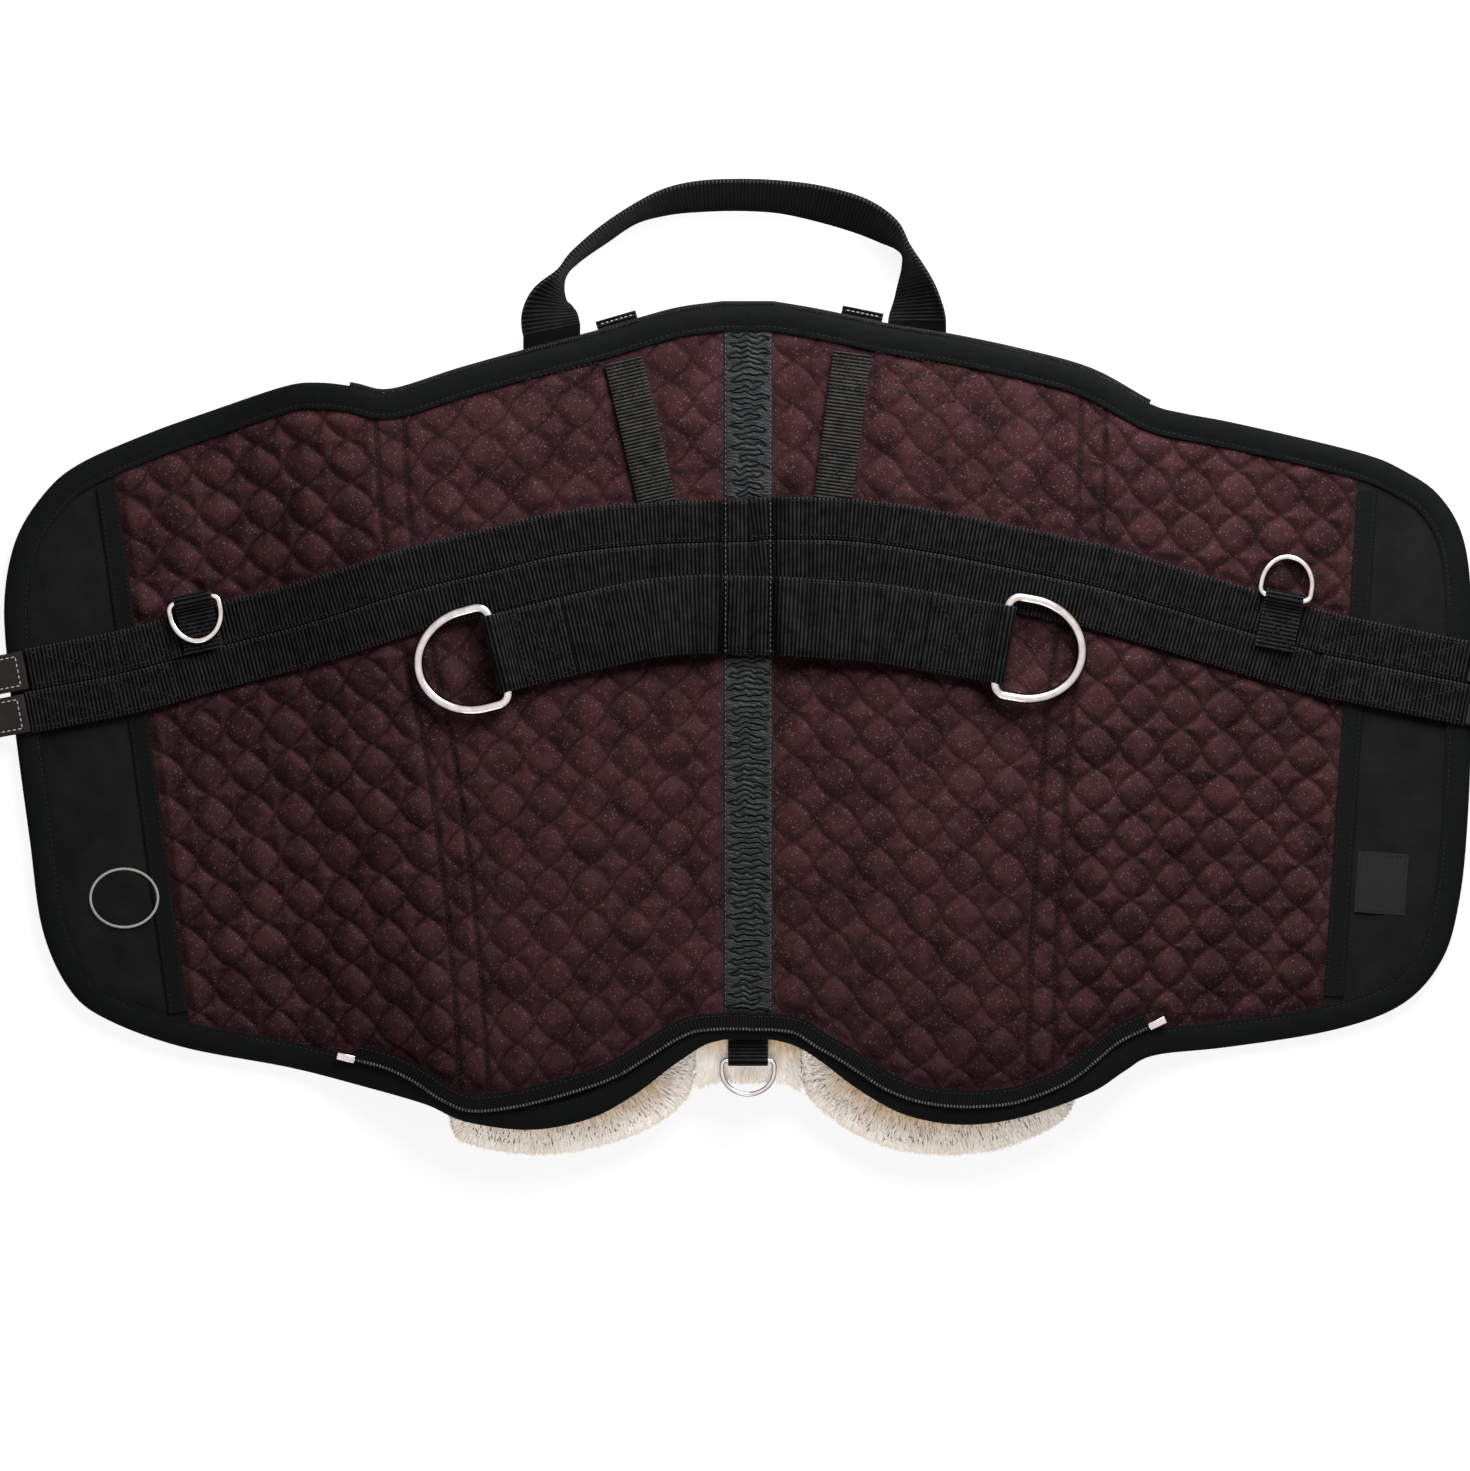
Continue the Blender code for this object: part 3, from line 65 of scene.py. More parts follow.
# The pad's own sizes
HALF_WIDTH = 487.5 * MM
HALF_DEPTH = 240.5 * MM
HANDLE_REACH = 317 * MM
CLEARANCE = 0.3 * MM
SHEET_BOTTOM = 1.9 * MM
SHEET_TOP = 6.1 * MM
BINDING_WIDTH = 17 * MM
BINDING_HEIGHT = 8 * MM
SEAT_LIFT = 30 * MM
SEAT_CROWN = 3 * MM
RAMP_WIDTH = 0.2626 * HALF_WIDTH
EDGE_DROOP = 5 * MM
DROOP_WIDTH = 45 * MM
DROOP_START = 34 * MM
DROOP_FADE = 60 * MM
FOLD_X = 16 * MM
WEB_THICKNESS = 2 * MM
GIRTH_WEB_WIDTH = 27 * MM
GIRTH_WEB_SPACING = 27.6 * MM
STIRRUP_WEB_WIDTH = 51 * MM
STRAP_WIDTH = 25 * MM
TAB_THICKNESS = 1.5 * MM
GIRTH_LEVEL = SHEET_TOP + 1.4 * MM
SECOND_LEVEL = GIRTH_LEVEL + WEB_THICKNESS + CLEARANCE
MIDDLE_DROP = 0.7 * MM
# Out to the girth webs' edges, and to the stitches that stop beside them
GIRTH_REACH = GIRTH_WEB_SPACING / 2 + GIRTH_WEB_WIDTH / 2
BESIDE_GIRTH = 29 * MM
RING_PLAY = 0.7 * MM
BIG_RING = (6.5 * MM, 58 * MM, 53 * MM)
SMALL_RING = (4 * MM, 29 * MM, 27 * MM)
REAR_RING = (3 * MM, 31 * MM, 22 * MM)
REAR_WEB_WIDTH = 26 * MM
TAPE_WIDTH = 13 * MM
TAPE_THICKNESS = 0.5 * MM
LABEL_WIDTH = 33 * MM
LABEL_DEPTH = 40 * MM
LABEL_THICKNESS = 0.7 * MM
LABEL_GAP = 3.2 * MM
LABEL_SHARE = -0.577
LABEL_TURN = -4
ZIP_TAPE_WIDTH = 12 * MM
ZIP_TEETH_WIDTH = 3 * MM
ZIP_STOP = (12 * MM, 5 * MM, 3.5 * MM)
FRONT_TEETH_BASE = 4.6 * MM
FRONT_TEETH_SIZE = 2.4 * MM
LAMBSKIN_HEIGHT = 18 * MM
LAMBSKIN_INNER_EDGE = 29 * MM
LAMBSKIN_FRONT_INSET = 16 * MM
LAMBSKIN_SEAM_OVERLAP = 27 * MM
LINING_HALF_WIDTH = 6 * MM
LINING_THICKNESS = 8 * MM
LINING_REACH = 33 * MM
WOOL_INSET = 6 * MM
HANDLE_WIDTH = 38 * MM
HANDLE_THICKNESS = 3 * MM
BILLET_LENGTH = 236 * MM
BILLET_WIDTH = 25 * MM
BILLET_THICKNESS = 4 * MM
BILLET_HOLD = 18 * MM
BILLET_DROP = 62 * MM
GIRTH_END_SHARE = 0.83
ANCHOR_START_SHARE = 0.762
ANCHOR_END_SHARE = 0.965
HOLE_COUNT = 7
HOLE_SIZE = 5 * MM
HOLE_PITCH = 25 * MM
FIRST_HOLE = 30 * MM
ZIP_BASE = BINDING_HEIGHT + 2 * CLEARANCE
# Stitches: how far in from a web's edge, how high over it, and where the small ones lie
SEWN_IN = 3 * MM
THREAD_RISE = 0.1 * MM
GIRTH_SEWN = GIRTH_LEVEL + WEB_THICKNESS + THREAD_RISE
SECOND_SEWN = SECOND_LEVEL + WEB_THICKNESS + THREAD_RISE
SPINE_PITCH = 3.4 * MM
SPINE_STITCH = 1.9 * MM

# Outlines from the spine's front end round the flap to its rear end, as shares of the half width and depth
OUTLINE_SHARES = {
    "left": (
        (0.033, 0.984), (0.091, 0.968), (0.144, 0.94), (0.197, 0.908), (0.297, 0.854), (0.384, 0.805),
        (0.475, 0.749), (0.524, 0.765), (0.571, 0.776), (0.617, 0.768), (0.711, 0.708), (0.804, 0.641),
        (0.897, 0.557), (0.944, 0.473), (0.98, 0.351), (0.995, 0.189), (0.99, 0.0), (0.979, -0.189),
        (0.961, -0.459), (0.944, -0.703), (0.908, -0.865), (0.859, -0.946), (0.757, -1.022),
        (0.617, -1.076), (0.524, -1.122), (0.431, -1.173), (0.377, -1.219), (0.291, -1.241),
        (0.211, -1.211), (0.151, -1.146), (0.104, -1.073), (0.06, -1.014), (0.033, -0.997),
    ),
    "right": (
        (0.033, 0.984), (0.096, 0.962), (0.187, 0.924), (0.269, 0.897), (0.363, 0.857), (0.456, 0.805),
        (0.536, 0.719), (0.58, 0.695), (0.643, 0.673), (0.736, 0.632), (0.829, 0.584), (0.876, 0.543),
        (0.923, 0.478), (0.956, 0.365), (0.968, 0.189), (0.969, -0.081), (0.963, -0.405),
        (0.952, -0.622), (0.929, -0.784), (0.876, -0.905), (0.783, -0.976), (0.643, -1.022),
        (0.543, -1.043), (0.503, -1.084), (0.456, -1.143), (0.363, -1.208), (0.283, -1.227),
        (0.209, -1.2), (0.149, -1.135), (0.096, -1.054), (0.063, -1.014), (0.033, -0.997),
    ),
}
SEAM_SHARES = {"left": ((0.497, 0.75), (0.351, -1.135)), "right": ((0.462, 0.79), (0.382, -1.12))}
JOIN_SHARES = {"left": ((0.848, 0.55), (0.748, -0.93)), "right": ((0.817, 0.55), (0.769, -0.91))}
GIRTH_SHARES = {
    "left": (
        (0.0, 0.345), (0.056, 0.343), (0.144, 0.335), (0.247, 0.311), (0.335, 0.268), (0.445, 0.214),
        (0.572, 0.135), (0.7, 0.068), (0.827, -0.003), (0.968, -0.059),
    ),
    "right": (
        (0.0, 0.345), (0.037, 0.351), (0.14, 0.346), (0.243, 0.316), (0.311, 0.289), (0.412, 0.246),
        (0.476, 0.216), (0.616, 0.135), (0.756, 0.051), (0.816, 0.024), (0.968, -0.039),
    ),
}
STIRRUP_SHARES = {
    "left": ((0.0, 0.146), (0.056, 0.149), (0.117, 0.141), (0.164, 0.124), (0.247, 0.086), (0.331, 0.043)),
    "right": ((0.0, 0.146), (0.048, 0.143), (0.109, 0.135), (0.175, 0.124), (0.232, 0.105), (0.336, 0.068)),
}
STRAP_SHARES = {"left": ((0.169, 0.86), (0.121, 0.451)), "right": ((0.14, 0.878), (0.113, 0.459))}
SMALL_RING_SHARES = {"left": (0.741, 0.19), "right": (0.716, 0.196)}
SMALL_RING_ANGLES = {"left": 102, "right": 79}
REAR_ZIP_SHARES = {
    "left": (
        (0.033, -0.973), (0.07, -0.98), (0.1, -1.008), (0.135, -1.054), (0.173, -1.1), (0.219, -1.135),
        (0.3, -1.18), (0.368, -1.195), (0.411, -1.163), (0.445, -1.118), (0.485, -1.08), (0.524, -1.061),
    ),
    "right": (
        (0.033, -0.975), (0.063, -0.985), (0.089, -1.02), (0.12, -1.055), (0.15, -1.095), (0.181, -1.135),
        (0.219, -1.165), (0.261, -1.18), (0.303, -1.183), (0.357, -1.172), (0.414, -1.13), (0.444, -1.095),
        (0.468, -1.055), (0.496, -1.01), (0.535, -0.972),
    ),
}
FRONT_ZIP_END_SHARES = {"left": 0.53, "right": 0.536}
LAMBSKIN_REAR_SHARES = {
    "left": (
        (0.407, -1.14), (0.397, -1.255), (0.371, -1.292), (0.317, -1.314), (0.264, -1.318),
        (0.211, -1.303), (0.157, -1.27), (0.104, -1.215), (0.075, -1.155),
    ),
    "right": (
        (0.447, -1.13), (0.429, -1.21), (0.403, -1.25), (0.349, -1.297), (0.296, -1.317), (0.243, -1.318),
        (0.189, -1.302), (0.136, -1.256), (0.1, -1.205), (0.075, -1.155),
    ),
}
FRONT_TAB_SHARES = {"left": 0.172, "right": 0.15}
HANDLE_BASE_SHARE = 0.817
HANDLE_SHARES = (
    (-0.254, 0, 0), (-0.256, 0.1, 0), (-0.263, 0.229, 5), (-0.2655, 0.332, 36), (-0.262, 0.408, 62),
    (-0.249, 0.505, 85), (-0.231, 0.595, 84), (-0.193, 0.716, 80), (-0.153, 0.824, 79),
    (-0.108, 0.895, 70), (-0.064, 0.924, 65), (-0.011, 0.932, 64), (0.043, 0.921, 63),
    (0.096, 0.884, 59), (0.149, 0.821, 59), (0.187, 0.737, 68), (0.209, 0.645, 84), (0.217, 0.563, 76),
    (0.222, 0.458, 57), (0.225, 0.348, 36), (0.225, 0.211, 3), (0.224, 0.079, 0),
)
# The seat's double-stitched seam in millimetres from the spine and forwards, its outer and inner line
SEAM_LINES = {
    "left": ((242.5, 178), (236, 84.5), (216.5, -19.5), (209.3, -52), (194.4, -163.8), (185.9, -280)),
    "right": (
        (216.5, 184), (211.9, 81.3), (198.9, 16.3), (193, -32.5), (187.2, -117), (183.3, -182.7),
        (181.4, -280),
    ),
}
SEAM_APART = {"left": -18.2 * MM, "right": 16.3 * MM}
# A tuft's centre on each side, in millimetres from the spine and forwards
TUFT_CENTRES = {"left": (300.3, -36.4), "right": (281.5, -52)}
# The sewn boxes of the handle's feet: across and forwards in millimetres, and how they lean
HANDLE_BOXES = {"left": ((-143.65, -95.55), (194.35, 169)), "right": ((83.2, 134.55), (201.5, 178.75))}
HANDLE_BOX_LEAN = 5.5 * MM
OVAL_CENTRE = (-406.575 * MM, -148.525 * MM)
PLACES = {True: "front", False: "rear"}

# Where the lamps stand, their size and their power
LAMPS = (
    ("front_softbox", (0.36, 0.92, 0.72), 0.8, 22.8),
    ("rear_fill", (-0.2, -2.2, 0.7), 1.2, 10),
    ("wool_fill", (-0.05, -0.7, 1.7), 1.2, 20),
)
# What the camera sees of the table from left to right
VIEW_WIDTH = 956.15 * MM


def linear(code):
    """An sRGB hex colour as linear red, green and blue with full alpha."""
    shares = [int(code[place:place + 2], 16) / 255 for place in (1, 3, 5)]
    return (*[s / 12.92 if s <= 0.04045 else ((s + 0.055) / 1.055) ** 2.4 for s in shares], 1)


def length_property(name, description, default):
    return bpy.props.FloatProperty(name=name, description=description, default=default, unit="LENGTH",
                                   subtype="DISTANCE", min=0, precision=5)


def colour_property(name, description, code):
    return bpy.props.FloatVectorProperty(name=name, description=description, default=linear(code), size=4,
                                         subtype="COLOR", min=0, max=1)


class PadShape(bpy.types.PropertyGroup):
    tuft_pitch: length_property("Tuft pitch", "From one big tuft of the quilting to the next", 28.3 * MM)
    tuft_height: length_property("Tuft height", "How far a tuft stands above its stitching", 4.1 * MM)
    tuft_shoulder: length_property("Tuft shoulder", "How far a tuft takes to reach its height", 10.5 * MM)
    tuft_bulge: length_property("Tuft bulge", "How far the stitching bows round a big tuft", 2.4 * MM)
    seat_share: bpy.props.FloatProperty(name="Seat tufts", subtype="FACTOR", min=0, max=1, default=0.65,
                                        description="Height of the seat's tufts against the flap's")
    cloth_wrinkle: length_property("Cloth wrinkle", "Depth of the wrinkles in the end panels", 1.1 * MM)
    stitch_pitch: length_property("Stitch pitch", "From one stitch to the next", 3.6 * MM)
    stitch_length: length_property("Stitch length", "Length of the thread that shows", 2.5 * MM)
    lock_length: length_property("Wool lock length", "Length of a lock of the lambskin", 13 * MM)
    lock_count: bpy.props.IntProperty(name="Wool locks", min=100, max=40000, default=19000,
                                      description="Locks of wool on each lambskin")
    coil_pitch: length_property("Zip pitch", "From one tooth of the zip to the next", 2.1 * MM)


class PadColours(bpy.types.PropertyGroup):
    quilt: colour_property("Quilt", "Burgundy quilted cloth", "#482d30")
    quilt_dark: colour_property("Quilt shade", "Darker threads of the quilted cloth", "#2f1d20")
    quilt_fleck: colour_property("Quilt flecks", "Light flecks in the quilted cloth", "#97766f")
    cloth: colour_property("Black cloth", "End panels and bindings", "#1a1919")
    webbing: colour_property("Webbing", "Polypropylene webbing", "#040404")
    webbing_rib_highlight: colour_property("Webbing ribs", "Ribs of the webbing", "#2f2f2f")
    satin: colour_property("Spine satin", "Shirred band over the spine", "#3a3c3d")
    wool: colour_property("Wool", "Tips of the lambskin's wool", "#faf3ea")
    wool_root_and_shade: colour_property("Wool roots", "Roots of the lambskin's wool", "#c8a77b")
    nickel: colour_property("Nickel", "Plated rings and zip stops", "#efe5e2")
    leather: colour_property("Leather", "Girth billets", "#1a1817")
    thread: colour_property("Dark thread", "Stitching on the binding and the webs", "#2a2929")
    light_thread: colour_property("Grey thread", "Stitching beside the spine", "#7c7b79")
    white_thread: colour_property("White thread", "Stitching on the billets", "#e4e0d8")


def shape():
    return bpy.context.scene.pad_shape


def colours():
    return bpy.context.scene.pad_colours


# Lines of the plan, as arrays of points in metres

def at_shares(side, pairs):
    points = np.array(pairs, float).reshape(-1, 2)
    return points * (SIDES[side] * HALF_WIDTH, HALF_DEPTH)


def smooth(points, steps=8):
    """A curve through the points, with that many steps to a span."""
    ends = np.vstack([2 * points[0] - points[1], points, 2 * points[-1] - points[-2]])
    t = np.arange(steps)[:, None] / steps
    made = []
    for a, b, c, d in zip(ends, ends[1:], ends[2:], ends[3:]):
        square = (2 * a - 5 * b + 4 * c - d) * t**2
        cube = (3 * b - a - 3 * c + d) * t**3
        made.append(b + ((c - a) * t + square + cube) / 2)
    return np.vstack([*made, points[-1:]])


def lengths(points):
    """The distance along the line to each of its points."""
    return np.concatenate([[0], np.cumsum(np.linalg.norm(np.diff(points, axis=0), axis=1))])


def at_length(points, wanted):
    run = lengths(points)
    return np.stack([np.interp(wanted, run, column) for column in points.T], -1)


def evenly(points, spacing):
    """The same line with stations at most this far apart."""
    total = lengths(points)[-1]
    return at_length(points, np.linspace(0, total, max(2, math.ceil(total / spacing)) + 1))


def unit(vectors):
    return vectors / np.maximum(np.linalg.norm(vectors, axis=-1, keepdims=True), 1e-12)


def left_of(points):
    """The way to the left of the line at each of its points."""
    along = unit(np.gradient(points[:, :2], axis=0))
    return np.stack([-along[:, 1], along[:, 0]], -1)


def shifted(points, distance):
    return points + distance * left_of(points)


def between(points, low, high):
    """The stretch of the line whose distance from the spine is between low and high."""
    points = evenly(points, 1 * MM)
    run, across = lengths(points), np.abs(points[:, 0])
    across = np.maximum.accumulate(across)
    start, end = np.interp([low, high], across, run)
    inside = points[(run > start) & (run < end)]
    return np.vstack([at_length(points, [start]), inside, at_length(points, [end])])


def distance_to(x, y, line):
    """How far points of the plan are from a line."""
    x, y = np.ravel(x), np.ravel(y)
    start, step = line[:-1], np.diff(line, axis=0)
    size = np.maximum((step**2).sum(1), 1e-12)
    best = np.empty(len(x))
    for first in range(0, len(x), 8000):
        px, py = x[first:first + 8000, None], y[first:first + 8000, None]
        dx, dy = px - start[:, 0], py - start[:, 1]
        share = np.clip((dx * step[:, 0] + dy * step[:, 1]) / size, 0, 1)
        gap = (dx - share * step[:, 0]) ** 2 + (dy - share * step[:, 1]) ** 2
        best[first:first + 8000] = gap.min(1)
    return np.sqrt(best)


def across_at(points, y):
    """Distance from the spine of a line of the plan at this y."""
    order = np.argsort(points[:, 1])
    x, place = np.abs(points[order, 0]), points[order, 1]
    inside = np.interp(y, place, x)
    below = x[0] + (y - place[0]) * (x[1] - x[0]) / (place[1] - place[0])
    above = x[-1] + (y - place[-1]) * (x[-1] - x[-2]) / (place[-1] - place[-2])
    return np.where(y < place[0], below, np.where(y > place[-1], above, inside))


def smoothstep(t):
    t = np.clip(t, 0, 1)
    return t * t * (3 - 2 * t)


def in_plan(side, pairs):
    """Points given in millimetres from the spine and forwards, on that side."""
    return np.array(pairs, float) * MM * (SIDES[side], 1)


OUTLINES = {side: smooth(at_shares(side, OUTLINE_SHARES[side]), 6) for side in SIDES}
SEAMS = {side: at_shares(side, SEAM_SHARES[side]) for side in SIDES}
JOINS = {side: at_shares(side, JOIN_SHARES[side]) for side in SIDES}
GIRTH_LINES = {side: smooth(at_shares(side, GIRTH_SHARES[side])) for side in SIDES}
STIRRUP_LINES = {side: smooth(at_shares(side, STIRRUP_SHARES[side])) for side in SIDES}
STRAP_LINES = {side: at_shares(side, STRAP_SHARES[side]) for side in SIDES}
REAR_ZIPS = {side: smooth(at_shares(side, REAR_ZIP_SHARES[side])) for side in SIDES}
SEAT_SEAMS = {side: smooth(in_plan(side, SEAM_LINES[side]), 6) for side in SIDES}


def edge_parts(line):
    """The outline's front edge and its rear edge, each from the spine outwards."""
    widest = int(np.argmax(np.abs(line[:, 0])))
    return {True: line[: widest + 1], False: line[widest:][::-1]}


EDGES = {side: edge_parts(OUTLINES[side]) for side in SIDES}


def edge_y(side, across, front, edges=EDGES):
    part = edges[side][front]
    return np.interp(across, np.abs(part[:, 0]), part[:, 1])


def lift(x, y):
    """How far the sheet is raised above its place on the table, by what lies under the seat."""
    x, y = np.broadcast_arrays(np.asarray(x, float), np.asarray(y, float))
    made = np.zeros(x.shape)
    for side, sign in SIDES.items():
        here = x < 0 if sign < 0 else x >= 0
        across, place = np.abs(x[here]), y[here]
        seam = across_at(SEAMS[side], place)
        ramp = 1 - smoothstep((across - seam) / RAMP_WIDTH)
        inward = np.clip((across - FOLD_X) / (seam - FOLD_X), 0, 1)
        level = SEAT_LIFT * ramp + 4 * SEAT_CROWN * inward * (1 - inward)
        fade = ramp * smoothstep((across - DROOP_START) / DROOP_FADE)
        drooping = fade > 0
        near = distance_to(x[here][drooping], place[drooping], OUTLINES[side])
        level[drooping] -= fade[drooping] * EDGE_DROOP * (1 - smoothstep((near - BINDING_WIDTH) / DROOP_WIDTH))
        made[here] = level
    return made


def ripple(x, y, size, seed):
    """A soft random unevenness between about -1 and 1, whose waves are about this long."""
    chance = np.random.default_rng(seed)
    total = np.zeros(np.shape(x))
    for _ in range(7):
        angle, phase = chance.uniform(0, 2 * math.pi, 2)
        wave = size * chance.uniform(0.7, 1.6)
        total += np.sin((x * math.cos(angle) + y * math.sin(angle)) * 2 * math.pi / wave + phase)
    return total / 4


# Meshes

def points_of(mesh):
    points = np.empty(len(mesh.vertices) * 3)
    mesh.vertices.foreach_get("co", points)
    return points.reshape(-1, 3)


def signed_volume(mesh):
    mesh.calc_loop_triangles()
    points = points_of(mesh)
    corners = np.empty(len(mesh.loop_triangles) * 3, int)
    mesh.loop_triangles.foreach_get("vertices", corners)
    a, b, c = (points[corners.reshape(-1, 3)[:, k]] - points.mean(0) for k in range(3))
    return float((a * np.cross(b, c)).sum())


def new_piece(name, points, faces, look, body=None, replaces=(), slot=None, angle=40, normals=None, **marks):
    """A finished piece from points in world places, facing outwards, with its material and its body."""
    mesh = bpy.data.meshes.new(name)
    mesh.from_pydata(np.asarray(points).tolist(), [], [tuple(map(int, f)) for f in faces])
    mesh.update()
    if signed_volume(mesh) < 0:
        mesh.flip_normals()
    for label, values in marks.items():
        values = np.asarray(values, np.float32)
        kind, field = ("FLOAT", "value") if values.ndim == 1 else ("FLOAT_VECTOR", "vector")
        mesh.attributes.new(label, kind, "POINT").data.foreach_set(field, values.ravel())
    piece = bpy.data.objects.new(name, mesh)
    bpy.context.scene.collection.objects.link(piece)
    settle(piece, look, body, replaces, angle)
    if normals is not None:
        mesh.normals_split_custom_set_from_vertices(normals.tolist())
    return piece


def settle(piece, look, body, replaces, angle):
    """Gives a mesh its material, its smooth shading, its body and the nodes that it stands for."""
    mesh = piece.data
    mesh.materials.clear()
    mesh.materials.append(material(look))
    mesh.shade_smooth()
    mesh.set_sharp_from_angle(angle=math.radians(angle))
    if body is not None:
        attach(piece, body)
    if replaces:
        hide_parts(*replaces)


def fold_with(piece, side):
    """Bakes a piece's place into its points."""
    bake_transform(piece)


def grid_faces(rows, columns, start=0):
    index = start + np.arange(rows * columns).reshape(rows, columns)
    corners = (index[:-1, :-1], index[1:, :-1], index[1:, 1:], index[:-1, 1:])
    return np.stack(corners, -1).reshape(-1, 4)


def slab(top, bottom, step):
    """A closed slab from a fine upper grid and a lower one that is coarser by step."""
    rows, columns = top.shape[:2]
    low_rows, low_columns = bottom.shape[:2]
    upper = np.arange(rows * columns).reshape(rows, columns)
    lower = rows * columns + np.arange(low_rows * low_columns).reshape(low_rows, low_columns)
    faces = grid_faces(rows, columns).tolist()
    faces += grid_faces(low_rows, low_columns, rows * columns)[:, ::-1].tolist()
    for edge, under, forward in (
        (upper[0], lower[0], True), (upper[-1], lower[-1], False),
        (upper[:, 0], lower[:, 0], False), (upper[:, -1], lower[:, -1], True),
    ):
        for index in range(len(under) - 1):
            above = edge[index * step:(index + 1) * step + 1].tolist()
            below = [int(under[index + 1]), int(under[index])]
            faces.append([*above, *below] if forward else [*above[::-1], *below[::-1]])
    return np.vstack([top.reshape(-1, 3), bottom.reshape(-1, 3)]), faces


def swept(centres, across, up, section):
    """A section of (across, up) pairs carried along a line, with flat ends, and each point's place on it."""
    section = np.asarray(section, float)
    count, around = len(centres), len(section)
    beside = np.tile(section[:, 0], count)
    points = centres[:, None] + section[None, :, :1] * across[:, None] + section[None, :, 1:2] * up[:, None]
    index = np.arange(count * around).reshape(count, around)
    turned = np.roll(index, -1, axis=1)
    faces = np.stack([index[:-1], index[1:], turned[1:], turned[:-1]], -1).reshape(-1, 4).tolist()
    faces += [index[0].tolist(), index[-1][::-1].tolist()]
    to_edge = np.abs(section[:, 0]).max() - np.abs(beside)
    return points.reshape(-1, 3), faces, np.stack([np.repeat(lengths(centres), around), beside, to_edge], -1)


def flat_frames(line, base):
    """Stations of a line of the plan at one height, with their across and up ways."""
    centres = np.column_stack([line, np.full(len(line), base)])
    across = np.column_stack([left_of(line), np.zeros(len(line))])
    return centres, across, np.tile((0.0, 0.0, 1.0), (len(line), 1))


def strap_section(width, thickness, columns=9):
    """A flat woven strap's section with its selvedges rounded, its underside at zero."""
    half, edge = width / 2, min(0.6 * MM, thickness / 2)
    inner = np.linspace(-half + edge, half - edge, columns)
    low, high = thickness * 0.3, thickness * 0.7
    return [*((a, 0) for a in inner), (half, low), (half, high), *((a, thickness) for a in inner[::-1]),
            (-half, high), (-half, low)]


STRAP_AROUND = len(strap_section(1, 1))


def middle_drop(x):
    return MIDDLE_DROP * (1 - smoothstep((np.abs(x) - 8 * MM) / (12 * MM)))


def bell(values, width):
    return np.exp(-((values / width) ** 2))


def crease(x, y, depth):
    """How a web dips where it is sewn down beside the spine and puffs up past that."""
    away = np.abs(x)
    gathered = 0.75 + 0.25 * np.cos(2 * math.pi * y / (9 * MM) + 14 * x / FOLD_X)
    puff = bell(away - 23 * MM, 6 * MM) + 0.5 * bell(away - 7 * MM, 4 * MM)
    return depth * (puff * gathered - 0.8 * bell(away - 14.8 * MM, 1.6 * MM))


def sunk_marks(points, side):
    """Where a web's gathers beside the spine lie in the dark: the share of painted shade at each point."""
    away = np.abs(points[:, 0])
    gathers = np.clip(ripple(points[:, 0], points[:, 1] * 0.12, 15 * MM, 91 + SIDES[side]), 0, 1)
    near = 1 - smoothstep((away - 60 * MM) / (60 * MM))
    return np.clip(bell(away - 17.5 * MM, 2.6 * MM) * 0.9 + 0.55 * gathers * near, 0, 1)


def drape(points):
    """Raises points by the pad's own rise under them."""
    points = points.copy()
    points[:, 2] += lift(points[:, 0], points[:, 1])
    return points


def strap(line, width, base, seed, thickness=WEB_THICKNESS, middle=False):
    """A woven strap that lies along a line of the plan, as loose points, faces and cloth places."""
    points, faces, cloth = swept(*flat_frames(evenly(line, 3 * MM), base), strap_section(width, thickness))
    # A strap's surface is never quite level
    points[:, 2] += 0.16 * MM * ripple(points[:, 0], points[:, 1], 34 * MM, seed)
    points = drape(points)
    if middle:
        points[:, 2] -= middle_drop(points[:, 0])
    return points, faces, cloth


def ribbon(line, path, width, thickness, base):
    """A web folded over a bar. The path gives (distance past the bar, height) of its middle layer."""
    path = evenly(np.array(path, float), 1.2 * MM)
    reach, height = path[:, 0], path[:, 1]
    total = lengths(line)[-1]
    back = total + np.minimum(reach, 0)
    plan = at_length(line, back) + unit(line[-1] - line[-2]) * np.maximum(reach, 0)[:, None]
    ahead = unit(at_length(line, np.clip(back + 0.5 * MM, 0, total))
                 - at_length(line, np.clip(back - 0.5 * MM, 0, total)))
    turn = unit(np.gradient(path, axis=0))
    centres = np.column_stack([plan, base + height])
    across = np.column_stack([-ahead[:, 1], ahead[:, 0], np.zeros(len(path))])
    up = np.column_stack([-turn[:, 1:2] * ahead, turn[:, 0]])
    section = [(a, b - thickness / 2) for a, b in strap_section(width, thickness)]
    points, faces, cloth = swept(centres, across, up, section)
    return drape(points), faces, cloth


def fold_path(wire, thickness, under, upper):
    """The middle layer of a web folded round a bar at the origin: under it, round it and back over it."""
    inner = wire / 2 + RING_PLAY
    radius = inner + thickness / 2
    rise = 2 * inner - CLEARANCE
    knee = (inner + thickness) * 2.2
    turns = np.linspace(-math.pi / 2, math.pi / 2, 15)
    arc = [(radius * math.cos(t), radius * math.sin(t)) for t in turns]
    slope = [(-knee * t, radius - rise * float(smoothstep(t))) for t in np.linspace(0, 1, 12)[1:]]
    return [(-under, -radius), *arc, *slope, (-upper, radius - rise)]


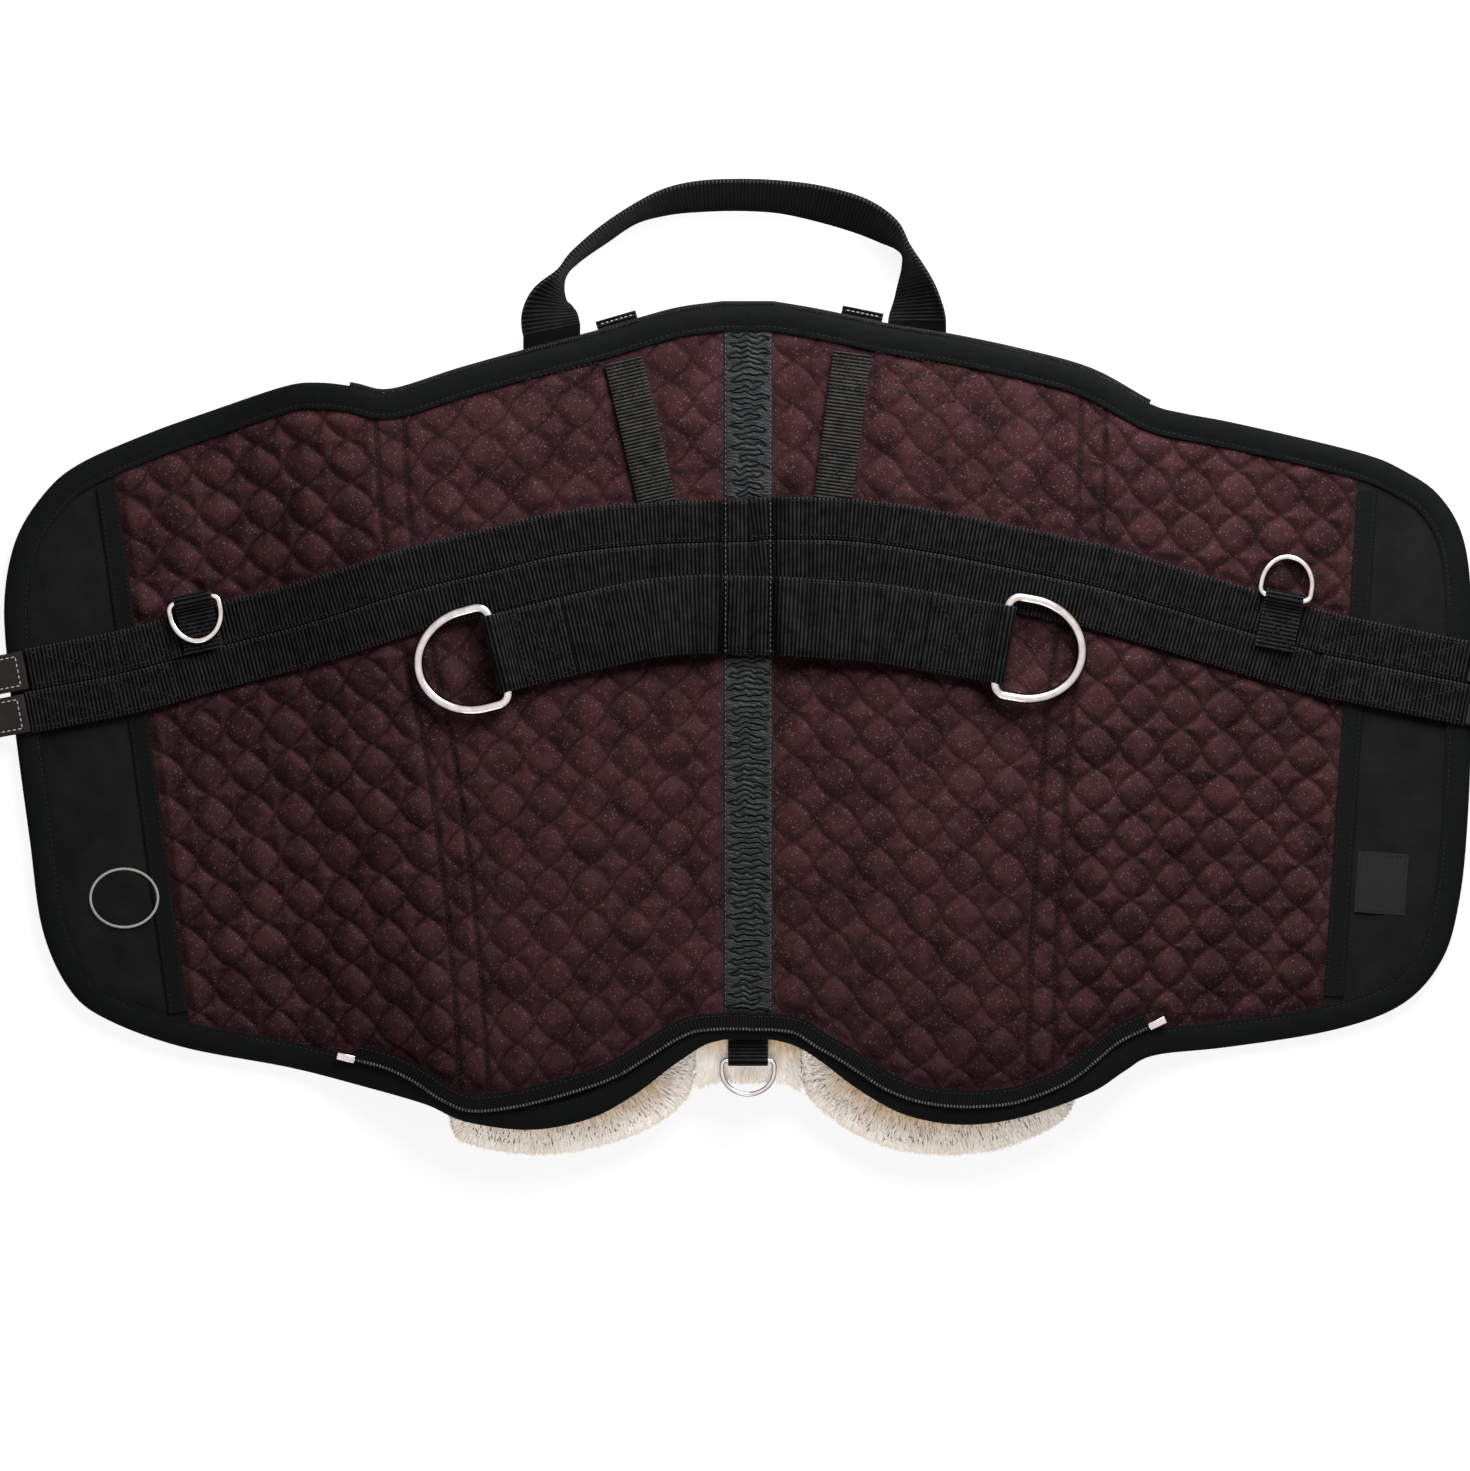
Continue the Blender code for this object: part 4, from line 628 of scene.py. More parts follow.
def cushion(outline, rings, levels, centre, power):
    """A closed pad inside an outline of the plan, crowned above and below, joined at its rim."""
    ahead = np.roll(outline, -1, axis=0)
    if (outline[:, 0] * ahead[:, 1] - ahead[:, 0] * outline[:, 1]).sum() < 0:
        outline = outline[::-1]
    centre = np.asarray(centre)
    count = len(outline)
    top, bottom = [], []
    for share in 1 - (1 - np.linspace(0, 1, rings + 1)) ** 1.6:
        ring_line = centre + share * ((outline if share else outline[:1]) - centre)
        bulge = (1 - share**power) ** (1 / power) if share < 1 else 0
        low, high = levels(ring_line[:, 0], ring_line[:, 1])
        for layer, sign in ((top, 1), (bottom, -1)):
            layer.append(np.column_stack([ring_line, (low + high) / 2 + sign * (high - low) / 2 * bulge]))
    upper = 1 + np.arange(rings * count).reshape(rings, count)
    base = 1 + rings * count
    lower = np.vstack([base + 1 + np.arange((rings - 1) * count).reshape(rings - 1, count), upper[-1:]])
    faces = []
    for layer, tip, way in ((upper, 0, 1), (lower, base, -1)):
        turned = np.roll(layer, -1, axis=1)
        quads = np.stack([layer[:-1], layer[1:], turned[1:], turned[:-1]], -1).reshape(-1, 4)
        fan = np.stack([np.full(count, tip), layer[0], turned[0]], -1)
        faces += quads[:, ::way].tolist() + fan[:, ::way].tolist()
    return np.vstack([*top, *bottom[:-1]]), faces


def repeated(unit_mesh, places, along, up, sizes=None):
    """Copies of a small mesh, each with its own place, its X along one way and its Z up another."""
    points, faces = unit_mesh
    along = unit(along)
    side = unit(np.cross(up, along))
    up = np.cross(along, side)
    scaled = points[None] * (1 if sizes is None else sizes[:, None, None])
    made = (places[:, None] + scaled[..., :1] * along[:, None] + scaled[..., 1:2] * side[:, None]
            + scaled[..., 2:] * up[:, None])
    starts = np.arange(len(places))[:, None] * len(points)
    return made.reshape(-1, 3), [row for face in faces for row in (np.asarray(face) + starts).tolist()]


# Small modelling steps with Blender's own tools

def start_object():
    if bpy.context.object is not None and bpy.context.object.mode != "OBJECT":
        bpy.ops.object.mode_set(mode="OBJECT")
    bpy.ops.object.select_all(action="DESELECT")


def apply_modifier(piece, kind, **settings):
    bpy.ops.object.select_all(action="DESELECT")
    piece.select_set(True)
    bpy.context.view_layer.objects.active = piece
    made = piece.modifiers.new(kind.title(), kind)
    for name, value in settings.items():
        setattr(made, name, value)
    bpy.ops.object.modifier_apply(modifier=made.name)


def cut(piece, tool):
    """Takes a tool's shape out of a piece, and the tool away."""
    apply_modifier(piece, "BOOLEAN", operation="DIFFERENCE", object=tool, solver="EXACT")
    bpy.data.objects.remove(tool)


def put(piece, places):
    """Moves a piece's points to their places in the world, facing outwards."""
    piece.data.vertices.foreach_set("co", np.asarray(places).ravel())
    piece.data.update()
    if signed_volume(piece.data) < 0:
        piece.data.flip_normals()


def arrays_of(piece):
    points, faces = points_of(piece.data), [list(p.vertices) for p in piece.data.polygons]
    bpy.data.objects.remove(piece)
    return points, faces


def start_editing():
    bpy.ops.object.mode_set(mode="EDIT")
    bpy.ops.mesh.select_all(action="SELECT")
    return bpy.context.object


def block(size, bevel, segments):
    """A block round the origin, with its edges rounded."""
    start_object()
    bpy.ops.mesh.primitive_cube_add(size=1)
    piece = start_editing()
    bpy.ops.transform.resize(value=size, center_override=(0, 0, 0))
    bpy.ops.mesh.bevel(offset=bevel, segments=segments, affect="EDGES")
    bpy.ops.object.mode_set(mode="OBJECT")
    return piece


def thread_unit(length, width, height):
    """One stitch: a short length of thread that goes down at both ends."""
    start_object()
    bpy.ops.mesh.primitive_uv_sphere_add(segments=6, ring_count=4, radius=0.5)
    piece = start_editing()
    bpy.ops.transform.rotate(value=math.pi / 2, orient_axis="Y", center_override=(0, 0, 0))
    bpy.ops.transform.resize(value=(length, width, height), center_override=(0, 0, 0))
    bpy.ops.object.mode_set(mode="OBJECT")
    return arrays_of(piece)


# Finishes

def add_node(tree, kind, inputs=None, **settings):
    """A node with its settings, whose inputs are values or other nodes' outputs."""
    made = tree.nodes.new(kind)
    for name, value in settings.items():
        setattr(made, name, value)
    for socket, value in (inputs or {}).items():
        if isinstance(value, bpy.types.NodeSocket):
            tree.links.new(value, made.inputs[socket])
        else:
            made.inputs[socket].default_value = value
    return made


class Look:
    """A material while it is drawn. All its sizes are in metres."""

    def __init__(self, name, roughness, gloss, metal):
        self.made = bpy.data.materials.new(name)
        self.made.use_nodes = True
        self.tree = self.made.node_tree
        self.shader = self.tree.nodes["Principled BSDF"]
        for socket, value in (("Roughness", roughness), ("Specular IOR Level", gloss), ("Metallic", metal)):
            self.shader.inputs[socket].default_value = value
        self.relief = {}

    @cached_property
    def place(self):
        return self.node("ShaderNodeTexCoord").outputs["Object"]

    def node(self, kind, inputs=None, **settings):
        return add_node(self.tree, kind, inputs, **settings)

    def read(self, name, output="Fac"):
        """What the mesh says at each point."""
        return self.node("ShaderNodeAttribute", attribute_name=name).outputs[output]

    def parts(self, vector):
        return self.node("ShaderNodeSeparateXYZ", {"Vector": vector}).outputs

    def maths(self, first, second, operation="MULTIPLY"):
        return self.node("ShaderNodeMath", {0: first, 1: second}, operation=operation).outputs[0]

    def ranged(self, value, low, high, new_low=0, new_high=1):
        inputs = {"Value": value, "From Min": low, "From Max": high, "To Min": new_low, "To Max": new_high}
        return self.node("ShaderNodeMapRange", inputs).outputs["Result"]

    def noise(self, size, detail=3, vector=None):
        """Soft noise whose blots are about this size."""
        vector = self.place if vector is None else vector
        inputs = {"Vector": vector, "Scale": 1 / size, "Detail": detail, "Roughness": 0.55}
        return self.node("ShaderNodeTexNoise", inputs).outputs["Fac"]

    def waves(self, vector, period, direction="X"):
        """Parallel ridges, square to one of the vector's axes."""
        inputs = {"Vector": vector, "Scale": math.pi / 10 / period}
        return self.node("ShaderNodeTexWave", inputs, bands_direction=direction).outputs["Fac"]

    def cells(self, size, **settings):
        inputs = {"Vector": self.place, "Scale": 1 / size}
        return self.node("ShaderNodeTexVoronoi", inputs, **settings).outputs

    def mixed(self, share, low, high):
        """Two colours mixed, each a hex code or a colour already made."""
        low, high = (linear(tone) if isinstance(tone, str) else tone for tone in (low, high))
        return self.node("ShaderNodeMix", {0: share, 6: low, 7: high}, data_type="RGBA").outputs[2]

    def clouds(self, size, detail, low, high, dark, light):
        return self.mixed(self.ranged(self.noise(size, detail), low, high), dark, light)

    def paint(self, value, socket="Base Color"):
        self.tree.links.new(value, self.shader.inputs[socket])

    def bump(self, height, distance, strength):
        """Relief, on top of any that was added before."""
        inputs = {"Height": height, "Distance": distance, "Strength": strength, **self.relief}
        self.relief = {"Normal": self.node("ShaderNodeBump", inputs).outputs["Normal"]}
        self.paint(self.relief["Normal"], "Normal")


FINISHES = {}


def finish(roughness, gloss=0.5, metal=0.0):
    """Keeps the function under it as the one that draws the material of its name."""
    def keep(draw):
        FINISHES[draw.__name__] = (draw, roughness, gloss, metal)
        return draw
    return keep


@lru_cache(maxsize=None)
def material(name):
    draw, *values = FINISHES[name]
    look = Look(name, *values)
    draw(look)
    return look.made


@finish(0.8, 0.02)
def brushed_quilt_cloth(look):
    """Brushed polyester, napped on the face: flecked in three tones, matt, with painted shade and its dark thread
    in the stitching.
    """
    tones = colours()
    base = look.clouds(22 * MM, 3, 0.35, 0.65, tones.quilt_dark, tones.quilt)
    # A glitter yarn shows as sparse specks: about 0.3 mm in the cloth, drawn at 0.7 mm so that they show
    chance = look.node("ShaderNodeSeparateColor", {"Color": look.cells(0.7 * MM)["Color"]}).outputs
    base = look.mixed(look.ranged(chance["Red"], 0.93, 1, 0, 0.5), base, tones.quilt_fleck)
    base = look.mixed(look.ranged(chance["Green"], 0.6, 1, 0, 0.45), base, tones.quilt_dark)
    # Painted shade in the stitched valleys and along the seat's seam, which also stands for the dark thread there
    look.paint(look.mixed(look.ranged(look.read("valley"), 0, 0.9, 0.8, 0), base, "#150c0c"))
    look.bump(look.noise(0.9 * MM, 2), 0.2 * MM, 0.5)
    look.bump(look.noise(7 * MM), 1.4 * MM, 0.5)


@finish(0.8, 0.02)
def brushed_panel_cloth(look):
    """Black brushed polyester: a close plain knit with a slight nap, with broad lighter patches at random, a
    painted sheen that stands for the shine of its wrinkles.
    """
    # Broad lighter patches at random: painted sheen for the shine of its wrinkles
    base = look.clouds(30 * MM, 4, 0.3, 0.7, colours().cloth, "#232222")
    # The knit is really about 0.5 mm a loop, drawn at 1 mm so that it shows
    knit = look.maths(look.waves(look.place, 1 * MM), look.waves(look.place, 1 * MM, "Y"))
    look.paint(look.mixed(look.ranged(knit, 0, 1, 0, 0.3), base, "#2a2929"))
    look.bump(knit, 0.2 * MM, 0.5)
    look.bump(look.noise(3 * MM), 0.6 * MM, 0.4)


@finish(0.55, 0.03)
def binding_tape(look):
    """Folded polyester bias tape: smooth and close woven, with a dull gloss on its fold."""
    # Threads at 0.6 mm are drawn at 0.9 mm so that they show
    threads = look.waves(look.read("cloth", "Vector"), 0.9 * MM)
    look.paint(look.mixed(look.ranged(threads, 0, 1, 0, 0.6), "#121313", "#171818"))
    look.bump(threads, 0.15 * MM, 0.5)
    look.bump(look.noise(6 * MM), 0.8 * MM, 0.45)


def draw_webbing(look, dark, light, period, edge_width):
    """Ribs across the web's length, with painted highlight on their tops and painted shade between them, looped
    selvedges, and painted shade in the gathers.
    """
    cloth = look.read("cloth", "Vector")
    ribs = look.waves(cloth, period)
    # Rib tops pale and grooves dark, with random tone from the noise: painted highlight and painted shade
    base = look.mixed(look.ranged(look.maths(ribs, look.noise(7 * MM, 4)), 0.08, 0.6), dark, light)
    loops = look.maths(look.ranged(look.parts(cloth)["Z"], edge_width, edge_width * 0.4), ribs)
    base = look.mixed(look.ranged(loops, 0, 1, 0, 0.55), base, "#454443")
    # Painted shade in the crease beside the spine's stitches and in the gathers
    look.paint(look.mixed(look.ranged(look.read("sunk"), 0, 1, 0, 0.9), base, "#020202"))
    look.bump(ribs, 0.45 * MM, 0.9)
    look.bump(look.waves(cloth, period * 0.6, "Y"), 0.2 * MM, 0.4)


@finish(0.5, 0.02)
def woven_webbing(look):
    """Polypropylene webbing, woven in ribs, with a plastic gloss."""
    draw_webbing(look, colours().webbing, colours().webbing_rib_highlight, 2.63 * MM, 1.6 * MM)


@finish(0.5, 0.02)
def woven_strap(look):
    """Polypropylene webbing of the short straps, woven closer, with stronger painted highlight on its ribs."""
    draw_webbing(look, "#070707", "#4d4b48", 2.3 * MM, 1.2 * MM)


@finish(0.5, 0.02)
def woven_handle(look):
    """Polypropylene webbing of the handle, woven thick, with faint painted highlight on its ribs."""
    draw_webbing(look, "#0a0a0a", "#262526", 2.4 * MM, 1.4 * MM)


@finish(0.4, 0.1)
def shirred_satin(look):
    """Satin shirred on elastic: a long-float weave that shines along its pleats."""
    base = look.clouds(9 * MM, 3, 0.3, 0.7, "#242526", colours().satin)
    # Painted shade in the valleys between the pleats and along the stitched edges
    look.paint(look.mixed(look.ranged(look.read("valley"), 0, 0.75, 0.92, 0), base, "#070808"))
    look.bump(look.waves(look.place, 0.8 * MM, "Y"), 0.08 * MM, 0.4)


@finish(0.95, 0.1)
def sheared_wool(look):
    """Lambskin wool, washed and combed: creamy tips over tan roots, tan too as painted shadow deep under the pad's
    edge, soft and quite without gloss.
    """
    comb, tan = look.read("comb", "Vector"), colours().wool_root_and_shade
    drawn = look.node("ShaderNodeVectorMath", {0: comb, 1: (1, 0.14, 0.4)}, operation="MULTIPLY").outputs[0]
    streak = look.noise(1.6 * MM, 3, drawn)
    # Deep under the pad's edge and high on the wool it turns tan: partly its roots, partly painted shadow of the
    # pad's edge over it
    depth = look.ranged(look.parts(comb)["Y"], 12 * MM, 25 * MM, 0, 0.85)
    inner = look.maths(depth, look.ranged(look.parts(comb)["Z"], 6 * MM, 12 * MM))
    uneven = look.maths(look.ranged(look.noise(18 * MM), 0.35, 0.7, 0, 0.35), inner, "ADD")
    base = look.mixed(look.maths(uneven, look.ranged(streak, 0.35, 0.65, 0.5, 1)), colours().wool, tan)
    look.paint(look.mixed(look.ranged(look.read("tip"), 0, 1, 0.22, 0), base, tan))
    look.bump(streak, 0.8 * MM, 0.5)


@finish(0.14, metal=1.0)
def plated_nickel(look):
    """Steel wire, polished and nickel plated: mirror bright with faint scratches."""
    base = look.clouds(6 * MM, 3, 0.3, 0.7, "#cfc4c1", colours().nickel)
    # Darker towards its edges, where the surface turns from the camera: painted reflection of the dark pad
    edge = look.node("ShaderNodeLayerWeight", {"Blend": 0.5}).outputs["Facing"]
    look.paint(look.mixed(look.ranged(edge, 0.03, 0.4, 0, 0.9), base, "#443f3d"))
    look.paint(look.ranged(look.noise(2.5 * MM, 5), 0.3, 0.7, 0.1, 0.24), "Roughness")
    look.bump(look.noise(0.8 * MM), 0.03 * MM, 0.5)


@finish(0.45, 0.15)
def bridle_leather(look):
    """Cowhide, drum dyed and waxed: a fine grain with a soft shine, paler in soft patches."""
    look.paint(look.clouds(12 * MM, 4, 0.35, 0.7, colours().leather, "#2b2725"))
    look.paint(look.ranged(look.noise(4 * MM), 0.3, 0.7, 0.36, 0.56), "Roughness")
    grain = look.cells(1.1 * MM, feature="DISTANCE_TO_EDGE")["Distance"]
    look.bump(look.ranged(grain, 0, 0.15), 0.15 * MM, 0.5)


@finish(0.35, 0.2)
def coil_nylon(look):
    """Nylon zip teeth, moulded, on a black cord: the teeth's grey, paler in soft patches, is partly their own
    colour and partly painted highlight on their tops.
    """
    wear = look.noise(3 * MM, 2)
    pale = look.mixed(look.ranged(wear, 0.35, 0.65), "#4c4c4b", "#8c8b89")
    look.paint(look.mixed(look.read("tooth"), "#080808", pale))
    look.bump(wear, 0.1 * MM, 0.4)


@finish(0.7, 0.03)
def zip_tape_cloth(look):
    """Woven polyester zip tape: a close herringbone, flat black."""
    # The herringbone is really 0.5 mm, drawn at 1 mm so that it shows
    threads = look.waves(look.read("cloth", "Vector"), 1 * MM, "DIAGONAL")
    look.paint(look.mixed(look.ranged(threads, 0, 1, 0, 0.7), "#0e0d0d", "#232121"))
    look.bump(threads, 0.15 * MM, 0.5)


def draw_thread(look, colour):
    """A two-ply twist, with fine blots of painted shade for the grooves between its plies."""
    plies = look.noise(0.5 * MM, 2)
    dark = (*[share * 0.7 for share in colour[:3]], 1)
    look.paint(look.mixed(look.ranged(plies, 0.3, 0.7), dark, colour))
    look.bump(plies, 0.1 * MM, 0.5)


@finish(0.6, 0.1)
def dark_thread(look):
    """Spun polyester sewing thread, dyed black, half matt."""
    draw_thread(look, colours().thread)


@finish(0.6, 0.1)
def grey_thread(look):
    """Spun polyester sewing thread, black and dusty, half matt."""
    draw_thread(look, colours().light_thread)


@finish(0.6, 0.1)
def white_thread(look):
    """Spun polyester sewing thread, undyed, half matt."""
    draw_thread(look, colours().white_thread)


@finish(0.9)
def pressed_foam(look):
    """Bonded polyurethane foam: an open sponge of pale chips."""
    look.paint(look.mixed(look.ranged(look.cells(4 * MM)["Distance"], 0, 0.6), "#b9b6a8", "#d9d6c8"))
    look.bump(look.noise(1.2 * MM), 0.5 * MM, 0.6)


@finish(0.5, 0.15)
def damask_label(look):
    """Damask-woven label: fine satin ground, plain and unlettered, with a slight gloss."""
    # The weave is really 0.3 mm, drawn at 0.9 mm so that it shows
    threads = look.waves(look.place, 0.9 * MM, "DIAGONAL")
    look.paint(look.mixed(look.ranged(threads, 0, 1, 0, 0.8), "#121213", "#2a2a2c"))
    look.bump(threads, 0.12 * MM, 0.5)


# Stitching, gathered for each side and thread and made at the end

STITCHES = {}


def sew(side, thread, line, height, blended=False, pitch=None, length=None, across=False):
    """Adds stitches along a line of the plan, or across it, at a height over the table for each point."""
    pitch = pitch or shape().stitch_pitch
    total = lengths(line)[-1]
    count = max(1, int(total / pitch))
    places = (np.arange(count) + 0.5) * total / count
    centre, before, after = (at_length(line, places + step) for step in (0, -pitch / 3, pitch / 3))
    along = np.column_stack([after - before, height(*after.T) - height(*before.T)])
    if across:
        along = np.column_stack([-along[:, 1], along[:, 0], np.zeros(count)])
    row = (np.column_stack([centre, height(*centre.T)]), along, np.full(count, length or shape().stitch_length))
    STITCHES.setdefault((side, thread, blended), []).append(row)


def over(level, middle=False):
    """A height for stitches: a level over the sheet's own rise."""
    return lambda x, y: level + lift(x, y) - (middle_drop(x) if middle else 0)


def sew_box(side, line, start, end, half, level):
    """A box of stitching across a strap, with its two diagonals."""
    ways = left_of(line)
    run = lengths(line)
    box = [(start, -half), (end, -half), (end, half), (start, half), (start, -half)]
    for row in (box, [(start, -half), (end, half)], [(start, half), (end, -half)]):
        along, across = evenly(np.array(row), 3 * MM).T
        way = np.stack([np.interp(along, run, column) for column in ways.T], -1)
        sew(side, "dark_thread", at_length(line, along) + across[:, None] * way, over(level))


# Quilted panels

def mapped_columns(side, inset, inner, rows, columns, outer):
    """A grid in plan from the fold to the join, with straight columns from front edge to rear edge."""
    parts = edge_parts(shifted(OUTLINES[side], -SIDES[side] * inset))
    share = np.linspace(0, 1, columns)

    def across(y):
        return inner + share * (outer(y) - inner)

    ends = []
    for front, start in ((True, 0.8), (False, -0.9)):
        y = np.full(columns, start * HALF_DEPTH)
        for _ in range(14):
            y = np.interp(across(y), np.abs(parts[front][:, 0]), parts[front][:, 1])
        ends.append(y)
    y = ends[0] + np.linspace(0, 1, rows)[:, None] * (ends[1] - ends[0])
    return SIDES[side] * across(y), y


def near_shares(x, y, holders):
    """How free the sheet is at each point, from 0 where a sewn-on piece holds it down to 1."""
    free = np.ones(x.shape)
    for line, hold, fade in holders:
        free *= smoothstep((distance_to(x, y, line).reshape(x.shape) - hold) / fade)
    return free


def tuft_distance(side, x, y):
    """How far points are from the stitching round the tufts: a lattice of bowed lines that leans with the join."""
    join, pitch, bulge = JOINS[side], shape().tuft_pitch, shape().tuft_bulge
    middle = float(across_at(join, 0.0))

    def lattice(px, py):
        return (px - FOLD_X) * (middle - FOLD_X) / (across_at(join, py) - FOLD_X), py + 0.045 * px

    first, second = lattice(np.abs(x), y)
    first_centre, second_centre = lattice(*np.array(TUFT_CENTRES[side]) * MM)
    wander = 0.9 * MM * ripple(x, y, 55 * MM, 7 + SIDES[side])
    a, b = first - first_centre + wander, second - second_centre
    s, t = a + b, a - b
    nearest = np.full(x.shape, pitch)
    for u, v in ((s, t), (t, s)):
        base = np.round(u / pitch - 0.5)
        for n in (base - 1, base, base + 1):
            line = pitch / 2 + n * pitch + np.where(n % 2 == 0, 1, -1) * bulge * np.cos(math.pi * v / pitch)
            slope = bulge * math.pi / pitch * np.sin(math.pi * v / pitch)
            nearest = np.minimum(nearest, np.abs(u - line) / math.sqrt(2) / np.sqrt(1 + slope**2))
    return nearest


def quilt_grid(side, rows=301, columns=241):
    """The quilt's upper and lower grid, and how deep each upper point lies in its stitching, for the cloth's
    painted shade there.
    """
    sign, join = SIDES[side], JOINS[side]
    x, y = mapped_columns(side, 6 * MM, FOLD_X, rows, columns, lambda place: across_at(join, place) + 0.15 * MM)
    nearest = tuft_distance(side, x, y)
    fold = np.array([(sign * FOLD_X, HALF_DEPTH), (sign * FOLD_X, -HALF_DEPTH)])
    free = 0.1 + 0.9 * near_shares(x, y, [
        (OUTLINES[side], BINDING_WIDTH - 1 * MM, 10 * MM),
        (fold, -2 * MM, 14 * MM),
        (join, -1 * MM, 7 * MM),
        (GIRTH_LINES[side], GIRTH_REACH, 9 * MM),
        (STIRRUP_LINES[side], STIRRUP_WEB_WIDTH / 2, 9 * MM),
        (STRAP_LINES[side], STRAP_WIDTH / 2, 9 * MM),
        (REAR_ZIPS[side], ZIP_TAPE_WIDTH, 9 * MM),
    ])
    from_seam = np.abs(x) - across_at(SEAT_SEAMS[side], y)
    seat = 1 - smoothstep(from_seam / (12 * MM))
    height = shape().tuft_height * (1 - (1 - shape().seat_share) * seat)
    relief = free * height * (1 - (1 - np.clip(nearest / shape().tuft_shoulder, 0, 1)) ** 2.4)
    groove = np.min([1 - bell(np.abs(from_seam - offset), 2.2 * MM) for offset in (0, SEAM_APART[side])], axis=0)
    relief *= 0.15 + 0.85 * groove
    relief -= 0.6 * MM * (1 - groove) * free
    drag = 0.45 * MM * ripple(x * 0.6 + y, y - x, 30 * MM, 21 + sign) * free
    level = lift(x, y)
    top = np.stack([x, y, SHEET_TOP - 1 * MM + relief + drag + level], -1)
    # Near 0 in the stitching and along the seat's seam, where the cloth is painted in shade
    valley = np.minimum(1 - np.exp(-nearest / (0.9 * MM)), 0.25 + 0.75 * groove)
    return top, np.stack([x, y, SHEET_BOTTOM + level], -1), valley


def quilt_panel(side):
    top, bottom, valley = quilt_grid(side)
    step = 4
    low = bottom[::step, ::step]
    points, faces = slab(top, low, step)
    piece = new_piece(f"{side}_quilted_panel", points, faces, "brushed_quilt_cloth", None,
                      [f"{side}_quilt_panel"], "quilt", 60, valley=np.append(valley, np.ones(low.shape[:2])))
    fold_with(piece, side)
    for offset in (0, SEAM_APART[side]):
        y = np.linspace(float(top[..., 1].max()), float(top[..., 1].min()), 260)
        x = SIDES[side] * (across_at(SEAT_SEAMS[side], y) + offset)
        tucked = (
            (distance_to(x, y, OUTLINES[side]) > BINDING_WIDTH + 2 * MM) & (y < edge_y(side, np.abs(x), True))
            & (y > edge_y(side, np.abs(x), False)) & (distance_to(x, y, GIRTH_LINES[side]) > BESIDE_GIRTH)
        )
        for part in (tucked & (y > 40 * MM), tucked & (y < 60 * MM)):
            if part.sum() > 3:
                sew(side, "dark_thread", np.column_stack([x, y])[part], over(SHEET_TOP - 0.75 * MM))


# End panels, bindings and seam tapes

def crossing(line, side):
    """The stretch of an outline outside the join, with its ends on the join."""
    gap = np.abs(line[:, 0]) - across_at(JOINS[side], line[:, 1]) - 0.2 * MM
    first, last = np.where(gap > 0)[0][[0, -1]]
    start = line[first - 1] + (line[first] - line[first - 1]) * gap[first - 1] / (gap[first - 1] - gap[first])
    end = line[last] + (line[last + 1] - line[last]) * gap[last] / (gap[last] - gap[last + 1])
    return np.vstack([start, line[first:last + 1], end])


def end_panel(side, rows=180, columns=64):
    sign = SIDES[side]
    rim = crossing(shifted(OUTLINES[side], -sign * 6 * MM), side)
    outer = at_length(rim, np.linspace(0, lengths(rim)[-1], rows + 1))
    inner = outer[0] + np.linspace(0, 1, rows + 1)[:, None] * (outer[-1] - outer[0])
    plan = inner[:, None] + np.linspace(0, 1, columns + 1)[None, :, None] * (outer - inner)[:, None]
    x, y = plan[..., 0], plan[..., 1]
    free = near_shares(x, y, [
        (OUTLINES[side], BINDING_WIDTH - 3 * MM, 16 * MM),
        (JOINS[side], TAPE_WIDTH, 14 * MM),
        (GIRTH_LINES[side], GIRTH_REACH, 12 * MM),
    ])
    folds = ripple(x + 0.5 * y, y * 0.7 - 0.3 * x, 48 * MM, 31 + sign) + 0.5 * ripple(x, y, 22 * MM, 33 + sign)
    level = lift(x, y)
    z = SHEET_TOP - 0.35 * MM + free * shape().cloth_wrinkle * (0.55 + 0.8 * folds) + level
    low = np.stack([x, y, SHEET_BOTTOM + level], -1)[::4, ::4]
    points, faces = slab(np.stack([x, y, z], -1), low, 4)
    piece = new_piece(f"{side}_plain_panel", points, faces, "brushed_panel_cloth", f"{side}_half",
                      [f"{side}_end_panel"], "black_cloth", 60)


# From the inner edge underneath, out round the fold and back, as (inwards, up) pairs in millimetres
BINDING_SECTION = np.array([
    (17, 0.25), (15, 0), (8, 0), (3, 0.1), (1.2, 0.8), (0.2, 2.4), (0, 4), (0.2, 5.6), (1.2, 7.2),
    (3, 7.9), (6, 8.3), (10, 8.35), (13, 8), (14.5, 7.5), (15.7, 7.85), (17, 7.45), (17, 6.6),
    (14.5, 6.55), (10, 6.9), (4, 6.8), (2, 5.5), (1.6, 4), (2, 2.5), (4, 1.3), (10, 1.2), (17, 1.3),
]) * MM


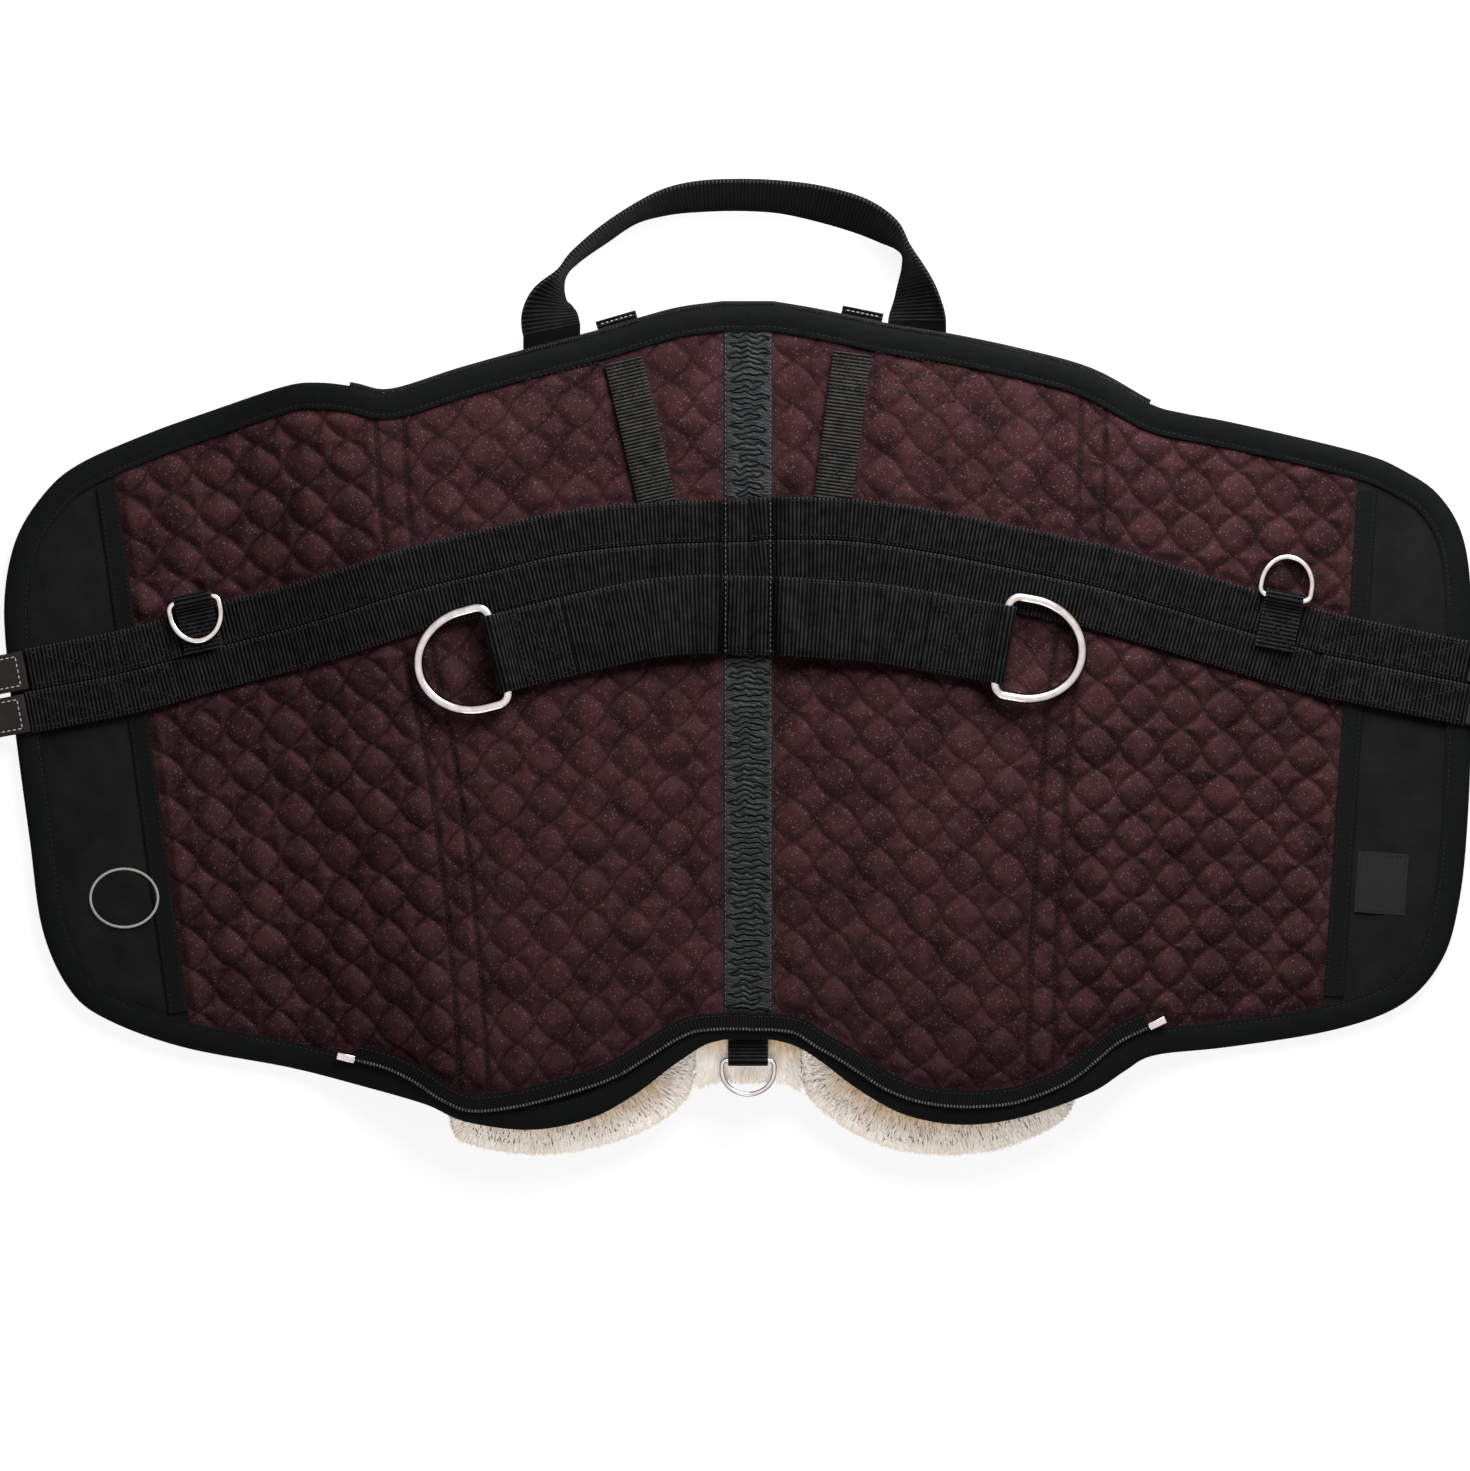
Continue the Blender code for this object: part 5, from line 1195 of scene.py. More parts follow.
def edge_binding(side):
    """The tape folded round the pad's edge, puckered along its seam."""
    sign, line = SIDES[side], OUTLINES[side]
    line = evenly(np.vstack([(0, line[0, 1]), line, (0, line[-1, 1])]), 2.2 * MM)
    centres, across, up = flat_frames(line, 0)
    across *= -sign
    across[0], across[-1] = (0, -1, 0), (0, 1, 0)
    points, faces, cloth = swept(centres, across, up, BINDING_SECTION)
    along, inner = cloth[:, 0], cloth[:, 1]
    pucker = bell(inner - 13 * MM, 4 * MM) * (points[:, 2] > 7 * MM)
    points[:, 2] += 0.3 * MM * pucker * ripple(along, inner, 9 * MM, 41 + sign)
    points[:, 2] += 0.35 * MM * (points[:, 2] > 5 * MM) * ripple(along, inner * 0.5, 46 * MM, 43 + sign)
    nodes = [f"{side}_edge_binding", "front_binding_middle", "rear_binding_middle"]
    piece = new_piece(f"{side}_bound_edge", drape(points), faces, "binding_tape", None, nodes, "black_cloth", 50,
                      cloth=cloth)
    fold_with(piece, side)
    sew(side, "dark_thread", shifted(line, -sign * 14.4 * MM)[2:-2], over(7.5 * MM), True)


def drawn_in(point, along, line, reach):
    """A point of the plan moved along until it is this far from a line."""
    while distance_to(*point, line)[0] < reach:
        point = point + along * 0.6 * MM
    return point


def seam_tape(side):
    """The tape that covers the join, from binding to binding."""
    (front, rear), sign = JOINS[side], SIDES[side]
    along = unit(rear - front)
    margin = BINDING_WIDTH + 0.6 * MM + TAPE_WIDTH / 5 + TAPE_WIDTH / 4
    front = drawn_in(front - along * TAPE_WIDTH, along, OUTLINES[side], margin)
    rear = drawn_in(rear + along * TAPE_WIDTH, -along, OUTLINES[side], margin)
    line = shifted(evenly(np.vstack([front, rear]), 4 * MM), sign * TAPE_WIDTH / 2)
    base = SHEET_TOP + CLEARANCE
    points, faces, cloth = strap(line, TAPE_WIDTH, base, 51 + sign, TAPE_THICKNESS)
    new_piece(f"{side}_join_tape", points, faces, "binding_tape", f"{side}_half", [f"{side}_seam_tape"],
              "black_cloth", 50, cloth=cloth)
    for across in (-TAPE_WIDTH / 2 + 1.8 * MM, TAPE_WIDTH / 2 - 1.8 * MM):
        row = shifted(line, across)
        beside = distance_to(row[:, 0], row[:, 1], GIRTH_LINES[side]) > BESIDE_GIRTH
        for part in (beside & (row[:, 1] > 0), beside & (row[:, 1] < 0)):
            if part.sum() > 2:
                sew(side, "dark_thread", row[part], over(base + TAPE_THICKNESS + THREAD_RISE),
                    pitch=SPINE_PITCH, length=SPINE_STITCH)


# The spine

def spine_band():
    """Satin drawn up on elastic between two rows of stitches, its pleats meeting in a meander."""
    front = float(edge_y("left", 0, True)) - 1.4 * MM
    rear = float(edge_y("left", 0, False)) + 1.4 * MM
    half = FOLD_X
    girth_y, stirrup_y = 0.345 * HALF_DEPTH, 0.146 * HALF_DEPTH
    x, y = np.meshgrid(np.linspace(-half, half, 49), np.linspace(front, rear, 1201))
    # Fingers of cloth reach in from both edges by turns, so the valleys between them run in a meander
    bowed = y + 2.2 * MM * (x / half) ** 2 + 1.5 * MM * ripple(x * 2, y, 21 * MM, 61)
    bowed += 0.55 * MM * ripple(x * 1.5, y, 8 * MM, 65)
    reach = 1 + 0.4 * ripple(x * 0, y, 11 * MM, 63)
    finger = np.cos(2 * math.pi * bowed / (7.4 * MM)) - 1.1 * np.sign(x) * np.abs(x / (12.3 * MM * reach)) ** 3
    wrinkle = np.cos(2 * math.pi * (bowed + 0.5 * MM * ripple(x * 2, y, 9 * MM, 67)) / (1.9 * MM))
    ridge = (1 - bell(finger, 0.42)) * (0.84 + 0.16 * wrinkle)
    free = smoothstep((half - np.abs(x)) / (2.4 * MM))
    # The bindings and the webs that cross it press it flat
    held = smoothstep((np.minimum(front - y, y - rear) - 16 * MM) / (3 * MM))
    for level, reach in ((girth_y, 27.5 * MM), (stirrup_y, 26 * MM)):
        held = np.minimum(held, smoothstep((np.abs(y - level) - reach) / (2 * MM)))
    rise = lift(x, y)
    z = SHEET_TOP - 0.9 * MM + 1.5 * MM * ridge * free * (0.3 + 0.7 * held)
    low = np.stack([x, y, SHEET_TOP - 1.9 * MM + rise], -1)[::4, ::4]
    points, faces = slab(np.stack([x, y, z + rise], -1), low, 4)
    # Low between the pleats and along the stitched edges, where the satin is painted in shade
    marks = np.append(ridge * free + 0.3 * (1 - free), np.ones(low.shape[:2]))
    piece = new_piece("shirred_spine_band", points, faces, "shirred_satin", "spine", ["spine_band"],
                      "black_cloth", 60, valley=marks)

    def height(px, py):
        over_girth = np.abs(py - girth_y) < 27.6 * MM
        over_stirrup = np.abs(py - stirrup_y) < 25.6 * MM
        level = np.where(over_girth, GIRTH_LEVEL + WEB_THICKNESS, SHEET_TOP + 0.45 * MM)
        level = np.where(over_stirrup, SECOND_LEVEL + WEB_THICKNESS, level)
        return level - np.where(over_girth | over_stirrup, middle_drop(px), 0) + SEAT_LIFT + THREAD_RISE

    for across in (-14.6 * MM, 14.6 * MM):
        line = evenly(np.array([(across, front - 17 * MM), (across, rear + 17 * MM)]), 4 * MM)
        sew("spine", "grey_thread", line, height, pitch=SPINE_PITCH, length=SPINE_STITCH)


# Webbing

def web(name, mesh, body, replaces, look="woven_webbing", **marks):
    points, faces, cloth = mesh
    return new_piece(name, points, faces, look, body, replaces, "webbing", 50, cloth=cloth, **marks)


def girth_line(side, front, end_share):
    """The middle of a half's front or rear girth web, out to this share of the half width."""
    offset = GIRTH_WEB_SPACING / 2 * (SIDES[side] if front else -SIDES[side])
    return between(shifted(GIRTH_LINES[side], offset), 0, end_share * HALF_WIDTH)


def girth_web(side, front):
    name = PLACES[front]
    line = girth_line(side, front, GIRTH_END_SHARE)
    line[0, 0] = 0
    points, faces, cloth = strap(line, GIRTH_WEB_WIDTH, GIRTH_LEVEL, 71 + SIDES[side], middle=True)
    points[:, 2] += crease(points[:, 0], points[:, 1], 1.1 * MM)
    points[:STRAP_AROUND, 0] = 0
    piece = web(f"{side}_{name}_girth_webbing", (points, faces, cloth), None,
                [f"{side}_{name}_girth_web", f"{name}_girth_web_middle"], sunk=sunk_marks(points, side))
    fold_with(piece, side)
    held = between(line, 0, (ANCHOR_START_SHARE - 0.01) * HALF_WIDTH)
    for across in (-1, 1):
        row = shifted(held, across * (GIRTH_WEB_WIDTH / 2 - 2.4 * MM))
        sew(side, "dark_thread", row, over(GIRTH_SEWN, True), True)


def billet_start(side, front):
    """Where a billet leaves its anchor, the way it points, and the anchor's line up to there."""
    line = girth_line(side, front, ANCHOR_END_SHARE)
    return line[-1], unit(line[-1] - line[-8]), line


def billet_anchor(side, front):
    line = between(billet_start(side, front)[2], ANCHOR_START_SHARE * HALF_WIDTH, HALF_WIDTH)
    line = at_length(line, np.arange(0, lengths(line)[-1] - 0.7 * MM, 3 * MM))
    mesh = strap(line, GIRTH_WEB_WIDTH, SECOND_LEVEL, 75 + SIDES[side])
    web(f"{side}_{PLACES[front]}_doubled_web", mesh, f"{side}_half", [f"{side}_{PLACES[front]}_billet_anchor"])
    run = lengths(line)[-1]
    half = GIRTH_WEB_WIDTH / 2 - SEWN_IN
    sew_box(side, line, SEWN_IN, run * 0.42, half, SECOND_SEWN)
    sew_box(side, line, run * 0.46, run - SEWN_IN, half, SECOND_SEWN)


def stirrup_web(side):
    """The wide web, folded round its ring's bar and sewn down on itself."""
    line = evenly(STIRRUP_LINES[side], 1 * MM)
    line[0, 0] = 0
    total = lengths(line)[-1]
    path = fold_path(BIG_RING[0], WEB_THICKNESS, total, 48 * MM)
    inner = BIG_RING[0] / 2 + RING_PLAY + WEB_THICKNESS
    points, faces, cloth = ribbon(line, path, STIRRUP_WEB_WIDTH, WEB_THICKNESS, SECOND_LEVEL + inner)
    points[:, 2] += crease(points[:, 0], points[:, 1], 2.1 * MM) - middle_drop(points[:, 0])
    # Between the spine and its ring the web stands off the quilt along its rear edge
    away = np.abs(points[:, 0])
    loose = smoothstep((away - 15 * MM) / (9 * MM)) * (1 - smoothstep((away - 70 * MM) / (40 * MM)))
    points[:, 2] += 5 * MM * loose * smoothstep(-cloth[:, 1] * SIDES[side] / STIRRUP_WEB_WIDTH + 0.5)
    points[:STRAP_AROUND, 0] = 0
    upper = points[:, 2] > SECOND_LEVEL + WEB_THICKNESS
    piece = web(f"{side}_stirrup_webbing", (points, faces, cloth), None,
                [f"{side}_stirrup_web", f"{side}_stirrup_loop", "stirrup_web_middle"],
                sunk=sunk_marks(points, side) * upper)
    fold_with(piece, side)
    half = STIRRUP_WEB_WIDTH / 2 - SEWN_IN
    sew_box(side, line[::-1], 15 * MM, 45 * MM, half, SECOND_SEWN + WEB_THICKNESS + CLEARANCE)
    held = at_length(line, np.arange(0, total - 50 * MM, 3 * MM))
    for across in (-1, 1):
        row = shifted(held, across * (half + 0.4 * MM))
        sew(side, "dark_thread", row, over(SECOND_SEWN, True), True)


def front_strap(side):
    """A short strap from the front binding back to the girth web, along which its end is cut."""
    start, end = STRAP_LINES[side]
    along = unit(end - start)
    start = drawn_in(start, along, OUTLINES[side], BINDING_WIDTH + 0.6 * MM + STRAP_WIDTH / 8)
    end = drawn_in(end, -along, GIRTH_LINES[side], GIRTH_REACH + 0.6 * MM + STRAP_WIDTH / 12)
    line = evenly(np.vstack([start, end]), 3 * MM)
    points, faces, cloth = strap(line, STRAP_WIDTH, GIRTH_LEVEL, 81 + SIDES[side])
    end = points[-STRAP_AROUND:]
    along = unit(line[-1] - line[-2])
    for _ in range(6):
        gap = distance_to(end[:, 0], end[:, 1], GIRTH_LINES[side]) - (GIRTH_REACH + 0.05 * MM)
        end[:, :2] += gap[:, None] * along
        cloth[-STRAP_AROUND:, 0] += gap
    web(f"{side}_short_strap", (points, faces, cloth), f"{side}_half", [f"{side}_front_strap"], "woven_strap")
    run = lengths(line)[-1]
    half = STRAP_WIDTH / 2 - SEWN_IN
    sew_box(side, line, SEWN_IN, 24 * MM, half, GIRTH_SEWN)
    sew_box(side, line, run - 24 * MM, run - SEWN_IN, half, GIRTH_SEWN)


def front_tab(side):
    """The end of the short strap, which shows past the binding."""
    first = FRONT_TAB_SHARES[side] * HALF_WIDTH
    centre, beside = (np.array([SIDES[side] * across, float(edge_y(side, across, True))])
                      for across in (first, first + 13.5 * MM))
    along = unit(beside - centre)
    out = np.array([-along[1], along[0]]) * SIDES[side]
    start = centre + out * 0.9 * MM
    line = evenly(np.vstack([start, start + out * 7 * MM]), 1 * MM)
    points, faces, cloth = swept(*flat_frames(line, 1 * MM), strap_section(27 * MM, TAB_THICKNESS))
    rise = float(lift(centre[0], centre[1]))
    points[:, 2] += rise
    web(f"{side}_strap_end", (points, faces, cloth), f"{side}_half", [f"{side}_front_tab"])
    level = 1 * MM + TAB_THICKNESS + THREAD_RISE + rise
    row = start + out * 4.6 * MM + np.array([[-1], [1]]) * along * 11 * MM
    sew(side, "white_thread", row, lambda x, y: np.full(np.shape(x), level), pitch=3 * MM, length=2 * MM)


def small_ring_tab(side):
    angle = math.radians(SMALL_RING_ANGLES[side])
    bar, out = at_shares(side, SMALL_RING_SHARES[side])[0], np.array([math.cos(angle), math.sin(angle)])
    line = evenly(np.vstack([bar - out * 40 * MM, bar]), 1 * MM)
    path = fold_path(SMALL_RING[0], TAB_THICKNESS, 34 * MM * 0.4, 34 * MM)
    inner = SMALL_RING[0] / 2 + RING_PLAY + TAB_THICKNESS
    base = SECOND_LEVEL + CLEARANCE
    web(f"{side}_ring_tab", ribbon(line, path, STRAP_WIDTH, TAB_THICKNESS, base + inner), f"{side}_half",
        [f"{side}_small_ring_tab"])
    top = base + 2 * TAB_THICKNESS + CLEARANCE + THREAD_RISE
    sew_box(side, line[::-1], 12 * MM, 31 * MM, STRAP_WIDTH / 2 - SEWN_IN, top)


def rear_ring_loop():
    bar = np.array([0, float(edge_y("left", 0, False)) - CLEARANCE - 13 * MM])
    base = SHEET_TOP - REAR_RING[0] - RING_PLAY * 2 - TAB_THICKNESS
    line = evenly(np.vstack([bar + (0, 13.2 * MM), bar]), 0.8 * MM)
    path = fold_path(REAR_RING[0], TAB_THICKNESS, 13 * MM, 13 * MM)
    inner = REAR_RING[0] / 2 + RING_PLAY + TAB_THICKNESS
    web("rear_loop", ribbon(line, path, REAR_WEB_WIDTH, TAB_THICKNESS, base + inner), "spine", ["rear_ring_loop"])


# Rings

def ring_outline(width, depth, wire):
    """The middle line of a D ring: its bar on Y at the origin, its bow towards +X."""
    half, corner = (width + wire) / 2, wire * 1.15
    straight = depth * 0.3
    first, last = np.linspace(math.pi, 1.5 * math.pi, 9), np.linspace(math.pi / 2, math.pi, 9)
    bow = np.linspace(-math.pi / 2, math.pi / 2, 49)[1:-1]
    return np.vstack([
        np.column_stack([corner * (1 + np.cos(first)), -half + corner * (1 + np.sin(first))]),
        np.column_stack([straight + (depth - straight) * np.cos(bow), half * np.sin(bow)]),
        np.column_stack([corner * (1 + np.cos(last)), half - corner * (1 - np.sin(last))]),
    ])


def ring(name, sizes, node):
    """A D ring bent from wire, laid as its solid lies and turning about its bar."""
    wire, width, depth = sizes
    start_object()
    bpy.ops.curve.primitive_bezier_circle_add(radius=depth / 2)
    bpy.context.object.name = name
    data = bpy.context.object.data
    data.splines.clear()
    outline = ring_outline(width, depth, wire)
    looped = np.vstack([outline, outline[:1]])
    outline = at_length(looped, np.linspace(0, lengths(looped)[-1], 97)[:-1])
    spline = data.splines.new("POLY")
    spline.points.add(len(outline) - 1)
    for target, (x, y) in zip(spline.points, outline):
        target.co = (x, y, 0, 1)
    spline.use_cyclic_u = True
    data.dimensions = "3D"
    data.bevel_depth = wire / 2
    data.bevel_resolution = 6
    bpy.ops.object.convert(target="MESH")
    piece = bpy.context.object
    facts = JOINTS[f"{node}_swing"]
    anchor, axis = np.array(facts["pos_m"], float), np.array(facts["axis"], float)
    out = np.array([-axis[1], axis[0], 0.0])
    solid = points_of(frame["nodes"][node].data) - anchor
    reach = solid @ out
    far = solid[reach > reach.max() - 4 * MM, 2]
    lean = math.asin(max(-1, min(1, float(far.min() + far.max()) / 2 / depth)))
    way = out * math.cos(lean) + np.array([0, 0, math.sin(lean)])
    across = np.cross([0, 0, 1.0], out)
    put(piece, anchor + points_of(piece.data) @ np.array([way, across, np.cross(way, across)]))
    settle(piece, "plated_nickel", node, [node], 60)


def big_ring(side):
    ring(f"{side}_big_ring", BIG_RING, f"{side}_stirrup_ring")


def little_ring(side):
    ring(f"{side}_little_ring", SMALL_RING, f"{side}_small_ring")


def rear_ring():
    ring("rear_d_ring", REAR_RING, "rear_ring")


# Handle

def handle_path():
    """The handle's middle line from its left foot to its right, and how far it leans over from flat."""
    base = HANDLE_BASE_SHARE * HALF_DEPTH
    reach = HANDLE_REACH - base
    plan = smooth(np.array([(x * HALF_WIDTH, base + y * reach, math.radians(lean))
                            for x, y, lean in HANDLE_SHARES]), 6)
    last = len(plan) - 1
    index = np.arange(last + 1)
    crown = 0.5 * MM + HANDLE_WIDTH / 2
    foot = SEAT_LIFT - EDGE_DROOP + 1 * MM + HANDLE_THICKNESS / 2
    away = smoothstep(np.minimum(index, last - index) / last * 3.5)
    lean = plan[:, 2]
    upright = np.sin(lean) * HANDLE_WIDTH / 2 + np.cos(lean) * HANDLE_THICKNESS / 2
    height = np.maximum(0.5 * MM + upright, foot + (crown - foot) * away)
    return np.column_stack([plan[:, :2], height]), lean


def handle_half(side):
    """One half of the grab handle: it stands nearly on edge at its crown and lies flat at its foot."""
    sign, left = SIDES[side], side == "left"
    points, lean = handle_path()
    run = lengths(points)
    near = np.where(np.diff(np.sign(points[:, 0])))[0][0]
    share = -points[near, 0] / (points[near + 1, 0] - points[near, 0])
    middle = run[near] + share * (run[near + 1] - run[near])
    stations = np.linspace(*((0, middle) if left else (middle, run[-1])), 110)
    centres = at_length(points, stations)
    leans = np.interp(stations, run, lean)[:, None]
    even = np.linspace(0, run[-1], 400)
    ahead = unit(np.gradient(at_length(points, even), axis=0))
    way = np.stack([np.interp(stations, even, column) for column in ahead.T], -1)
    flat = unit(np.column_stack([-way[:, 1], way[:, 0], np.zeros(len(way))]))
    across = flat * np.cos(leans) + np.array([0, 0, 1.0]) * np.sin(leans)
    up = unit(np.cross(way, across))
    section = [(a, b - HANDLE_THICKNESS / 2) for a, b in strap_section(HANDLE_WIDTH, HANDLE_THICKNESS, 11)]
    foot = abs(centres[0 if left else -1, 0])
    corners = np.array([(sign * a, float(edge_y(side, a, True)))
                        for a in (foot - HANDLE_WIDTH / 2, foot + HANDLE_WIDTH / 2)])
    keep = (centres[:, 1] > corners[:, 1].max() + 3 * MM) | (np.abs(centres[:, 0]) < 100 * MM)
    frames = [part[keep] for part in (centres, across, up)]
    # The foot's last station is there twice: the outer one is cut along the binding's edge
    frames = [np.vstack([part[:1], part] if left else [part, part[-1:]]) for part in frames]
    made, faces, cloth = swept(*frames, section)
    first, last = slice(0, len(section)), slice(len(made) - len(section), len(made))
    end, seam = (first, last) if left else (last, first)
    slope = (corners[1, 1] - corners[0, 1]) / (corners[1, 0] - corners[0, 0])
    made[end, 1] = corners[0, 1] + (made[end, 0] - corners[0, 0]) * slope + 0.9 * MM
    made[seam, 0] = 0
    piece = web(f"{side}_handle_half", (made, faces, cloth), None, ["grab_handle"], "woven_handle")
    fold_with(piece, side)


def handle_stitching(side):
    """The crossed box that holds the handle's foot through the quilt."""
    (left, right), (front, rear) = np.array(HANDLE_BOXES[side]) * MM
    lean = HANDLE_BOX_LEAN * SIDES[side]
    corners = np.array([(left, front + lean), (right, front - lean), (right, rear - lean), (left, rear + lean)])
    for row in (np.vstack([corners, corners[:1]]), corners[[0, 2]], corners[[1, 3]]):
        sew(side, "dark_thread", evenly(row, 3 * MM), over(SHEET_TOP + 1.3 * MM))


# Zips

def zip_tape(side, line):
    middle = ZIP_TAPE_WIDTH * 0.5
    section = [(0, ZIP_BASE), (middle, ZIP_BASE), (ZIP_TAPE_WIDTH, ZIP_BASE),
               (ZIP_TAPE_WIDTH, ZIP_BASE + 0.8 * MM), (middle, ZIP_BASE + 1 * MM), (0, ZIP_BASE + 1 * MM)]
    centres, across, up = flat_frames(line, 0)
    across *= SIDES[side]
    across[0] = (0, 1, 0)
    points, faces, cloth = swept(centres, across, up, section)
    piece = new_piece(f"{side}_rear_zip_tape", drape(points), faces, "zip_tape_cloth", None,
                      [f"{side}_rear_zip", "rear_zip_middle"], "zip", 50, cloth=cloth)
    fold_with(piece, side)
    row = shifted(line, SIDES[side] * (ZIP_TAPE_WIDTH - 2.2 * MM))
    sew(side, "dark_thread", row[1:], over(ZIP_BASE + 1 * MM), True)


def teeth(side, name, line, width, size, base, glint_share):
    """A zip's coil: its teeth, and the cord that runs through them."""
    pitch = shape().coil_pitch
    places = np.arange(pitch / 2, lengths(line)[-1], pitch)
    centre = at_length(line, places)
    along = at_length(line, places + pitch / 4) - at_length(line, places - pitch / 4)
    spots = np.column_stack([centre, base + lift(centre[:, 0], centre[:, 1])])
    way = np.column_stack([along, np.zeros(len(along))])
    tooth = arrays_of(block((pitch * 0.42, width, size), pitch * 0.42 * 0.28, 1))
    points, faces = repeated(tooth, spots, way, np.tile((0, 0, 1.0), (len(spots), 1)))
    cord = [(width * 0.5 * math.cos(t), size * 0.3 * math.sin(t)) for t in np.linspace(0, 2 * math.pi, 9)[:-1]]
    core, core_faces, _ = swept(*flat_frames(evenly(line, 3 * MM), 0), cord)
    core[:, 2] += lift(core[:, 0], core[:, 1]) + base
    faces += [[v + len(points) for v in face] for face in core_faces]
    # The teeth are drawn as pale as the light that they catch: painted highlight, strong on the rear zip and faint
    # on the front one
    marks = np.concatenate([np.full(len(points), glint_share), np.zeros(len(core))])
    piece = new_piece(f"{side}_{name}_zip_teeth", np.vstack([points, core]), faces, "coil_nylon", None,
                      [f"{side}_{name}_zip", f"{name}_zip_middle"], "zip", 30, tooth=marks)
    fold_with(piece, side)


def rear_zip(side):
    line = REAR_ZIPS[side]
    line = evenly(np.vstack([[[0, line[0, 1]]], line]), 2.5 * MM)
    zip_tape(side, line)
    row = shifted(line, SIDES[side] * ZIP_TEETH_WIDTH / 2)
    row[0] = (0, line[0, 1] + ZIP_TEETH_WIDTH / 2)
    teeth(side, "rear", row, ZIP_TEETH_WIDTH * 0.6, 1.9 * MM, ZIP_BASE + 1.65 * MM, 0.85)


def front_zip(side):
    line = shifted(OUTLINES[side], SIDES[side] * (FRONT_TEETH_SIZE / 2 - 0.1 * MM))
    line = line[line[:, 1] > 0]
    line = between(np.vstack([[[0, line[0, 1]]], line]), 0, FRONT_ZIP_END_SHARES[side] * HALF_WIDTH)
    teeth(side, "front", line, FRONT_TEETH_SIZE, 2.1 * MM, FRONT_TEETH_BASE + FRONT_TEETH_SIZE / 2, 0.12)


def zip_stop(side):
    """The zip's metal box: a pressed block with rounded edges and a slot for the pin."""
    line = REAR_ZIPS[side]
    along = unit(line[-1] - line[-2])
    left = np.array([-along[1], along[0]])
    long, wide, high = ZIP_STOP
    centre = line[-1] + along * (0.6 * MM + long / 2) + left * SIDES[side] * ZIP_TEETH_WIDTH / 2
    piece = block(ZIP_STOP, 0.8 * MM, 3)
    piece.name = f"{side}_zip_box"
    bpy.ops.mesh.primitive_cube_add(size=1, location=(-long * 0.36, 0, high * 0.5))
    slot = bpy.context.object
    slot.scale = (long * 0.5, wide * 0.34, high * 0.5)
    cut(piece, slot)
    places = points_of(piece.data)
    height = BINDING_HEIGHT + CLEARANCE + high / 2 + float(lift(centre[0], centre[1]))
    put(piece, np.column_stack([centre + places[:, :2] @ np.array([along, left]), height + places[:, 2]]))
    settle(piece, "plated_nickel", f"{side}_half", [f"{side}_zip_stop"], 40)


# Lambskin and foam

def lambskin_outline(side):
    """Under the seat, and past its rear edge as the fur shows there."""
    sign = SIDES[side]
    top = SEAMS[side][0][1] - LAMBSKIN_FRONT_INSET - BINDING_WIDTH
    corner = float(across_at(SEAMS[side], top)) + LAMBSKIN_SEAM_OVERLAP
    steps = 8
    front = []
    for step in range(steps + 1):
        across = LAMBSKIN_INNER_EDGE + (corner - LAMBSKIN_INNER_EDGE) * step / steps
        inset = LAMBSKIN_FRONT_INSET * (1 + float(smoothstep((step - steps + 2) / 2)))
        front.append((sign * across, float(edge_y(side, across, True)) - inset))
    rear = smooth(at_shares(side, LAMBSKIN_REAR_SHARES[side]), 6)
    inner = [(sign * LAMBSKIN_INNER_EDGE, rear[-1][1] + LAMBSKIN_INNER_EDGE)]
    return evenly(np.vstack([front, rear, inner, front[:1]]), 4 * MM)[:-1]


def inside(points, outline):
    """Whether points of the plan are inside a closed outline."""
    x, y = points.T
    hit = np.zeros(len(x), bool)
    for (ax, ay), (bx, by) in zip(outline, np.roll(outline, -1, axis=0)):
        if ay != by:
            hit ^= ((ay > y) != (by > y)) & (x < (bx - ax) * (y - ay) / (by - ay) + ax)
    return hit


def shrunk(outline, distance, sign):
    """A closed outline moved inwards."""
    return shifted(np.vstack([outline[-2:], outline, outline[:2]]), -sign * distance)[2:-2]


LOCK_FACES = np.array([(0, 2, 1), (0, 1, 4), (0, 4, 3), (1, 2, 5), (1, 5, 4), (2, 0, 3), (2, 3, 5), (3, 4, 6),
                       (4, 5, 6), (5, 3, 6)])
LOCK_TIPS = [0.5, 0.5, 0.5, 0.9, 0.9, 0.9, 1.0]


def locks(roots, ways, reach, widths, bends):
    """Tapered, slightly curved locks of wool, each a closed three-sided strand, and how near its tip it is."""
    ways = unit(ways)
    first = unit(np.cross(ways, np.where(np.abs(ways[:, 2:3]) > 0.8, (1.0, 0, 0), (0, 0, 1.0))))
    second = np.cross(ways, first)
    angles = np.array([0, 2 * math.pi / 3, 4 * math.pi / 3])[None, :, None]
    around = (first[:, None] * np.cos(angles) + second[:, None] * np.sin(angles)) * widths[:, None, None]
    middle = roots + ways * (reach * 0.55)[:, None] + bends * 0.3
    tip = roots + ways * reach[:, None] + bends
    points = np.concatenate([roots[:, None] + around * 0.5, middle[:, None] + around * 0.42, tip[:, None]], 1)
    faces = LOCK_FACES[None] + np.arange(len(roots))[:, None, None] * len(LOCK_TIPS)
    return points.reshape(-1, 3), faces.reshape(-1, 3).tolist(), np.tile(LOCK_TIPS, len(roots))


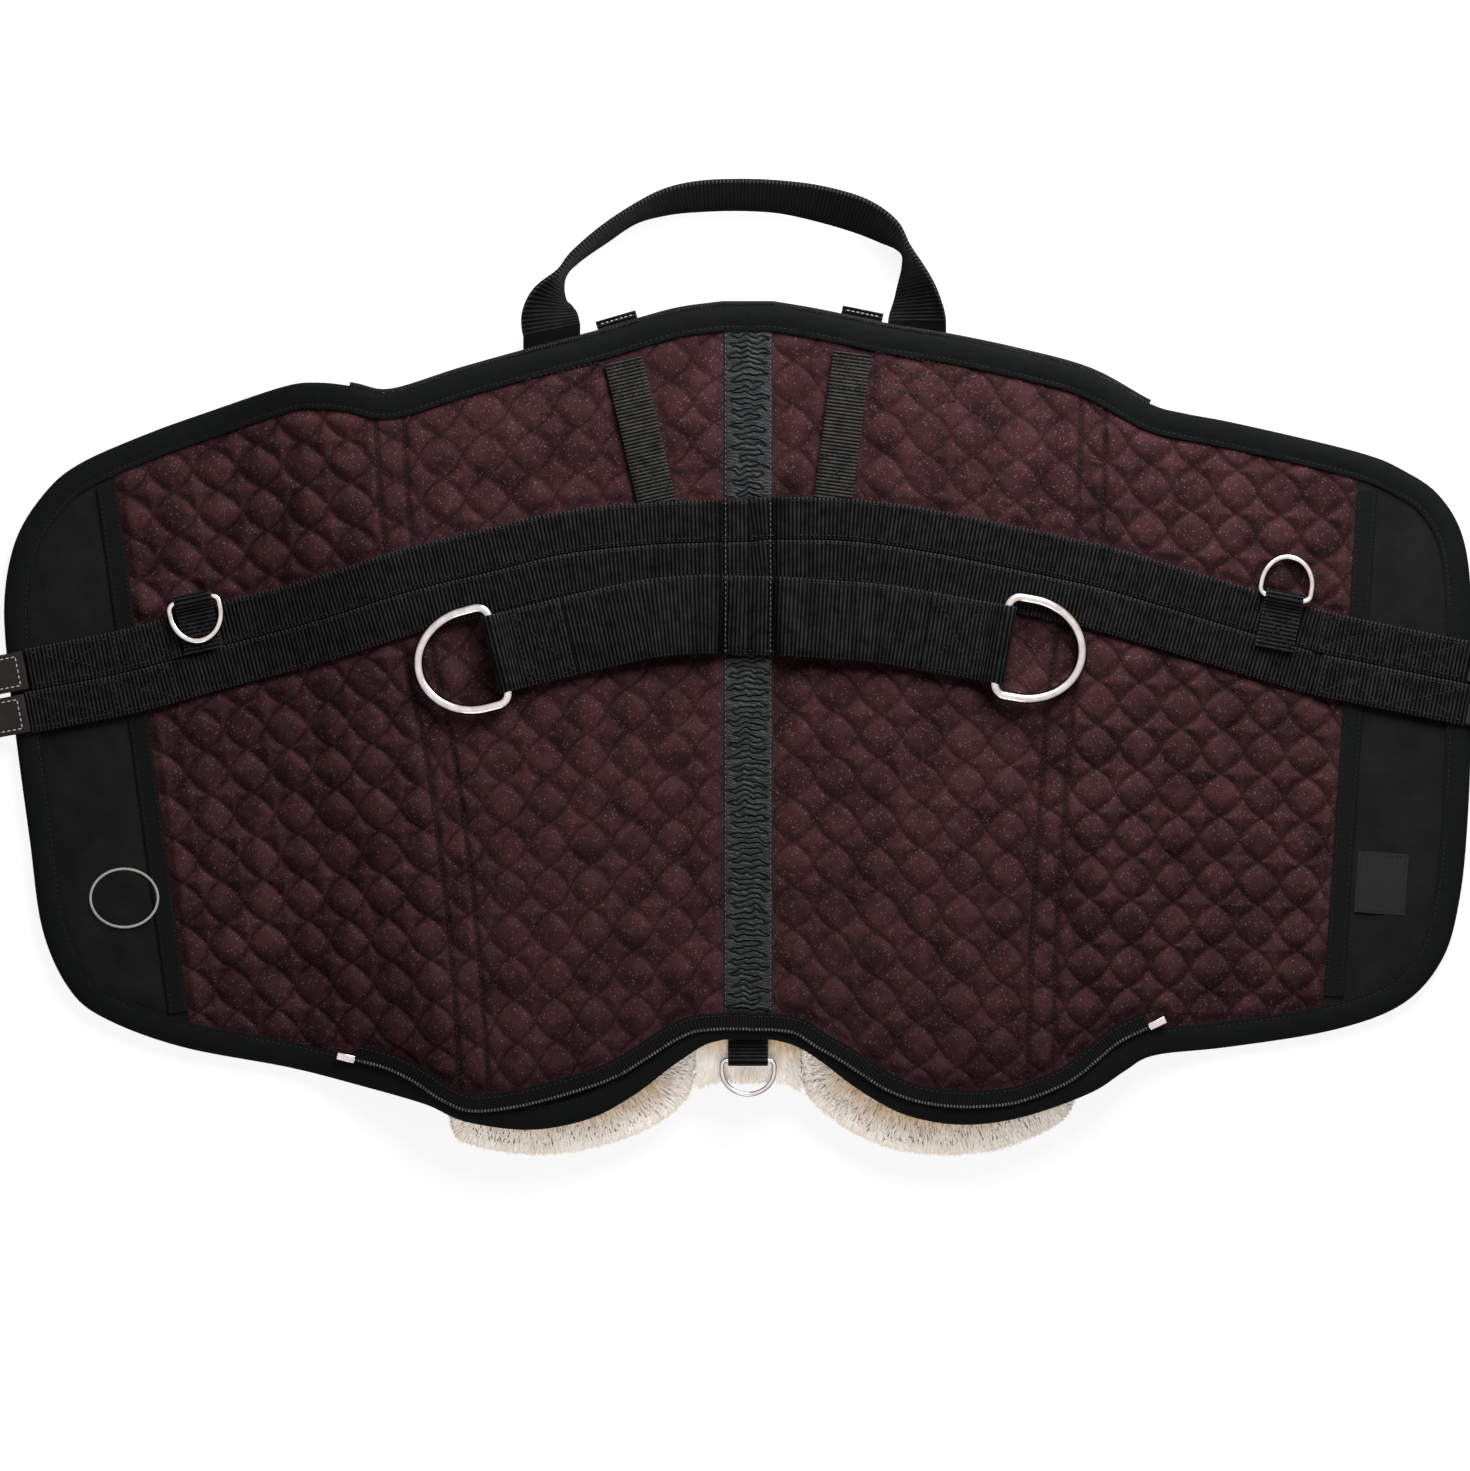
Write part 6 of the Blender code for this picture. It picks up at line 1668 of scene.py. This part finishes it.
def combed(points, line, sign, upper):
    """Where points are along a closed outline and inside it, and the way that the pile faces there."""
    nearest = np.empty(len(points), int)
    for first in range(0, len(points), 8000):
        part = points[first:first + 8000, None, :2] - line[None]
        nearest[first:first + 8000] = (part**2).sum(2).argmin(1)
    depth = distance_to(points[:, 0], points[:, 1], line)
    share = np.clip(depth / (12 * MM), 0, 1)
    outward = sign * left_of(line)[nearest]
    facing = np.column_stack([outward * 0.4 * (1.05 - share)[:, None], upper * (share + 0.6)])
    facing += np.random.default_rng(131).normal(0, 0.12, facing.shape)
    return np.column_stack([lengths(line)[nearest], depth, points[:, 2]]), unit(facing)


def facing_up(points, middle):
    """The way that the pile faces on a tongue of wool."""
    facing = np.column_stack([np.tile((0.0, -0.35), (len(points), 1)), np.where(points[:, 2] > middle, 1.0, -1.0)])
    return unit(facing + np.random.default_rng(133).normal(0, 0.12, facing.shape))


def wool_piece(name, body, replaces, base, grown, pile):
    """Wool from its soft base and the locks that grow on it. The pile gives each point's comb and facing."""
    points, faces = base
    made, strands, tips = grown
    faces = faces + [[v + len(points) for v in face] for face in strands]
    tips = np.concatenate([np.full(len(points), 0.7), tips])
    points = np.vstack([points, made])
    comb, facing = pile(points)
    piece = new_piece(name, points, faces, "sheared_wool", body, replaces, "lambskin", 170, facing, tip=tips,
                      comb=comb)
    bpy.data.collections["lit_wool"].objects.link(piece)
    return piece


def tongue_pile(rear, middle):
    """How wool lies on the tongue and the gussets: combed rearwards, facing up above its middle."""
    return lambda points: (np.column_stack([points[:, 0], points[:, 1] - rear, points[:, 2]]),
                           facing_up(points, middle(points[:, 0])))


def rim_locks(side, body, chance, wanted):
    """Locks that point outwards round the rim, most of them where it shows behind the seat."""
    sign = SIDES[side]
    closed_line = np.vstack([body, body[:1]])
    spots = chance.uniform(0, lengths(closed_line)[-1], wanted * 3)
    place = at_length(closed_line, spots)
    showing = place[:, 1] < edge_y(side, np.abs(place[:, 0]), False) + 14 * MM
    kept = chance.uniform(0, 1, len(spots)) < np.where(showing, 1.0, 0.22)
    spots, place = spots[kept][:wanted], place[kept][:wanted]
    ahead = at_length(closed_line, spots + 1 * MM) - at_length(closed_line, spots - 1 * MM)
    outward = unit(np.column_stack([ahead[:, 1], -ahead[:, 0]]) * -sign)
    if np.mean(inside(place + outward * 1 * MM, body)) > 0.5:
        outward = -outward
    # Locks lie over the top like shingles, and round the rim they stand off it
    near_rim = chance.uniform(0, 1, len(spots)) < 0.4
    depth = chance.uniform(0, 32, len(spots)) * MM * np.where(near_rim, 0.15, 1)
    low_part = chance.uniform(0, 1, len(spots)) < 0.22
    held = inside(place - outward * depth[:, None], body)
    place, outward, depth, low_part = place[held], outward[held], depth[held], low_part[held]
    count = len(place)
    turned = np.where(low_part, -1, 1)
    rise = np.sqrt(1 - (1 - np.clip(depth / (8 * MM), 0, 1)) ** 2)
    height = 10.5 * MM + turned * rise * 5.8 * MM + chance.normal(0, 0.4 * MM, count)
    roots = np.column_stack([place - outward * depth[:, None], height])
    flat = np.clip(depth / (6 * MM), 0, 1)
    ways = np.column_stack([outward, turned * (0.1 + 0.2 * (1 - flat))])
    ways += chance.normal(0, 1, ways.shape) * (0.22, 0.22, 0.08)
    reach = shape().lock_length * chance.uniform(0.4, 0.62, count) * (0.4 + 0.7 * flat)
    # They stay short beside the spine's own wool, which they near as the pad folds
    reach *= np.where(np.abs(place[:, 0]) < LAMBSKIN_INNER_EDGE + 8 * MM, 0.45, 1)
    bend = chance.normal(0, 0.6 * MM, (count, 3))
    bend[:, 2] -= 0.6 * MM
    return roots, ways, reach, bend, np.where(low_part, 0.35, 1.0)


def underside_locks(side, body, chance, wanted):
    """Locks on the underside, all combed one way, whose ends stay over the slab."""
    tries = chance.uniform(body.min(0), body.max(0), (wanted * 4, 2))
    comb = np.array([0.25 * SIDES[side], -0.95])
    ends = tries + comb * shape().lock_length * 1.35
    tries = tries[inside(tries, body) & inside(ends, body)][:wanted]
    count = len(tries)
    roots = np.column_stack([tries, np.full(count, 4.6 * MM)])
    ways = np.column_stack([np.tile(comb, (count, 1)), np.full(count, -0.12)])
    ways += chance.normal(0, 0.22, ways.shape) * (1, 1, 0.25)
    reach = shape().lock_length * chance.uniform(0.8, 1.3, count)
    return roots, ways, reach, chance.normal(0, 0.8 * MM, (count, 3)) * (1, 1, 0.2), np.full(count, -1.0)


def lambskin(side):
    """Combed wool on a soft slab: dense locks round its rim and over its underside."""
    sign = SIDES[side]
    outline = lambskin_outline(side)
    body = shrunk(outline, 4 * MM, sign)
    chance = np.random.default_rng(101 + sign)

    def levels(x, y):
        return np.full(len(x), 3.5 * MM), np.full(len(x), LAMBSKIN_HEIGHT - 0.6 * MM)

    base = cushion(body, 20, levels, body.mean(0), 3.0)
    count = shape().lock_count
    rim_count = int(count * 0.72)
    rim = rim_locks(side, body, chance, rim_count)
    under = underside_locks(side, body, chance, count - rim_count)
    roots, ways, reach, bends, upper = (np.concatenate(pair) for pair in zip(rim, under))
    widths = np.concatenate([chance.uniform(0.9, 1.6, len(rim[0])), chance.uniform(1.6, 3.0, len(under[0]))]) * MM
    made, strands, tips = locks(roots, ways, reach, widths, bends)
    made[:, 2] = np.clip(made[:, 2], 0.5 * MM, LAMBSKIN_HEIGHT - 0.3 * MM)
    up = [np.clip((base[0][:, 2] - 7 * MM) / (3 * MM), -1, 1), np.repeat(upper, len(LOCK_TIPS))]
    line = np.vstack([outline, outline[:1]])
    wool_piece(f"{side}_wool_pile", f"{side}_half", [f"{side}_lambskin"], base, (made, strands, tips),
               lambda points: combed(points, line, sign, np.concatenate(up)))


WOOL_FRONT = float(edge_y("left", 0, True)) - 2 * MM
WOOL_REAR = float(edge_y("left", 0, False)) - LINING_REACH + WOOL_INSET


def spine_wool():
    """The tongue of lambskin under the spine, which shows past its rear end."""
    front, rear = WOOL_FRONT, WOOL_REAR
    top = SEAT_LIFT - CLEARANCE
    half = LINING_HALF_WIDTH - 1.2 * MM
    outline = evenly(np.array([(-half, front), (half, front), (half, rear + 4 * MM), (0, rear + 3 * MM),
                               (-half, rear + 4 * MM), (-half, front)]), 4 * MM)[:-1]

    def levels(x, y):
        return np.full(len(x), top - LINING_THICKNESS + 1.5 * MM), np.full(len(x), top - 0.8 * MM)

    base = cushion(outline, 6, levels, (0, (front + rear) / 2), 3.0)
    chance = np.random.default_rng(111)
    shown, count = 800, 1500
    y = np.concatenate([chance.uniform(rear + 3 * MM, rear + 34 * MM, shown),
                        chance.uniform(rear, front, count - shown)])
    x = chance.uniform(-half, half, count)
    z = chance.uniform(top - LINING_THICKNESS + 2 * MM, top - 2 * MM, count)
    ways = np.column_stack([x / half * 0.5, np.full(count, -0.9), chance.normal(-0.1, 0.15, count)])
    ways += chance.normal(0, 0.2, ways.shape)
    made, strands, tips = locks(np.column_stack([x, y, z]), ways, chance.uniform(6, 10, count) * MM,
                                chance.uniform(0.8, 1.5, count) * MM, chance.normal(0, 0.6 * MM, (count, 3)))
    made = np.clip(made, (-9 * MM, rear - 2 * MM, top - LINING_THICKNESS), (9 * MM, front, top))
    wool_piece("spine_wool_tongue", "spine", ["spine_lining"], base, (made, strands, tips),
               tongue_pile(rear, lambda x: top - LINING_THICKNESS * 0.85))


def wool_gusset(side):
    """The wool between the spine's tongue and a lambskin, where the pad folds."""
    sign = SIDES[side]
    rear = WOOL_REAR
    inner, outer = LINING_HALF_WIDTH - 0.8 * MM, LAMBSKIN_INNER_EDGE + 4 * MM
    across = np.linspace(inner, outer, 9)
    bow = rear + 3.5 * MM - 6 * MM * ((across - inner) / (outer - inner)) ** 4
    loop = np.vstack([np.column_stack([across, bow]), [(outer, rear + 36 * MM), (inner, rear + 36 * MM)]])
    outline = evenly(np.vstack([loop, loop[:1]]) * (sign, 1), 3 * MM)[:-1]

    def crown(x):
        return SEAT_LIFT - 1.6 * MM - 10 * MM * smoothstep((np.abs(x) - inner) / (outer - inner))

    base = cushion(outline, 8, lambda x, y: (crown(x) - 7 * MM, crown(x)), outline.mean(0), 3.0)
    chance = np.random.default_rng(121 + sign)
    spread, count = 1600, 2200
    x = sign * np.concatenate([chance.uniform(inner, outer, spread),
                               chance.uniform(outer - 7 * MM, outer - 1 * MM, count - spread)])
    share = chance.uniform(0, 1, count)
    y = np.interp(np.abs(x), across, bow) + share * 24 * MM
    z = crown(x) - 3.4 * MM + np.minimum(share * 10, 1) * 2.6 * MM * chance.choice([1, 1, -1], count)
    ways = np.column_stack([chance.normal(0, 0.2, count), np.full(count, -1.0), chance.normal(0, 0.12, count)])
    ways[spread:, 0] += 0.5 * sign
    grown = locks(np.column_stack([x, y, z]), ways, chance.uniform(4.5, 7.5, count) * MM,
                  chance.uniform(0.9, 1.5, count) * MM, chance.normal(0, 0.5 * MM, (count, 3)))
    piece = wool_piece(f"{side}_wool_gusset", None, (), base, grown, tongue_pile(rear, lambda x: crown(x) - 6 * MM))
    fold_with(piece, side)


def foam_insert(side):
    rim = shrunk(lambskin_outline(side), 16 * MM, SIDES[side])
    low, high = (edge_y(side, np.abs(rim[:, 0]), front) for front in (False, True))
    rim[:, 1] = np.clip(rim[:, 1], low + BINDING_WIDTH + 7 * MM, high - BINDING_WIDTH - 7 * MM)

    def levels(x, y):
        base = np.full(len(x), LAMBSKIN_HEIGHT + 0.6 * MM)
        return base, np.maximum(SHEET_BOTTOM + lift(x, y) - 1.9 * MM, base + 1 * MM)

    points, faces = cushion(rim, 10, levels, rim.mean(0), 5.0)
    piece = new_piece(f"{side}_foam_pad", points, faces, "pressed_foam", f"{side}_half",
                      [f"{side}_foam_insert"], "foam", 50)


# Billets

def billet(side, front):
    """A leather girth strap, cut to a point, punched and sewn along both edges."""
    node = f"{side}_{PLACES[front]}_billet"
    start, out, _ = billet_start(side, front)
    start_object()
    bpy.ops.mesh.primitive_grid_add(x_subdivisions=118, y_subdivisions=8, size=1)
    piece = bpy.context.object
    piece.name = f"{node}_strap"
    half, point_length = BILLET_WIDTH / 2, 15 * MM
    places = points_of(piece.data)
    x, y = (places[:, 0] + 0.5) * BILLET_LENGTH, places[:, 1] * BILLET_WIDTH
    point = np.maximum(0, (x - (BILLET_LENGTH - point_length)) / point_length)
    y = y * (1 - 0.72 * point**1.8)
    piece.data.vertices.foreach_set("co", np.column_stack([x, y, np.full(len(x), BILLET_THICKNESS)]).ravel())
    piece.data.update()
    apply_modifier(piece, "SOLIDIFY", thickness=BILLET_THICKNESS, offset=-1)
    apply_modifier(piece, "BEVEL", width=0.9 * MM, segments=2, limit_method="ANGLE",
                   angle_limit=math.radians(50))
    for index in range(HOLE_COUNT):
        middle = BILLET_LENGTH - FIRST_HOLE - index * HOLE_PITCH
        bpy.ops.mesh.primitive_cylinder_add(vertices=20, radius=HOLE_SIZE / 2, depth=12 * MM,
                                            location=(middle, 0, 2 * MM))
        cut(piece, bpy.context.object)

    def rise(run):
        return (SECOND_LEVEL - 1 * MM) * (1 - smoothstep((run - BILLET_HOLD) / BILLET_DROP))

    points = points_of(piece.data)
    ways = np.array([out, (-out[1], out[0])])
    put(piece, np.column_stack([start + points[:, :2] @ ways, points[:, 2] + rise(points[:, 0])]))
    settle(piece, "bridle_leather", node, [node], 35)

    def height(x, y):
        return BILLET_THICKNESS + 0.05 * MM + rise((np.column_stack([x, y]) - start) @ out)

    # Two long rows of white thread, and rows across at the fold
    side_row, end = half - SEWN_IN, BILLET_LENGTH - 18 * MM
    rows = [[(5 * MM, across), (end, across)] for across in (-side_row, side_row)]
    rows += [[(place, -side_row), (place, side_row)] for place in (5 * MM, 24 * MM)]
    for row in rows:
        sew(node, "white_thread", start + evenly(np.array(row), 4 * MM) @ ways, height, pitch=3.6 * MM,
            length=2.6 * MM)


# Label and oval

def plain_label():
    """A small woven label with nothing on it, sewn down all round."""
    place = LABEL_SHARE * HALF_DEPTH
    across = float(across_at(JOINS["right"], place)) + TAPE_WIDTH + LABEL_GAP + LABEL_WIDTH / 2
    turn = math.radians(LABEL_TURN)
    ways = np.array([(math.cos(turn), math.sin(turn)), (-math.sin(turn), math.cos(turn))])
    share, down = np.meshgrid(np.linspace(-0.5, 0.5, 25), np.linspace(0.5, -0.5, 29))
    plan = (across, place) + np.stack([share * LABEL_WIDTH, down * LABEL_DEPTH], -1) @ ways
    x, y = plan[..., 0], plan[..., 1]
    rise = lift(x, y) + SHEET_TOP + CLEARANCE
    puff = 0.35 * MM * (1 + ripple(x, y, 20 * MM, 121)) * np.cos(share * math.pi)
    points, faces = slab(np.stack([x, y, rise + LABEL_THICKNESS + puff * 0.6], -1), np.stack([x, y, rise], -1), 1)
    piece = new_piece("blank_woven_label", points, faces, "damask_label", "right_half", ["woven_label"],
                      "label", 50)
    corners = np.array([(-1, -1), (1, -1), (1, 1), (-1, 1), (-1, -1)])
    rim = corners * (LABEL_WIDTH / 2 - 1.8 * MM, LABEL_DEPTH / 2 - 1.8 * MM)
    sew("right", "dark_thread", (across, place) + evenly(rim, 3 * MM) @ ways,
        over(SHEET_TOP + CLEARANCE + LABEL_THICKNESS + 0.35 * MM), pitch=3 * MM, length=2 * MM)


def sewn_oval():
    """A plain oval in white satin stitch on the left end panel."""
    angles = np.linspace(0, 2 * math.pi, 90)
    line = np.array(OVAL_CENTRE) + np.column_stack([22 * MM * np.cos(angles), 19 * MM * np.sin(angles)])
    sew("left", "white_thread", line, over(SHEET_TOP + 1 * MM), pitch=0.6 * MM, length=1.9 * MM, across=True)


def stitching():
    """Makes each side's rows of stitches from one modelled stitch."""
    slots = {"white_thread": "leather", "grey_thread": "webbing", "dark_thread": "black_cloth"}
    for (side, thread, blended), rows in STITCHES.items():
        places, along, long = (np.concatenate(parts) for parts in zip(*rows))
        up = np.tile((0.0, 0.0, 1.0), (len(places), 1))
        points, faces = repeated(thread_unit(1.0, 0.3, 0.26), places, along, up, long)
        body = f"{side}_half" if side in SIDES else side
        piece = new_piece(f"{side}_{thread}{'_fold' if blended else ''}_stitches", points, faces, thread,
                          None if blended else body, (), slots[thread], 80)
        if blended:
            fold_with(piece, side)


# Stage

def emptied(data):
    """The node tree of a material or a world, with nothing in it."""
    data.use_nodes = True
    data.node_tree.nodes.clear()
    return data.node_tree


def chosen(tree, share, first, second):
    """Shows the second shader as far as the share says, and the first for the rest."""
    return add_node(tree, "ShaderNodeMixShader", {0: share, 1: first, 2: second}).outputs[0]


def either(tree, first, second):
    return add_node(tree, "ShaderNodeMath", {0: first, 1: second}, operation="MAXIMUM").outputs[0]


def stage():
    """Pale floor, soft lamps and a camera straight above the pad."""
    scene = bpy.context.scene
    start_object()
    bpy.ops.mesh.primitive_plane_add(size=6, location=(0, 0, -0.3 * MM))
    floor = bpy.context.object
    floor.name = "studio_floor"
    paper = bpy.data.materials.new("matt_paper")
    floor.data.materials.append(paper)
    tree = emptied(paper)
    ray = add_node(tree, "ShaderNodeLightPath").outputs
    back = add_node(tree, "ShaderNodeNewGeometry").outputs["Backfacing"]
    matt = add_node(tree, "ShaderNodeBsdfDiffuse", {"Color": linear("#f4f4f4")}).outputs[0]
    clear = add_node(tree, "ShaderNodeBsdfTransparent").outputs[0]
    # The camera sees the white world through the paper, and on it just the light that the shadows leave
    thin = add_node(tree, "ShaderNodeBsdfTransparent", {"Color": (0.88, 0.88, 0.88, 1)}).outputs[0]
    shaded = add_node(tree, "ShaderNodeBsdfDiffuse", {"Color": (0.27, 0.27, 0.27, 1)}).outputs[0]
    both = add_node(tree, "ShaderNodeAddShader", {0: thin, 1: shaded}).outputs[0]
    seen = chosen(tree, ray["Is Camera Ray"], matt, both)
    surface = chosen(tree, either(tree, back, ray["Is Shadow Ray"]), seen, clear)
    add_node(tree, "ShaderNodeOutputMaterial", {"Surface": surface})

    scene.world = bpy.data.worlds.new("studio")
    tree = emptied(scene.world)
    ray = add_node(tree, "ShaderNodeLightPath").outputs
    soft, white = (add_node(tree, "ShaderNodeBackground", {"Color": (1, 1, 1, 1), "Strength": power}).outputs[0]
                   for power in (0.14, 1.0))
    shown = either(tree, either(tree, ray["Is Camera Ray"], ray["Is Glossy Ray"]), ray["Is Transmission Ray"])
    add_node(tree, "ShaderNodeOutputWorld", {"Surface": chosen(tree, shown, soft, white)})

    for name, place, size, power in LAMPS:
        data = bpy.data.lights.new(name, "AREA")
        data.shape = "SQUARE"
        data.size = size
        data.energy = power
        lamp = bpy.data.objects.new(name, data)
        scene.collection.objects.link(lamp)
        lamp.location = place
        lamp.rotation_euler = (-Vector(place)).to_track_quat("-Z", "Y").to_euler()
    # The wool lies in the pad's own shadow, so the last lamp lights it alone
    lamp.light_linking.receiver_collection = bpy.data.collections.new("lit_wool")

    data = bpy.data.cameras.new("above")
    data.lens, data.sensor_width = 180, 36
    camera = bpy.data.objects.new("above", data)
    scene.collection.objects.link(camera)
    camera.location = (-8.45 * MM, -42.6 * MM, VIEW_WIDTH * data.lens / data.sensor_width + 20 * MM)
    scene.camera = camera
    scene.view_settings.view_transform = "Standard"


def on_sides(*makes):
    """A step that makes these pieces on the left, and then on the right."""
    return lambda: [make(side) for side in SIDES for make in makes]


def front_and_rear(make):
    return lambda side: [make(side, front) for front in (True, False)]


def operator(name, label, description, *runs):
    """One step of the add-on, as an operator that runs it."""
    def execute(self, context):
        for run in runs:
            run()
        return {"FINISHED"}
    body = {"bl_idname": f"pad.{name}", "bl_label": label, "__doc__": description, "execute": execute,
            "bl_options": {"REGISTER", "UNDO"}}
    return type(f"PAD_OT_{name}", (bpy.types.Operator,), body)


STEPS = tuple(operator(*step) for step in (
    ("stage", "Stage", "Adds the pale floor, the soft lamps and the camera", stage),
    ("quilts", "Quilted panels", "Adds both quilted panels", on_sides(quilt_panel)),
    ("ends", "End panels", "Adds both plain end panels", on_sides(end_panel)),
    ("bindings", "Bindings", "Adds the binding round each half", on_sides(edge_binding)),
    ("tapes", "Seam tapes", "Adds the tape over each join", on_sides(seam_tape)),
    ("spine", "Spine band", "Adds the shirred band over the spine", spine_band),
    ("girths", "Girth webs", "Adds the four girth webs", on_sides(front_and_rear(girth_web))),
    ("anchors", "Billet anchors", "Adds the webs that hold the billets", on_sides(front_and_rear(billet_anchor))),
    ("stirrups", "Stirrup webs", "Adds the webs that hold the big rings", on_sides(stirrup_web)),
    ("straps", "Short straps", "Adds the short front straps and their ends", on_sides(front_strap, front_tab)),
    ("tabs", "Ring tabs", "Adds the tabs of the small rings and the rear loop", on_sides(small_ring_tab),
     rear_ring_loop),
    ("rings", "Rings", "Adds the five rings", on_sides(big_ring, little_ring), rear_ring),
    ("handle", "Handle", "Adds the grab handle and its stitching", on_sides(handle_half, handle_stitching)),
    ("zips", "Zips", "Adds the zip halves and their metal boxes", on_sides(rear_zip, front_zip, zip_stop)),
    ("lambskins", "Lambskins", "Adds the wool under the seat and the spine", on_sides(lambskin), spine_wool,
     on_sides(wool_gusset)),
    ("foams", "Foam", "Adds the foam inside the seat", on_sides(foam_insert)),
    ("billets", "Billets", "Adds the four leather billets", on_sides(front_and_rear(billet))),
    ("label", "Label", "Adds the blank label and the sewn oval", plain_label, sewn_oval),
    ("stitches", "Stitching", "Adds all rows of stitches", stitching),
))


class PAD_PT_panel(bpy.types.Panel):
    """Lists the pad's pieces, sizes and colours."""
    bl_label = "Bareback pad"
    bl_idname = "PAD_PT_panel"
    bl_space_type = "VIEW_3D"
    bl_region_type = "UI"
    bl_category = "Bareback pad"

    def draw(self, context):
        for step in STEPS:
            self.layout.operator(step.bl_idname)
        for group in (shape(), colours()):
            for name in group.__annotations__:
                self.layout.prop(group, name)


CLASSES = (PadShape, PadColours, *STEPS, PAD_PT_panel)


def register():
    for kind in CLASSES:
        bpy.utils.register_class(kind)
    bpy.types.Scene.pad_shape = bpy.props.PointerProperty(type=PadShape)
    bpy.types.Scene.pad_colours = bpy.props.PointerProperty(type=PadColours)


def unregister():
    del bpy.types.Scene.pad_colours
    del bpy.types.Scene.pad_shape
    for kind in reversed(CLASSES):
        bpy.utils.unregister_class(kind)


def main():
    register()
    for step in STEPS:
        getattr(bpy.ops.pad, step.bl_idname.split(".")[1])()


if __name__ == "__main__":
    main()
